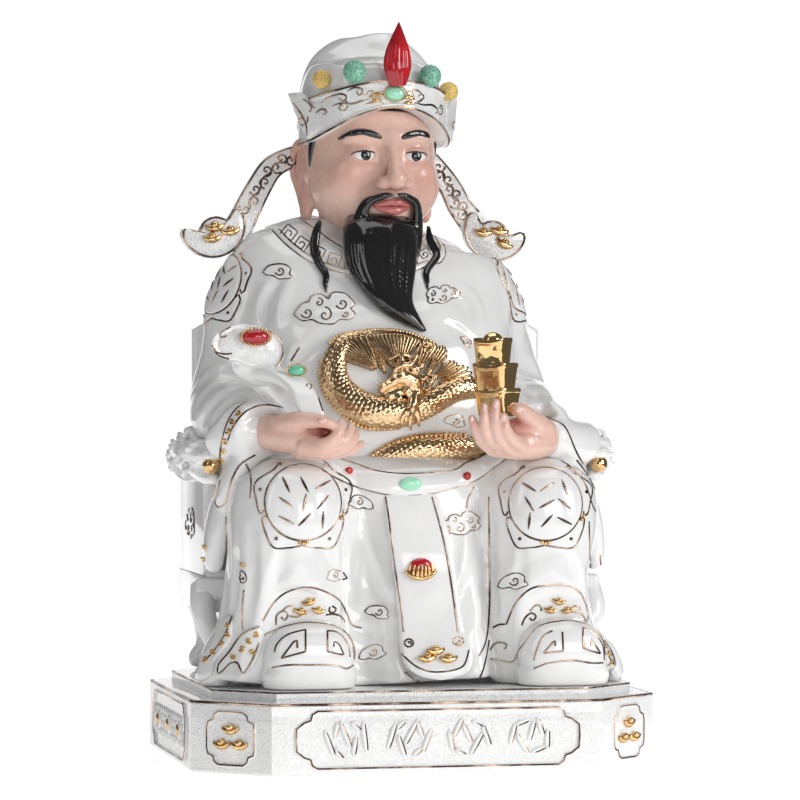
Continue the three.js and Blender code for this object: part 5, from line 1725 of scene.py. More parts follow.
def plaque(place, tilt):
    """The boat-shaped plate at the end of a ribbon."""
    outline = np.array(boat_outline())
    rings = []
    for depth, inset in PLAQUE_SECTION:
        flat = (outline + [0, 3]) * inset - [0, 3]
        rings.append([[x, depth * PLAQUE_DEPTH, z] for x, z in flat])
    points, quads, triangles = skin(np.array(rings))
    c, s = math.cos(tilt), math.sin(tilt)
    return points @ np.array([[c, 0, -s], [0, 1, 0], [s, 0, c]]) + place, quads, triangles


def on_plaque(wing, x, z, out):
    """The point over a plaque's face at x, z of its outline."""
    tilt, place = wing["tilt"], wing["plaque"]
    c, s = math.cos(tilt), math.sin(tilt)
    return [place[0] + x * c + z * s, place[1] - PLAQUE_DEPTH / 2 - out, place[2] - x * s + z * c]


def wing_mesh(wing):
    """A flat ribbon that widens down to its plaque."""
    rows = [[x, y, z, 2.1, 6 + 0.5 * i] for i, (x, y, z) in enumerate(wing["ribbon"])]
    ribbon = loft(rows, sides=40, rings=60, power=4, side=(0, 1, 0))
    return together([ribbon, plaque(wing["plaque"], wing["tilt"])])


for name, wing in WINGS.items():
    piece(name + "_glazed", wing_mesh(wing), stippled_look, sharp=50, replaces=[name])


# Plinth and armchair

PLINTH_WIDTH = 263.0
PLINTH_DEPTH = 230.0
PLINTH_HEIGHT = 40.2
BEVEL_WIDTH = 38.5
BEVEL_DEPTH = 36.6
PLINTH_ROUND = 2.6
PANEL_MARGIN = 17.0
PANEL_BORDER = 4.4
BEVEL_MARGIN = 10.8
TIER_INSET = 12.0
TIER_TOP = 45.7
CHAIR_HALF = 113.0
CHAIR_FRONT = -10.0
CHAIR_BACK = 93.0
SEAT_HEIGHT = 62.0
ARM_HEIGHT = 116.0
BACK_HEIGHT = 200.0
CREST_RISE = 26.0


def bevelled(inset, z):
    """The plinth's outline with its corners cut, moved in by the inset on every side."""
    x, y = PLINTH_WIDTH / 2 - inset, PLINTH_DEPTH / 2 - inset
    shrink = inset * (BEVEL_WIDTH + BEVEL_DEPTH - math.hypot(BEVEL_WIDTH, BEVEL_DEPTH))
    bx, by = BEVEL_WIDTH - shrink / BEVEL_DEPTH, BEVEL_DEPTH - shrink / BEVEL_WIDTH
    quarter = [[x, y - by], [x - bx, y]]
    turned_back = [[-a, b] for a, b in reversed(quarter)]
    outline = quarter + turned_back + [[-a, -b] for a, b in quarter] + [[-a, -b] for a, b in turned_back]
    return [[a, b, z - LIFT] for a, b in outline]


def slab(inset, bottom, top, low_round, high_round):
    """A tier of the plinth with rounded edges."""
    rings = []
    quarter = np.radians(np.linspace(0, 90, 7))
    for angle in reversed(quarter) if low_round else ():
        across, up = low_round * (1 - math.cos(angle)), low_round * (1 - math.sin(angle))
        rings.append(bevelled(inset + across, bottom + up))
    if not low_round:
        rings.append(bevelled(inset, bottom))
    for angle in quarter:
        across, up = high_round * (1 - math.cos(angle)), high_round * (1 - math.sin(angle))
        rings.append(bevelled(inset + across, top - up))
    return skin(np.array(rings))


class Face:
    """A plinth face: u across, v up, out along its normal, all in mm from its middle."""

    def __init__(self, middle, normal):
        self.middle = np.array([*middle, PLINTH_HEIGHT / 2 - LIFT])
        self.normal = unit([*normal, 0])
        self.across = np.array([-self.normal[1], self.normal[0], 0])

    def at(self, u, v, out=0.0):
        return self.middle + u * self.across + v * np.array([0, 0, 1]) + out * self.normal


HALF_X, HALF_Y = PLINTH_WIDTH / 2, PLINTH_DEPTH / 2
FACES = {
    "front": (Face((0, -HALF_Y), (0, -1)), HALF_X - BEVEL_WIDTH),
    "back": (Face((0, HALF_Y), (0, 1)), HALF_X - BEVEL_WIDTH),
    "left": (Face((-HALF_X, 0), (-1, 0)), HALF_Y - BEVEL_DEPTH),
    "right": (Face((HALF_X, 0), (1, 0)), HALF_Y - BEVEL_DEPTH),
}
BEVEL_HALF = math.hypot(BEVEL_WIDTH, BEVEL_DEPTH) / 2
BEVELS = {"front_left": (-1, -1), "front_right": (1, -1), "back_left": (-1, 1), "back_right": (1, 1)}
for name, (sx, sy) in BEVELS.items():
    middle = (sx * (HALF_X - BEVEL_WIDTH / 2), sy * (HALF_Y - BEVEL_DEPTH / 2))
    FACES[name] = (Face(middle, (sx * BEVEL_DEPTH, sy * BEVEL_WIDTH)), BEVEL_HALF)


def cartouche(w, h, notch, bulge=0.0):
    """The closed outline of a panel whose corners step in and whose ends may bulge."""
    side = [[w + bulge, 0], [w + bulge * 0.9, h - notch * 1.9], [w - notch * 0.2, h - notch * 1.25]]
    side += [[w - notch * 0.9, h - notch], [w - notch * 1.1, h - notch * 0.35]]
    side += [[w - notch * 1.7, h], [0, h]]
    top_left = [[-x, y] for x, y in reversed(side[:-1])]
    upper = side + top_left
    return upper + [[x, -y] for x, y in reversed(upper[1:-1])]


def panel_line(face, outline, radius, out=0.0):
    """A closed line with sharp corners on a plinth face."""
    rows = []
    closed = outline + outline[:1]
    for (u0, v0), (u1, v1) in zip(closed[:-1], closed[1:]):
        steps = max(int(math.hypot(u1 - u0, v1 - v0) / 5), 1)
        for k in range(steps):
            t = k / steps
            rows.append(face.at(u0 + t * (u1 - u0), v0 + t * (v1 - v0), out))
    normals = np.broadcast_to(face.normal, (len(rows), 3))
    return pipe(rows, radius, 8, normals, 0.8, closed=True)


def slanted_bar(face, u, v, length, slant, radius, out=0.1):
    """A raised stroke, thick in its middle."""
    t = np.linspace(-1, 1, 7)
    du, dv = 0.5 * length * math.sin(slant), 0.5 * length * math.cos(slant)
    rows = [face.at(u + du * s, v + dv * s, out) for s in t]
    radii = radius * (0.35 + 0.65 * np.sqrt(np.maximum(1 - t**2, 0)))
    return pipe(rows, radii, 8, np.broadcast_to(face.normal, (len(rows), 3)), 0.8)


ROUND_POINTS = 5


def rounded_box(low, high, radius):
    """A block with rounded edges."""
    low, high = np.array(low, float), np.array(high, float)
    middle, half = (low + high) / 2, (high - low) / 2
    rings = []
    angles = np.radians(np.linspace(0, 90, ROUND_POINTS))
    levels = [(-half[2] + radius * (1 - math.cos(a)), radius * (1 - math.sin(a))) for a in angles]
    levels += [(half[2] - radius * (1 - math.cos(a)), radius * (1 - math.sin(a))) for a in reversed(angles)]
    for z, inset in levels:
        ring = []
        reach = max(radius - inset, 0.02)
        for quarter, (sx, sy) in enumerate(((1, 1), (-1, 1), (-1, -1), (1, -1))):
            x, y = sx * (half[0] - radius), sy * (half[1] - radius)
            for a in np.radians(np.linspace(90 * quarter, 90 * quarter + 90, ROUND_POINTS)):
                ring.append([x + reach * math.cos(a), y + reach * math.sin(a), z])
        rings.append(ring)
    points, quads, triangles = skin(np.array(rings))
    return points + middle, quads, triangles


plinth_relief = []
front_face, front_half = FACES["front"]
HALF_PANEL = PLINTH_HEIGHT / 2 - PANEL_BORDER
plinth_outline = cartouche(front_half - PANEL_MARGIN, HALF_PANEL, 5, 3.5)
plinth_lines = [panel_line(front_face, plinth_outline, 0.55, 0.75)]
plinth_relief.append(panel_line(front_face, plinth_outline, 1.1, 0.0))
# A group of strokes: across, up, length, slant from upright
STROKES = [
    (-9.5, 1.5, 17, 0.12), (-4.5, 7.5, 9, 1.1), (-4, -3.5, 14, -0.3), (1.2, 3.0, 16, 0.25),
    (5, -7.5, 9, 1.0), (6.2, 5.5, 11, -0.2), (10.2, -1.5, 15, 0.15),
]
STROKE_GROUPS = 4
GROUP_PITCH = 34
for i in range(STROKE_GROUPS):
    middle = (i - (STROKE_GROUPS - 1) / 2) * GROUP_PITCH
    for k, (du, v, length, slant) in enumerate(STROKES):
        u = middle + (du if i % 2 else -du)
        lean = (slant if i % 2 else -slant) + 0.25 * math.sin(1.9 * k + 2.3 * i)
        length *= 0.85 + 0.15 * math.cos(2.1 * k + i)
        plinth_relief.append(slanted_bar(front_face, u, v, length, lean, 1.7))
        plinth_lines.append(slanted_bar(front_face, u + 0.95, v - 0.3, length * 0.86, lean, 0.6, 0.95))
plinth_ingots = []
for name in BEVELS:
    face, half = FACES[name]
    outline = cartouche(half - BEVEL_MARGIN, HALF_PANEL - 1.2, 4.6)
    plinth_relief.append(panel_line(face, outline, 1.0))
    plinth_lines.append(panel_line(face, outline, 0.5, 0.7))
    for u, v in ((0, 4.2), (-5.8, -4.2), (5.8, -4.2)):
        plinth_ingots.append(small_ingot(face.at(u, v, 0.6), 10.4, face.normal))
for name in ("back", "left", "right"):
    face, half = FACES[name]
    w = half - PANEL_MARGIN
    outline = cartouche(w, HALF_PANEL, 5)
    plinth_relief.append(panel_line(face, outline, 1.1))
    plinth_lines.append(panel_line(face, outline, 0.5, 0.75))
    for u in np.arange(-w + 8, w - 6, 8.0):
        for slant in (-0.75, 0.75):
            plinth_relief.append(slanted_bar(face, u, 0, 24, slant, 0.85))
    along = 1 - np.abs(face.normal)
    for u in (-0.62 * w, 0, 0.62 * w):
        boss = (5.6, 5.6, 5.6) * (0.25 + 0.75 * along)
        plinth_relief.append(ellipsoid(face.at(u, 0, 0.3), boss, 24, 10))
        knob = (3.6, 3.6, 3.6) * (0.35 + 0.65 * along)
        plinth_ingots.append(ellipsoid(face.at(u, 0, 1.4), knob, 24, 10))

block = slab(0, 0, PLINTH_HEIGHT, PLINTH_ROUND, PLINTH_ROUND)
tier = slab(TIER_INSET, PLINTH_HEIGHT - 1, TIER_TOP, 0, 1.8)
plinth_body = together([block, tier])
piece("plinth_block", plinth_body, stippled_look, sharp=40, replaces=["plinth"])
piece("plinth_relief", together(plinth_relief), white_look)
piece("plinth_ingots", together(plinth_ingots), gold_look)


def bevel_ring(inset, z, radius):
    """A gold line round the plinth."""
    outline = np.array(bevelled(inset, z))
    rows = []
    for a, b in zip(outline, np.roll(outline, -1, 0)):
        steps = max(int(np.linalg.norm(b - a) / 6), 1)
        rows += [a + (b - a) * k / steps for k in range(steps)]
    return pipe(rows, radius, 8, np.broadcast_to([0, 0, 1.0], (len(rows), 3)), 1.0, closed=True)


plinth_lines.append(bevel_ring(0.5, PLINTH_HEIGHT - 0.9, 0.75))
plinth_lines.append(bevel_ring(TIER_INSET + 0.2, TIER_TOP - 0.6, 0.5))
piece("plinth_lines", together(plinth_lines), line_look)


# From the front to the back: depth behind the back's own face, inset of its outline
BACK_SECTION = [(-10, 2.2), (-9.2, 0.6), (-8, 0), (-2, 0), (-0.8, 0.6), (0, 2.2)]


def chair_back_mesh():
    """The arched board behind the figure."""
    half = CHAIR_HALF - 8
    low = SEAT_HEIGHT - 20
    outline = [[-half, low], [half, low]]
    for share in np.linspace(0, 1, 40):
        x = half * (1 - 2 * share)
        rise = CREST_RISE * (1 - abs(2 * share - 1) ** 2.4)
        outline.append([x, BACK_HEIGHT + rise])
    rings = []
    centre = np.array([0, 130.0])
    reach = np.array(outline) - centre
    for depth, inset in BACK_SECTION:
        shrunk = centre + reach * (1 - inset / np.maximum(np.abs(reach).max(0), 1))
        rings.append([[x, CHAIR_BACK + depth, z] for x, z in shrunk])
    return skin(np.array(rings))


HEAD_FORWARD = 12
# How much its finished shape is stretched in x, y and z, before and behind its middle
HEAD_STRETCH_UP = (1.12, 1.2, 0.72)
HEAD_STRETCH_DOWN = (1.0, 1.0, 1.02)
# Curls of the mane: x, y, z of the middle, reach, hand. They lie on the side, the top or the brow.
MANE_CURLS = [
    (15, 16, 9, 5.6, 1), (17, 27, 16, 6, -1), (17, 29, 3, 5.6, 1), (16.5, 40, 9, 5.4, -1),
    (12, 18, -2, 4.6, -1), (13, 20, 21, 5.2, 1), (12, 33, 23, 5, -1), (-6, 20, 20, 5, 1),
    (-7, 32, 16, 5, -1),
]
BROW_CURLS = [(1, 14, 25, 4.6, 1), (8, 15, 26, 4.6, -1), (0, 24, 27, 4.4, -1), (7, 27, 28, 4.4, 1)]


def dragon_head():
    """The head at the end of the right arm, looking forward, with curls, horns and a mane."""
    ox, oy, oz = CHAIR_HALF - 3.5, CHAIR_FRONT - HEAD_FORWARD, ARM_HEIGHT + 4
    field = Field([ox - 22, oy - 22, oz - 16], [ox + 24, oy + 66, oz + 42], 0.98, band=7)

    def at(rows):
        return [[ox + x, oy + y, oz + z, *rest] for x, y, z, *rest in rows]

    skull = [[3, 52, 4, 8, 10], [5, 36, 10, 12, 14], [5, 20, 12, 12, 13], [3, 5, 10, 9, 10]]
    skull.append([2, -8, 6, 6.5, 6.5])
    field.add(loft(at(skull), domed=(0, 0.25)))
    field.add_ball((ox + 2, oy - 8, oz + 9.5), (6.6, 5, 4.4), 2)
    field.add_ball((ox + 4, oy + 5, oz + 19), (8.5, 6, 3.6), 2)
    jaw = [[4, 24, 0, 6], [2, 8, -4, 5], [1, -5, -5, 3.6]]
    field.add_strand(resampled(at(jaw), 2), 1.5)
    mouth = [[12, -12, 2.6, 1.6], [11, 6, 2.6, 1.8], [11, 16, 4, 1.2]]
    field.cut_strand(resampled(at(mouth), 2), 1.2)
    for x, z, r in ((-1.6, 13, 2.0), (5.6, 13, 2.0), (9.4, 9.5, 2.4), (-3.4, 9.5, 2.2)):
        field.add_ball((ox + x, oy - 10 + 0.35 * abs(x - 2), oz + z), (r, r, r), 0.8)
    for x in (11, -3):
        field.add_ball((ox + x, oy + 6, oz + 15.5), (3.2, 3.4, 3.2), 0.6)
        field.add_ball((ox + x * 1.04, oy + 3, oz + 15.5), (1.5, 1.5, 1.5), 0.3)
    for x, y, z, reach, hand in MANE_CURLS:
        rows = []
        for b, c in spiral(0, 0, reach, 1.3, 0.8 * y, hand):
            away = math.hypot(b, c)
            over = 0.12 * (reach - away) * np.sign(x)
            rows.append([ox + x + over, oy + y + b, oz + z + c, 1.9 - 0.1 * away])
        field.add_strand(rows, 0.6)
    for x, y, z, reach, hand in BROW_CURLS:
        rows = []
        for a, b in spiral(0, 0, reach, 1.2, 1.0, hand):
            rows.append([ox + x + a, oy + y + b * 0.5, oz + z + b * 0.8, 1.5])
        field.add_strand(rows, 0.6)
    for angle in np.linspace(0, 1.6 * np.pi, 9):
        x, z = 12 + 3.6 * math.cos(angle), 2 + 3.6 * math.sin(angle)
        field.add_ball((ox + x + 1, oy + 12, oz + z), (1.4, 1.4, 1.4), 0.5)
    points, quads, triangles = field.mesh()
    centre = np.array([ox + 2, oy - 8, oz + 2])
    reach = points - centre
    reach *= np.where(reach > 0, HEAD_STRETCH_UP, HEAD_STRETCH_DOWN)
    return centre + reach, quads, triangles


def chair_meshes():
    """The board, the seat with its front rail and the block under it, sides, arms and legs."""
    half = CHAIR_HALF
    rail_low = SEAT_HEIGHT - 24
    front, back = CHAIR_FRONT, CHAIR_BACK
    made = [
        chair_back_mesh(),
        rounded_box((-half, front, rail_low), (half, back - 1.4, SEAT_HEIGHT), 3),
        rounded_box((-half - 5, front - 3, rail_low + 7), (half + 5, front + 8, SEAT_HEIGHT - 4), 2.4),
        rounded_box((-half + 14, front + 14, 0.3), (half - 14, back - 6, rail_low + 2), 2),
    ]
    for side in BOTH:
        near, far = sorted((side * (half - 10), side * half))
        made.append(rounded_box((near, front + 4, SEAT_HEIGHT - 6), (far, back - 8, ARM_HEIGHT), 2.6))
        roll = [
            [side * (half - 3), back - 9, ARM_HEIGHT + 2, 6, 6],
            [side * half, back - 33, ARM_HEIGHT + 1, 6, 6],
            [side * (half + 4), front + 40, ARM_HEIGHT + 4, 8, 8],
        ]
        made.append(loft(roll, sides=40, rings=30))
        front_leg = [
            [-1, 8, rail_low + 14, 8, 8], [1, -2, rail_low, 7, 7], [-5, -6, 20, 5.5, 5.5],
            [-7, -16, 8, 6.5, 6], [-6, -23, 5, 5, 4.5],
        ]
        back_leg = [
            [-9, -9, rail_low + 10, 8, 8], [-14, -8, 28, 6, 6.5], [-15, -9, 14, 5.4, 6],
            [-11, -10, 6, 6, 6], [-10, -10, 0.5, 6, 6],
        ]
        for rows, end in ((front_leg, front), (back_leg, back)):
            placed = [[side * (half + x), end + y, *rest] for x, y, *rest in rows]
            made.append(loft(placed, sides=32, rings=28, domed=(0, 0.3)))
    return together(made)


piece("chair_frame", chair_meshes(), white_look, sharp=42, replaces=["armchair"])
right_head = dragon_head()
piece("chair_dragon_right", right_head, white_look)
piece("chair_dragon_left", moved(right_head, mirror=True), white_look)
pearls = []
for side in BOTH:
    place = (side * (CHAIR_HALF - 0.4), CHAIR_FRONT - HEAD_FORWARD - 8.5, ARM_HEIGHT + 6.2)
    pearls.append(ellipsoid(place, (5, 4.6, 5)))
piece("chair_pearls", together(pearls), gold_look)


# Gold dragon on the belly

SCALE_PITCH = 2.6
SCALE_WIDTH = 2.5
SCALE_DEPTH = 1.1
BODY_FLATNESS = 0.72


def scale_relief(run, around):
    """Overlapping scales: how high they stand, up to 1, at a length along and around a body."""
    out = np.zeros(np.broadcast(run, around).shape)
    row = np.floor(run / SCALE_PITCH)
    for step in (-1, 0, 1):
        centre = (row + step + 0.5) * SCALE_PITCH
        shift = 0.5 * np.mod(row + step, 2)
        column = np.round(around / SCALE_WIDTH - shift) + shift
        a = (run - centre) / (0.80 * SCALE_PITCH)
        b = (around - column * SCALE_WIDTH) / (0.54 * SCALE_WIDTH)
        inside = a * a + b * b < 1
        out = np.maximum(out, np.where(inside, 0.25 + 0.75 * (a + 1) / 2 * (1 - 0.6 * b * b), 0))
    return out


def with_gap_shade(mesh, gap_shade=()):
    """A mesh and how much painted shade darkens each of its points, which is none where no number is given.
    """
    return mesh, np.concatenate([gap_shade, np.zeros(len(mesh[0]) - len(gap_shade))])


def scaled_body(canvas, rows, rise=0.15):
    """A scaled body along rows u, v, radius in mm, half sunk in the canvas."""
    made = []
    for places, normals, radii in cast(canvas, front_ray, rows, 0.86):
        places, normals, radius = eased(places, 12), unit(eased(normals, 30)), eased(radii, 8)[:, 0]
        run = np.concatenate([[0], np.cumsum(np.linalg.norm(np.diff(places, axis=0), axis=1))])
        tangent = unit(np.gradient(places, axis=0))
        across = unit(np.cross(tangent, normals))
        up = np.cross(across, tangent)
        angle = circle(96)
        around = (angle - np.pi / 2)[None] * np.maximum(radius, 3.0).mean()
        relief = scale_relief(run[:, None], around)
        reach = radius[:, None] * 0.96 + SCALE_DEPTH * relief
        centre = places + (rise * radius)[:, None] * normals
        high = BODY_FLATNESS * np.sin(angle)[:, None] * up[:, None]
        ring = np.cos(angle)[:, None] * across[:, None] + high
        # Painted shade between the scales, where the relief is low.
        gap_shade = 0.9 * np.clip(1 - 2.2 * relief, 0, 1).ravel()
        made.append(with_gap_shade(skin(centre[:, None] + reach[..., None] * ring), gap_shade))
    return made


FIN_WAY = np.array([0.1, -0.95, 0.3])


def fan(canvas, root, arc, ribs, low, high, depth, scallop=0.0):
    """A ribbed fin from a root to an arc, all in u, v; its lift grows from low to high."""
    s = np.linspace(0, 1, ribs * 6 + 1)
    edge = catmull(arc, s)
    rib = np.abs(np.sin(np.pi * ribs * s))
    rings, gap_shade = [], []
    for t in np.linspace(0.08, 1, 13):
        # Painted shade in the valleys between the ribs, on the top side only.
        gap_shade.append(np.concatenate([0.85 * (1 - rib) ** 1.5, np.zeros(len(rib))]))
        top, under = [], []
        for k, tip in enumerate(edge):
            reach = t * (1 - scallop * (1 - rib[k]) * t)
            u, v = np.array(root) + (tip - root) * reach
            place, _, _ = canvas.hit(*front_ray(u, v))
            lift = low + (high - low) * t + depth * (rib[k] ** 0.6 - 0.5) * min(1, 3 * t)
            top.append(place + lift * FIN_WAY)
            under.append(place - 0.8 * FIN_WAY)
        rings.append(top + under[::-1])
    return with_gap_shade(skin(np.array(rings)), np.concatenate(gap_shade))


# The body's coil and the tail below it: rows u, v, radius
DRAGON_BODY = [
    (372, 336, 2.6), (352, 340, 4.4), (340, 350, 5.6), (334.5, 364, 6.6), (335, 378, 7.4),
    (341, 391, 8.0), (353, 402, 8.6), (369, 410, 9.0), (386, 412.5, 9.0), (402, 412, 8.2),
    (418, 408, 7.4), (432, 402, 7.0), (446, 394, 6.6), (459, 389, 6.2), (473, 388, 5.6),
]
DRAGON_TAIL = [
    (364.5, 462.8, 0.9), (373, 460, 3.2), (384, 456.5, 5.4), (398, 453.5, 7.0), (416, 451, 7.8),
    (436, 450.5, 8.2), (454, 450.5, 8.2), (469, 449, 7.4), (482, 446, 5.0),
]
# Fins: root, arc, ribs, lift at the root, lift at the arc, depth of the ribs, scallop of the arc
FINS = [
    ((377, 373), [(326, 355.5), (328, 349), (337, 342.5), (349, 338), (366, 335.5)], 12, 3.2, 4.6, 0.9),
    ((397, 374), [(356, 338), (370, 335.5), (388, 334), (404, 335.5), (419, 341)], 17, 3.4, 3.6, 0.8),
    ((386, 377), [(359, 346), (368, 342), (379, 341)], 7, 2.6, 3.2, 0.8),
    ((414, 380), [(417, 344), (424, 341), (432, 345), (439, 350)], 6, 2.4, 4.0, 0.9, 0.04),
    ((420, 384), [(436, 348), (441, 347.5), (445, 352), (445, 361)], 5, 2.2, 4.2, 0.9, 0.04),
    ((424, 386), [(446, 362), (453, 363), (457, 367), (455, 373)], 5, 2.0, 3.8, 0.9, 0.04),
    ((436, 384), [(459, 366), (466, 368), (471, 375), (471, 381)], 4, 1.6, 3.2, 0.9, 0.1),
]
FIN_RIM = [
    (329, 345), (338, 338), (350, 334.5), (368, 331.8), (389, 331.5), (408, 334), (422, 339),
    (432, 343), (435, 348),
]
# Parts of the head: rows u, v, lift, radius
DRAGON_SKULL = [
    (413, 386, 3, 5.2), (403, 379, 4.2, 4.8), (395, 381, 4.6, 4.0), (387, 386, 4.6, 3.4),
    (380, 391, 4.2, 2.6),
]
DRAGON_JAW = [(405, 391, 3, 3.0), (394, 394, 3.6, 2.4), (385, 397, 3.4, 1.7)]
DRAGON_MOUTH = [(400, 388, 8.4, 1.0), (391, 391, 7.6, 1.1), (383, 394.5, 6.6, 0.9)]
# Brow, crest, two horns, two tufts of the beard and a whisker
DRAGON_STRANDS = [
    [(390, 374, 6.4, 0.9), (397, 368.5, 7.6, 1.5), (405, 368, 7.8, 1.5), (411, 372, 7, 0.9)],
    [(386, 362, 4.4, 0.8), (395, 357.5, 5.6, 1.3), (405, 357.5, 5.8, 1.3), (413, 362, 5, 0.9)],
    [(404, 370, 7.4, 1.7), (412, 361, 7.6, 1.5), (416, 351, 6.6, 1.1), (422, 345, 5.6, 0.5)],
    [(398, 369, 7.4, 1.5), (398, 359, 7.4, 1.3), (392, 350, 6.2, 1.0), (393, 343, 5.2, 0.5)],
    [(388, 399, 3.8, 1.1), (380, 401, 3.4, 0.9), (374, 398, 3.2, 0.5)],
    [(394, 401, 4, 1.1), (389, 408, 4.6, 0.9), (382, 409, 5.6, 0.5)],
    [(381, 388, 6.8, 0.8), (375, 383, 5.8, 0.7), (377, 377, 5.0, 0.6), (382, 378, 5.0, 0.5)],
]
# Eyes and nostrils: u, v, lift, radius
DRAGON_BALLS = [(398, 375.5, 8.2, 1.5), (390, 378, 8.0, 1.3), (379.5, 387, 7.2, 1.2), (384, 383.5, 7.6, 1.2)]
# Curls of the head: u, v, reach, hand, lift
DRAGON_CURLS = [
    (413, 372, 4.5, 1, 6.0), (422, 380, 4.5, -1, 5.0), (413, 384, 4.2, 1, 7.0), (425, 391, 4.2, 1, 4.5),
    (416, 395, 4.2, -1, 6.2), (404, 394, 4.0, 1, 7.2), (396, 401, 4.0, -1, 5.6), (407, 404, 4.2, 1, 6.4),
    (419, 404, 3.8, -1, 5.6), (430, 383, 3.6, 1, 3.6), (388, 398, 3.4, 1, 5.0), (409, 363, 3.4, -1, 5.0),
    (420, 367, 3.4, 1, 4.4), (428, 373, 3.4, -1, 3.8), (433, 378, 3.0, 1, 3.2), (435, 391, 3.4, -1, 3.4),
    (401, 408, 3.0, 1, 4.6), (425, 348, 6.2, 1, 4.6),
]
DRAGON_LEG = [(412, 398, 5, 3.4), (410, 407, 6.6, 3.4), (408, 414, 6.4, 3.0)]
DRAGON_TOES = [
    [(405, 412, 7, 2.0), (400, 418, 7.4, 1.7), (399, 426, 6.2, 1.2), (401.5, 431, 5.0, 0.4)],
    [(409, 413, 7.4, 2.1), (407, 421, 7.8, 1.8), (407.5, 429, 6.2, 1.2), (411, 434.5, 4.4, 0.4)],
    [(413, 411, 7, 2.0), (415, 419, 7.2, 1.7), (416, 426, 5.8, 1.1), (419, 431, 4.2, 0.4)],
]
# Rows of spines: path u, v, gap, radius
SPINES = [
    ([(331, 404), (345, 417.5), (361, 427.5), (380, 429.5), (398, 428)], 4.2, 1.5),
    ([(372, 455.5), (388, 446), (404, 440), (422, 436.5), (444, 435.5), (464, 436)], 4.6, 1.9),
    ([(321, 362), (320, 378), (323.5, 393), (331, 404)], 3.6, 1.2),
]


def dragon():
    """The dragon's mesh over the robe, and how much painted shade darkens each of its points."""
    canvas = Canvas([robe_top])

    def over(rows):
        """Rows u, v, lift, radius to places over the robe."""
        made = []
        for u, v, lift, radius in rows:
            place, _, _ = canvas.hit(*front_ray(u, v))
            made.append([*(place + lift * np.array([0.05, -0.97, 0.22])), radius])
        return made

    made = scaled_body(canvas, DRAGON_BODY)
    made += scaled_body(canvas, DRAGON_TAIL, rise=0.1)
    made += [fan(canvas, *fin) for fin in FINS]
    for places, normals, _ in cast(canvas, front_ray, FIN_RIM, 0.8):
        radii = 1.15 + 0.2 * np.sin(np.arange(len(places)) * 1.6)
        made.append(with_gap_shade(pipe(places + 1.2 * normals, radii, 10, normals)))

    field = Field([-52, -104, 132], [42, -40, 206], 0.66, band=7)
    for rows in (DRAGON_SKULL, DRAGON_JAW):
        field.add_strand(resampled(over(rows), 1.2), 0.8)
    field.cut_strand(resampled(over(DRAGON_MOUTH), 1.0), 0.5)
    for rows in DRAGON_STRANDS:
        field.add_strand(resampled(over(rows), 0.9), 0.5)
    for ball in over(DRAGON_BALLS):
        field.add_ball(ball[:3], (ball[3],) * 3, 0.4)
    for u, v, reach, hand, lift in DRAGON_CURLS:
        rows = []
        for a, b in spiral(u, v, reach, 1.25, u + v, hand):
            rows.append((a, b, lift + 0.25 * (reach - math.hypot(a - u, b - v)), 0.85))
        field.add_strand(over(rows), 0.4)
        field.add_ball(over([(u, v, lift - 3, 1)])[0][:3], (2.2, 3, 2.2), 1.2)
    field.add_strand(resampled(over(DRAGON_LEG), 1.2), 0.8)
    for toe in DRAGON_TOES:
        field.add_strand(resampled(over(toe), 1.0), 0.5)
    made.append(with_gap_shade(field.mesh()))

    for rows, gap, reach in SPINES:
        for u, v in resampled(rows, gap, False, 2):
            place = over([(u, v, 1.6, 1)])[0][:3]
            made.append(with_gap_shade(ellipsoid(place, (1.5, reach, reach), 12, 8)))
    return together([mesh for mesh, _ in made]), np.concatenate([gap_shade for _, gap_shade in made])


dragon_mesh, dragon_gap_shade = dragon()
painted(piece("belly_dragon", dragon_mesh, dragon_look), dragon_gap_shade)


# Raised ornament, gold lines and stones


def flat_front(x, z):
    """The ray from straight ahead through x, z."""
    return np.array([x, -400.0, z]), np.array([0, 1.0, 0])


def tilted_ray(centre, normal):
    """Rays square on a tilted disc, by mm across it and mm down it."""
    normal = unit(normal)
    across = unit(np.cross([0, 0, 1], normal))
    down = np.cross(across, normal)
    return lambda a, b: (np.asarray(centre) + a * across + b * down + 40 * normal, -normal)


class Sheet:
    """Raised fields and the lines drawn over them and over the skin of some pieces."""

    def __init__(self, *meshes):
        self.meshes = list(meshes)
        self.canvas = Canvas(self.meshes)
        self.pads = []
        self.lines = []

    def pad(self, ray, outline, height):
        self.pads.append(pad(self.canvas, ray, outline, height))

    def line(self, ray, rows, radius=0.58, **how):
        self.lines.append((ray, rows, radius, how))

    def bar(self, ray, rows, radius):
        """A raised stroke."""
        self.pads += stroke(self.canvas, ray, rows, radius, pitch=0.8, pointed=True, sides=10)

    def cloud(self, ray, u, v, half, kind="cloud", flip=1, turn=0.0, radius=0.54):
        """A raised cloud with its outline and curls in gold."""
        rim, curls = cloud_parts(u, v, half, kind, flip, turn)
        self.pad(ray, rim, 0.9)
        self.line(ray, rim, radius)
        for rows in curls:
            self.line(ray, rows, radius * 0.85)

    def at(self, ray, u, v, lift=0.0):
        """The point so far over the skin, and the skin's normal."""
        place, normal, _ = self.canvas.hit(*ray(u, v))
        return place + lift * normal, normal

    def stones(self, ray, name, rows, look):
        """Domed stones: u, v, half width, half height in mm."""
        made = []
        for u, v, w, h in rows:
            place, normal = self.at(ray, u, v, 0.4)
            lean = math.atan2(normal[0], -normal[1])
            made.append(moved(ellipsoid((0, 0, 0), (w, 1.9, h), 28, 16), lean, place))
        piece(name, together(made), look)

    def finish(self, name, body=white_look):
        """Shows the raised fields as one piece and the lines over them as another."""
        if self.pads:
            piece(name + "_ornament", together(self.pads), body)
            self.canvas = Canvas(self.meshes + self.pads)
        made = []
        for ray, rows, radius, how in self.lines:
            made += stroke(self.canvas, ray, rows, radius, **how)
        if made:
            piece(name + "_lines", together(made), line_look)


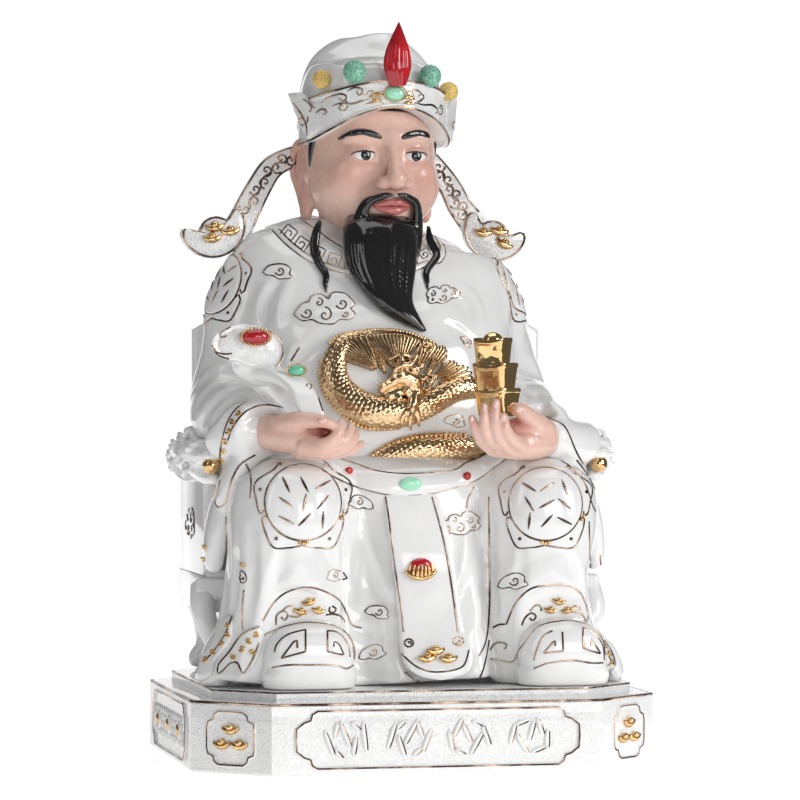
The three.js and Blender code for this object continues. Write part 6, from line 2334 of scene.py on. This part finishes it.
# A medallion's petals in shares of its disc: across, down
PETALS = [
    [
        (-0.57, -0.98), (-0.62, -1.04), (-0.78, -0.84), (-1.16, -0.61), (-1.28, -0.40), (-1.23, -0.11),
        (-1.15, 0.26), (-1.05, 0.3), (-1.04, 0.2),
    ],
    [(-0.93, 0.44), (-0.98, 0.36), (-1.06, 0.44), (-0.99, 0.76), (-0.78, 1.17), (-0.39, 1.19), (0, 1.12)],
]
PETAL_DOTS = [(-0.70, 0.95), (-1.12, -0.33)]
MEDALLION_RIM = [
    (-0.1, -1.04), (-0.6, -0.98), (-1.16, -0.61), (-1.28, -0.4), (-1.2, 0.1), (-1.05, 0.4), (-0.99, 0.76),
    (-0.78, 1.17), (-0.39, 1.19), (0, 1.12),
]


def medallion(sheet, ray, u, v, reach, seed, radius=0.62):
    """A disc between four petals, with slanted strokes on it that spell nothing."""

    def placed(rows, side=-1):
        return [(u - side * a * reach, v + b * reach) for a, b in rows]

    rim = placed(MEDALLION_RIM, LEFT) + placed(MEDALLION_RIM[:-1], RIGHT)[::-1]
    sheet.pad(ray, rim + rim[:1], 0.7)
    disc = oval(u, v, reach, reach)
    sheet.pad(ray, disc, 1.5)
    sheet.line(ray, disc, radius)
    for side in BOTH:
        for rows in PETALS:
            sheet.line(ray, placed(rows, side), radius)
        for dot in placed(PETAL_DOTS, side):
            sheet.line(ray, oval(*dot, 0.025 * reach, 0.025 * reach, 8), radius * 0.9, pitch=0.3)
    for i in range(9):
        a, b = 0.48 * (i % 3 - 1), 0.46 * (i // 3 - 1)
        slant = 1.1 * math.sin(2.3 * i + seed)
        da, db = 0.23 * math.sin(slant), 0.23 * math.cos(slant)
        sheet.bar(ray, placed([(a - da, b - db), (a, b), (a + da, b + db)]), 2 * radius + 0.8)
        a += 0.04
        sheet.line(ray, placed([(a - da, b - db), (a, b), (a + da, b + db)]), radius * 1.25, pointed=True)


# Medallions on the knees: u, v, radius
LEFT_KNEE = (303, 502.3, 38.2)
RIGHT_KNEE = (545.5, 504, 36.6)
robe_sheet = Sheet(robe_top, robe_low, collar_mesh, nape_mesh, belt_mesh)
medallion(robe_sheet, front_ray, *LEFT_KNEE, 0.4)
medallion(robe_sheet, front_ray, *RIGHT_KNEE, 2.0)
shoulder, _ = robe_sheet.at(front_ray, 220, 284)
for side in BOTH:
    centre = [shoulder[0] if side == LEFT else 2 * ARM_LEAN - shoulder[0] - 4, shoulder[1], shoulder[2]]
    medallion(robe_sheet, tilted_ray(centre, (side * 0.80, -0.50, 0.34)), 0, 0, 18.5, 1 + side)

# u, v, half width, kind, flip, turn
ROBE_CLOUDS = [
    (324.5, 308.5, 30.5, "cloud", 1, 0.0), (443, 294, 17, "cloud", -1, -0.25),
    (278, 271.5, 15, "wisp", 1, 0.05), (466, 341.5, 7, "wisp", 1, 0.7), (455, 421, 11.5, "wisp", 1, 0.1),
    (361, 503, 13, "wisp", -1, 0.3), (336.5, 576, 10.5, "wisp", -1, 0.1),
    (377.5, 612, 12.5, "wisp", 1, 0.15), (242.6, 577, 6.5, "wisp", 1, 1.4),
    (459, 524, 21, "cloud", 1, -0.12), (512.5, 582, 15.5, "wisp", 1, -0.2),
    (372, 653, 14, "wisp", 1, -0.3),
]
for cloud in ROBE_CLOUDS:
    robe_sheet.cloud(front_ray, *cloud)

# Raised ends of the drapes
DRAPE_ENDS = [
    [
        (229, 615), (233.5, 622), (231.6, 640), (223, 652), (215.5, 663), (213.4, 674), (207, 680),
        (198, 681.5), (192.4, 677), (192, 668), (196, 660), (205, 655), (213.4, 646), (220.6, 635),
        (225, 624),
    ],
    [
        (259, 626), (264, 634), (261.6, 648), (256.4, 663), (249, 671.6), (243.4, 673.6), (237, 663),
        (230, 663), (224, 669.4), (218.6, 674.4), (215.4, 671.6), (216.8, 664), (222, 657), (229.4, 650),
        (238.4, 637), (247.6, 630.6),
    ],
    [
        (597, 637), (603, 638.5), (610, 644), (616, 653), (618.6, 663), (616.6, 673), (609, 679),
        (602.4, 676), (600.6, 664), (599.4, 650),
    ],
]
for rows in DRAPE_ENDS:
    robe_sheet.pad(front_ray, rows + rows[:1], 2.0)

ROBE_LINES = [
    # cuffs
    [(285, 408), (270, 405), (257, 406), (244, 413), (233.6, 426), (228, 440)],
    [
        (255, 455), (241, 464), (233, 477), (229, 490), (225, 503), (218.5, 507.6), (214.8, 500),
        (217, 492), (220, 480),
    ],
    [(226.4, 516.6), (226.4, 543), (225, 566), (217.6, 576.8), (210.3, 579.5), (204.6, 575), (203, 569)],
    [(538, 414.6), (550, 418.6), (561, 423.5), (567.5, 431), (575, 449), (583, 464)],
    [
        (561, 460.5), (573.4, 469), (584.4, 483), (589.8, 497), (593.6, 508), (598, 512.5), (601.6, 508),
        (598, 495.6), (587.5, 475.3), (576.6, 460),
    ],
    [(589, 521.4), (589.8, 555), (591.4, 575), (596.5, 579.6), (600.6, 574), (600.2, 555)],
    # arches over the boots
    [
        (263, 621), (270.4, 607.6), (280.7, 596), (294, 589.3), (308.6, 587), (324.7, 591.5),
        (339.4, 600.3), (346.7, 613.5), (352.6, 625), (361.4, 628),
    ],
    [
        (506.3, 624.5), (515.6, 603.4), (529.7, 589.4), (545.3, 585.5), (565.6, 584.7), (579.7, 592.5),
        (586, 606.6), (588, 620),
    ],
    [(276, 625), (277, 615), (284, 611), (288, 615), (285, 620), (281, 617)],
    [(282, 611), (289, 606), (294, 608), (293, 612)],
    [(290, 616), (297, 617), (302, 615)],
    [(345, 622), (341, 616.5), (333, 614), (326, 615)],
    [(332, 606), (336, 609), (333, 613), (329, 611), (330, 607)],
    [(521.9, 625.3), (525, 618), (531, 613), (536, 616), (533, 620.5), (529.5, 618)],
    [(530, 611), (536, 605), (541, 607), (541, 611)],
    [(588, 625), (583, 616), (578, 612), (571, 612)],
    [(574, 606), (579, 607), (580, 611), (576, 612)],
    # skirt
    [(489, 497), (489.5, 560), (489.3, 610), (486, 640), (479, 656)],
    [(474, 487), (468, 499), (466.5, 508)],
    [(246, 464), (251, 478), (250, 500)],
    [(493, 627.7), (499, 624.6), (505, 624.4)],
    [(490, 650), (496, 643), (504, 643), (507, 646), (504, 649)],
    [(490, 659), (500, 660), (509, 662), (515, 659.7), (525, 642.5)],
    [
        (404.7, 672), (415.6, 680), (430, 684), (443.8, 685.2), (462, 684), (474, 681.6), (481, 675),
        (486, 658), (489, 640),
    ],
    # drapes at the sides
    [
        (258.7, 627), (248.4, 631), (239.6, 637), (229.3, 651.6), (219, 664), (218, 673), (224, 669),
        (230, 663), (237, 662.6), (243, 673), (249, 666), (254, 656), (259, 643),
    ],
    [(244, 590), (242.6, 610), (243, 631)],
    [(232, 616), (226, 632), (216, 648), (203, 663)],
    [(604, 641), (609, 647), (613, 655), (615, 664), (611, 670)],
    [(608, 655), (611, 662), (607, 666)],
    # cuff band
    [(246, 402), (236, 409), (228.5, 420), (223.5, 434), (220.5, 449), (219.5, 464)],
    # shoulder seam and chest
    [(291, 361), (296, 353), (299.5, 347.5)],
]
for rows in ROBE_LINES:
    robe_sheet.line(front_ray, rows)
for rows in (BELT_TOP, BELT_FOOT, COLLAR_OUT):
    robe_sheet.line(front_ray, rows, 0.52)
for rows in (COLLAR_OUT, COLLAR_IN):
    inner = 0.93 * np.array(rows) + 0.07 * np.array([368, 215])
    robe_sheet.line(front_ray, inner.tolist(), 0.46)


def fret(u, v, reach, turn, flip):
    """A square spiral."""
    rows = [(-1, 1), (-1, -1), (1, -1), (1, 0.75), (-0.45, 0.75), (-0.45, -0.35), (0.4, -0.35), (0.4, 0.25)]
    c, s = math.cos(turn), math.sin(turn)
    return [(u + reach * (flip * a * c - b * s), v + reach * (flip * a * s + b * c)) for a, b in rows]


# On the collar: u, v, reach, turn, flip
FRETS = [
    (289, 233, 6.5, 0.65, 1), (302, 244, 6.0, 0.6, -1), (318, 252.5, 6.0, 0.45, 1),
    (334, 260, 6.0, 0.3, -1), (350, 266, 5.5, 0.2, 1), (412, 262, 5.0, -0.4, 1),
    (425, 254, 4.6, -0.6, -1), (436, 248, 4.4, -1.1, 1),
]
for row in FRETS:
    robe_sheet.line(front_ray, fret(*row), 0.44, sharp=True)
belt_rubies = [(348.6, 471.2, 2.7, 2.3), (466.7, 476.2, 2.5, 2.4)]
robe_sheet.stones(front_ray, "belt_rubies", belt_rubies, red_look)
robe_sheet.stones(front_ray, "belt_jade", [(410.5, 484.2, 6.4, 3.8)], mint_look)

robe_sheet.finish("robe")

# Small ingots over the boots and on the sleeve: u, v, length
ROBE_INGOTS = [
    (309.3, 603, 8.0), (300.6, 612.4, 7.8), (318, 611.6, 7.8), (558.6, 602.6, 7.6), (550.2, 611, 7.4),
    (567.6, 611, 7.4), (243, 566, 4.8), (205, 548, 5.4), (204, 560, 5.2),
]
# Dots at a knee's medallion, in shares of its disc
KNEE_DOTS = [(-0.09, 1.04), (0, 1.07), (0.09, 1.04), (1.03, 0.32), (0.98, 0.42)]
# Curls on the drapes and on the cuff: u, v, reach, turn, hand
ROBE_CURLS = [
    (227, 625, 2.6, 0.4, 1), (227, 634, 3.0, 2.2, -1), (221, 643, 3.0, 0.6, 1), (213, 651.6, 3.0, 2.4, -1),
    (204.6, 659, 3.2, 0.4, 1), (256, 634, 3.0, 0.6, 1), (249, 640.6, 3.2, 2.4, -1),
    (242, 648.6, 3.2, 0.6, 1), (252, 651.4, 3.0, 2.0, -1), (234, 657, 3.0, 2.4, 1),
    (605, 646, 2.4, 0.5, 1), (609, 653.4, 2.6, 2.4, -1), (612, 662, 2.6, 0.6, 1),
    (238.6, 413, 3.0, 0.6, 1), (232.6, 421.6, 3.0, 2.6, -1), (228.6, 431, 3.0, 0.8, 1),
    (225.4, 441, 2.8, 2.8, -1), (223.4, 451, 2.6, 1.0, 1), (222, 460, 2.4, 2.8, -1),
]
robe_gold = []
for u, v, length in ROBE_INGOTS:
    place, normal = robe_sheet.at(front_ray, u, v, 0.4)
    robe_gold.append(small_ingot(place, length, normal, 0.3 * math.sin(u)))
for u, v, reach in (LEFT_KNEE, RIGHT_KNEE):
    for du, dv in KNEE_DOTS:
        place, _ = robe_sheet.at(front_ray, u + du * reach, v + dv * reach, 0.5)
        robe_gold.append(ellipsoid(place, (1.1, 1.0, 1.1), 12, 8))
for u, v, reach, turn, hand in ROBE_CURLS:
    robe_gold += stroke(robe_sheet.canvas, front_ray, spiral(u, v, reach, 1.3, turn, hand), 0.7, 0.25, 0.8)
piece("robe_gold", together(robe_gold), gold_look)

# Its two edges, its foot and two scrolls
APRON_LINES = [
    [(385.5, 497), (388.5, 516), (393.8, 558.6), (401.6, 612), (403.5, 632)],
    [(432, 497), (440, 526), (446, 551.9), (453, 595.6), (458, 633)],
    [
        (400, 652), (406, 658), (415.6, 666), (427, 671), (439, 672), (452, 670.5), (462, 667),
        (466, 661), (469, 650),
    ],
    oval(409, 643, 4.4, 4.0),
    spiral(409, 643, 2.6, 1.1),
    oval(458.5, 641.5, 5.2, 4.4),
    spiral(458.5, 641.5, 3.0, 1.1, 2.0),
]
# A row of each claw at the gem: half spread; y and its curve, z and its curve
CLAWS = 7
CLAW_ROWS = [(6.9, -2.2, 1.6, -5.6, 1.2), (6.6, -3.4, 2.6, -2.6, 1.0), (5.6, -3.6, 2.9, 0.6, 0.8)]
# The bow under the gem: x, y, z from its middle
GEM_BOW = [(-8.4, -0.4, -2.2), (-5, -1.6, -5.4), (0, -2.0, -6.6), (5, -1.6, -5.4), (8.4, -0.4, -2.2)]
apron_sheet = Sheet(apron_mesh)
for rows in APRON_LINES:
    apron_sheet.line(front_ray, rows, 0.54)
apron_gold = []
for u, v in ((435.6, 652.5), (427.2, 659.8), (448.6, 660.3)):
    place, _ = apron_sheet.at(front_ray, u, v, 0.5)
    apron_gold.append(small_ingot(place, 10.2, (0.2, -1, 0.1), 0))
gem, _ = apron_sheet.at(front_ray, 420.5, 566.5, 0.8)
for k in range(CLAWS):
    a = -1 + k / 3
    rows = []
    for x, y, y_curve, z, z_curve in CLAW_ROWS:
        rows.append([gem[0] + x * a, gem[1] + y + y_curve * a * a, gem[2] + z + z_curve * a * a])
    claw = resampled(rows, 0.5)
    apron_gold.append(pipe(claw, np.linspace(1.15, 0.5, len(claw)), 10))
apron_gold.append(pipe(resampled(gem + np.array(GEM_BOW), 0.8), 1.3, 12))
piece("apron_gold", together(apron_gold), gold_look)
piece("apron_ruby", ellipsoid(gem, (6.6, 2.9, 4.6), 36, 20), red_look)
apron_sheet.finish("apron")

# Whether a line has sharp corners, and its rows u, v
BOOT_LINES = [
    (False, [
        (261.6, 640), (266, 634), (276.3, 629.6), (290, 625), (308.6, 622.3), (332, 625.2), (344, 631),
        (352, 641), (354.5, 653), (353.3, 664),
    ]),
    (False, [(274.8, 652), (276, 646), (282.2, 638.4), (291, 633.3), (305.6, 629.6)]),
    (True, [(305.6, 629.6), (305.6, 651.6), (281.4, 658.2)]),
    (True, [(281.4, 658.2), (294, 641.4), (297, 640.6), (297.5, 648)]),
    (True, [(327.5, 651.6), (327.5, 631)]),
    (False, [(327.5, 631), (335, 631.5), (342, 636), (348.2, 645.8), (350, 657)]),
    (True, [(327.5, 651.6), (344, 655), (339, 644), (334, 641), (334, 647)]),
    (False, [
        (272, 667.8), (288, 665), (307, 664.8), (324.7, 664.8), (338, 666), (346.7, 668.5), (353.3, 665),
    ]),
    (False, [
        (514.8, 659.7), (519, 650), (525, 642.5), (536, 628.4), (548.4, 623), (568.8, 620.6),
        (584.4, 623.8), (595, 630), (603, 641), (605, 655),
    ]),
    (False, [(534, 660), (536, 653), (540.6, 641), (545, 635), (552.3, 630.8)]),
    (True, [(562.5, 632), (563.3, 651), (543.8, 653)]),
    (True, [(543.8, 653), (554.7, 640.2), (555.5, 646)]),
    (True, [(582.8, 627.7), (583.2, 648)]),
    (False, [(582.8, 627.7), (592.2, 631.6), (599, 639), (603, 647), (604.2, 660)]),
    (True, [(583.2, 648), (600.8, 654), (591.4, 639), (590.6, 646)]),
    (False, [(534, 668.5), (540, 666), (550, 662.8), (571.9, 660.5), (592.2, 663), (603, 662.8)]),
]
boot_sheet = Sheet(boot_mesh, robe_low)
for sharp, rows in BOOT_LINES:
    boot_sheet.line(front_ray, rows, 0.56, sharp=sharp)
boot_sheet.finish("boot")

HAT_LINES = [
    [(303, 99), (308, 102), (312, 108), (309, 112)],
    [(293, 102), (300, 112), (306, 124), (307, 136)],
    [(321, 103), (330, 97), (341, 94), (347, 97), (343, 101), (339, 98)],
    [(347, 91), (355, 87.5), (362, 89), (363, 94), (358, 95), (357, 91)],
    [(332, 106), (342, 103), (352, 104), (362, 101), (371, 99)],
    [(366, 95), (370, 91), (376, 92)],
    [(384, 103.5), (378, 101), (372, 103), (366, 104)],
    [(404, 103), (412, 104), (420, 101), (424, 97), (421, 94), (418, 97)],
    [(416, 103), (424, 105), (432, 105), (438, 110), (435, 114)],
    [(410, 92), (416, 90), (421, 93)],
    [(316, 113), (322, 109), (327, 112), (323, 115)],
]
# Small gold leaves beside the hat's jewel: u, v, lean
HAT_LEAVES = [
    (374, 96, 0.5), (379, 95, -0.3), (376.5, 101, 0.1), (405.5, 98, 0.3), (410.5, 98.5, -0.4),
    (408, 103.5, 0),
]
hat_sheet = Sheet(drawn["hat_band"], drawn["hat_points"], drawn["hat_crown"])
for rows in HAT_LINES:
    hat_sheet.line(front_ray, rows, 0.66, pointed=True)
for name, share in (("hat_edge_low", 0.035), ("hat_edge_high", 0.965)):
    rows = [on_band(angle, share, 3.4)[0] for angle in circle(180)]
    piece(name, pipe(rows, 0.65, 8, closed=True), line_look)
for side in BOTH:
    for angle in np.linspace(0.15, 2.6, 5):
        way = angle - np.pi / 2
        centre, normal = on_band(way if side == RIGHT else np.pi - way, 0.5, 2.6)
        hat_sheet.line(tilted_ray(centre, normal), spiral(0, 0, 4.2, 1.3, angle, side), 0.5)
hat_sheet.finish("hat")
leaves = []
for u, v, lean in HAT_LEAVES:
    place, normal = hat_sheet.at(front_ray, u, v, 0.5)
    leaves.append(small_ingot(place, 4.6, normal, lean))
leaves.append(beads((-3.5, -14.6, 334), 6.6, 4.6, 34, 0.55))
piece("hat_leaves", together(leaves), gold_look)

for name, wing in WINGS.items():
    sheet = Sheet(drawn[name + "_glazed"])
    rim = (np.array(boat_outline()) + [0, 3]) * 0.93 - [0, 3]
    rim = [on_plaque(wing, x, z, 0) for x, z in rim]
    rows = [(x, z) for x, _, z in rim]
    sheet.line(flat_front, rows + rows[:1], 0.62)
    ribbon = np.array(wing["ribbon"], float)[:, [0, 2]]
    t = np.linspace(0.03, wing["lined"], 30)
    middle = catmull(ribbon, t)
    tangent = unit(np.gradient(middle, axis=0))
    across = np.stack([-tangent[:, 1], tangent[:, 0]], 1)
    half = (5.1 + 0.5 * t * 5)[:, None]
    for side in BOTH:
        sheet.line(flat_front, (middle + side * half * across).tolist(), 0.56)
    for k in range(5, 27, 3):
        hand = 1 if k % 2 else -1
        curl = spiral(*(middle[k] + 1.5 * hand * across[k]), 3.6, 1.3, 0.9 * k, hand)
        sheet.line(flat_front, curl, 0.56, pitch=1.0)
    sway = 1.1 * np.sin(np.arange(len(middle)) * np.pi / 3)[:, None]
    sheet.line(flat_front, (middle + sway * across)[3:28].tolist(), 0.5)
    sheet.finish(name)
# Small ingots on the plaques: u, v, depth y, lean
WING_INGOTS = [
    (215, 228.5, 31.4, 0.1), (231, 232.5, 31.4, 0.15), (212.5, 239.5, 31.4, 0.1),
    (483, 234, 44.4, -0.1), (499, 232.5, 44.4, -0.2), (503.5, 245, 44.4, -0.5),
]
wing_gold = []
for u, v, y, lean in WING_INGOTS:
    wing_gold.append(small_ingot(pixel(u, v, y), 11.0, (0.1, -1, 0.05), lean))
piece("wing_gold", together(wing_gold), gold_look)

RUYI_LINES = [
    [(230.5, 327), (222.5, 331.5), (219.5, 335), (223, 337.6), (226.4, 335.6)],
    [(212.2, 345), (215, 352), (221, 356.4), (229, 359)],
    [(213.8, 348), (217, 352.4), (224, 354), (232, 353.4)],
    [(268, 330.6), (275, 335), (280, 341), (283, 348), (282.6, 355), (279.6, 362), (275.6, 366.6)],
    [(308, 375), (313, 384), (318, 397), (322.6, 411)],
    spiral(308, 386, 4, 1.1, 0.4, 1),
]
ruyi_sheet = Sheet(drawn["ruyi"])
inner = np.array(RUYI_CENTRE) + 0.8 * (np.array(RUYI_EDGE + RUYI_EDGE[:1]) - RUYI_CENTRE)
ruyi_sheet.pad(front_ray, inner.tolist(), 0.35)
for rows in RUYI_LINES:
    ruyi_sheet.line(front_ray, rows, 0.52)
ruyi_sheet.finish("ruyi", stippled_look)

# Plainer ornament at the back and the sides of the chair


def from_top(ray, top):
    """The ray for rows that count down from a height."""
    return lambda a, b: ray(a, top - b)


FRAME_HALF = 90
FRAME_FOOT = 78
FRAME_TOP = 205
FRAME_RISE = 16
# Clouds on the back: across, down, half width, flip
BACK_CLOUDS = [(0, 74, 34, 1), (-52, 112, 22, 1), (52, 112, 22, -1), (0, 142, 26, -1)]
frame_sides = [(FRAME_HALF, FRAME_TOP), (FRAME_HALF, FRAME_FOOT)]
frame_sides += [(-x, z) for x, z in reversed(frame_sides)]
crest = [(FRAME_HALF * s, FRAME_TOP + FRAME_RISE * (1 - abs(s) ** 2.4)) for s in np.linspace(-1, 1, 21)]
chair_sheet = Sheet(drawn["chair_frame"])
chair_sheet.line(back_ray, frame_sides, 0.8, sharp=True)
chair_sheet.line(back_ray, crest, 0.8)
for u, v, half, flip in BACK_CLOUDS:
    chair_sheet.cloud(from_top(back_ray, 250), u, v, half, "cloud", flip, 0.0, 0.7)
for side in BOTH:
    chair_sheet.cloud(from_top(side_ray(side), 120), 44, 33, 17, "cloud", side, 0.0, 0.6)
chair_sheet.finish("chair")


# Stage

# Where each lamp stands, its size and its power. All of them look at one point of the figure.
LAMPS = {
    "rim_left": ((-1.5, -1.0, 1.1), (0.35, 1.4), 2.8),
    "key_right": ((1.7, -1.6, 0.9), (0.8, 1.4), 28),
    "front": ((0.6, -2.4, 0.45), (1.1, 0.8), 9),
    "top": ((0, 0.1, 1.9), (1.4, 1.4), 10),
}
LAMP_TARGET = (0, 0, 0.2)
FLOOR_MIDDLE = (-0.35, 1.4)
FLOOR_HALF = (0.85, 2.6)
FLOOR_SIDES = 96
BACKDROP_WAY = (0.24, 0.971, 0)
SENSOR_WIDTH = 36


def lamp(name, place, size, watts):
    data = bpy.data.lights.new(name, "AREA")
    data.shape = "RECTANGLE"
    data.size, data.size_y = size
    data.energy = watts
    made = bpy.data.objects.new(name, data)
    made.location = place
    made.rotation_mode = "QUATERNION"
    made.rotation_quaternion = (Vector(LAMP_TARGET) - Vector(place)).to_track_quat("-Z", "Y")
    bpy.context.scene.collection.objects.link(made)


def white_floor():
    """A white table top that glows more away from the figure, so that it melts into the backdrop."""
    angle = circle(FLOOR_SIDES)
    x = np.sign(np.cos(angle)) * np.abs(np.cos(angle)) ** 0.3
    y = np.sign(np.sin(angle)) * np.abs(np.sin(angle)) ** 0.3
    x, y = FLOOR_MIDDLE[0] + FLOOR_HALF[0] * x, FLOOR_MIDDLE[1] + FLOOR_HALF[1] * y
    rim = np.stack([x, y, np.zeros(FLOOR_SIDES)], 1)
    data = bpy.data.meshes.new("floor")
    data.from_pydata(rim.tolist(), [], [list(range(FLOOR_SIDES))])
    floor = bpy.data.objects.new("floor", data)
    bpy.context.scene.collection.objects.link(floor)
    paint = Look("floor_paint", (0.9, 0.9, 0.9), 0.6)
    paint.set("Specular IOR Level", 0.1)
    paint.set("Emission Color", (1, 1, 1, 1))
    reach = paint.node("ShaderNodeVectorMath", {0: paint.place}, operation="LENGTH").outputs["Value"]
    glow = paint.remap(reach, 0.3, 1.6, 0.6, 1.0)
    paint.links.new(glow, paint.shader.inputs["Emission Strength"])
    paint.colour(paint.mix(paint.remap(paint.noise(3.0), 0.3, 0.7), (0.92, 0.92, 0.92), (0.90, 0.90, 0.90)))
    data.materials.append(paint.material)


def backdrop():
    """A white backdrop behind the figure, and a dim room on the camera's side."""
    world = bpy.data.worlds.new("studio")
    bpy.context.scene.world = world
    world.use_nodes = True
    nodes, links = world.node_tree.nodes, world.node_tree.links
    shade = nodes["Background"]
    way = nodes.new("ShaderNodeTexCoord")
    parts = nodes.new("ShaderNodeVectorMath")
    parts.operation = "DOT_PRODUCT"
    parts.inputs[1].default_value = BACKDROP_WAY
    links.new(way.outputs["Generated"], parts.inputs[0])
    glow = nodes.new("ShaderNodeMapRange")
    glow.interpolation_type = "SMOOTHSTEP"
    for socket, value in {"From Min": 0.86, "From Max": 0.975, "To Min": 0.12, "To Max": 1.1}.items():
        glow.inputs[socket].default_value = value
    links.new(parts.outputs["Value"], glow.inputs["Value"])
    links.new(glow.outputs["Result"], shade.inputs["Strength"])
    shade.inputs["Color"].default_value = (1, 1, 1, 1)


def photo_camera():
    _, _, back, place = camera_axes()
    data = bpy.data.cameras.new("photo_camera")
    data.sensor_width = SENSOR_WIDTH
    data.lens = SENSOR_WIDTH * FOCAL_PIXELS / FRAME_PIXELS
    data.clip_start, data.clip_end = 0.1, 50
    camera = bpy.data.objects.new("photo_camera", data)
    camera.location = place / 1000
    camera.rotation_mode = "QUATERNION"
    camera.rotation_quaternion = Vector(-back).to_track_quat("-Z", "Y")
    bpy.context.scene.collection.objects.link(camera)
    bpy.context.scene.camera = camera


bpy.context.scene.view_settings.view_transform = "Standard"
white_floor()
backdrop()
for name, (place, size, watts) in LAMPS.items():
    lamp(name, place, size, watts)
photo_camera()
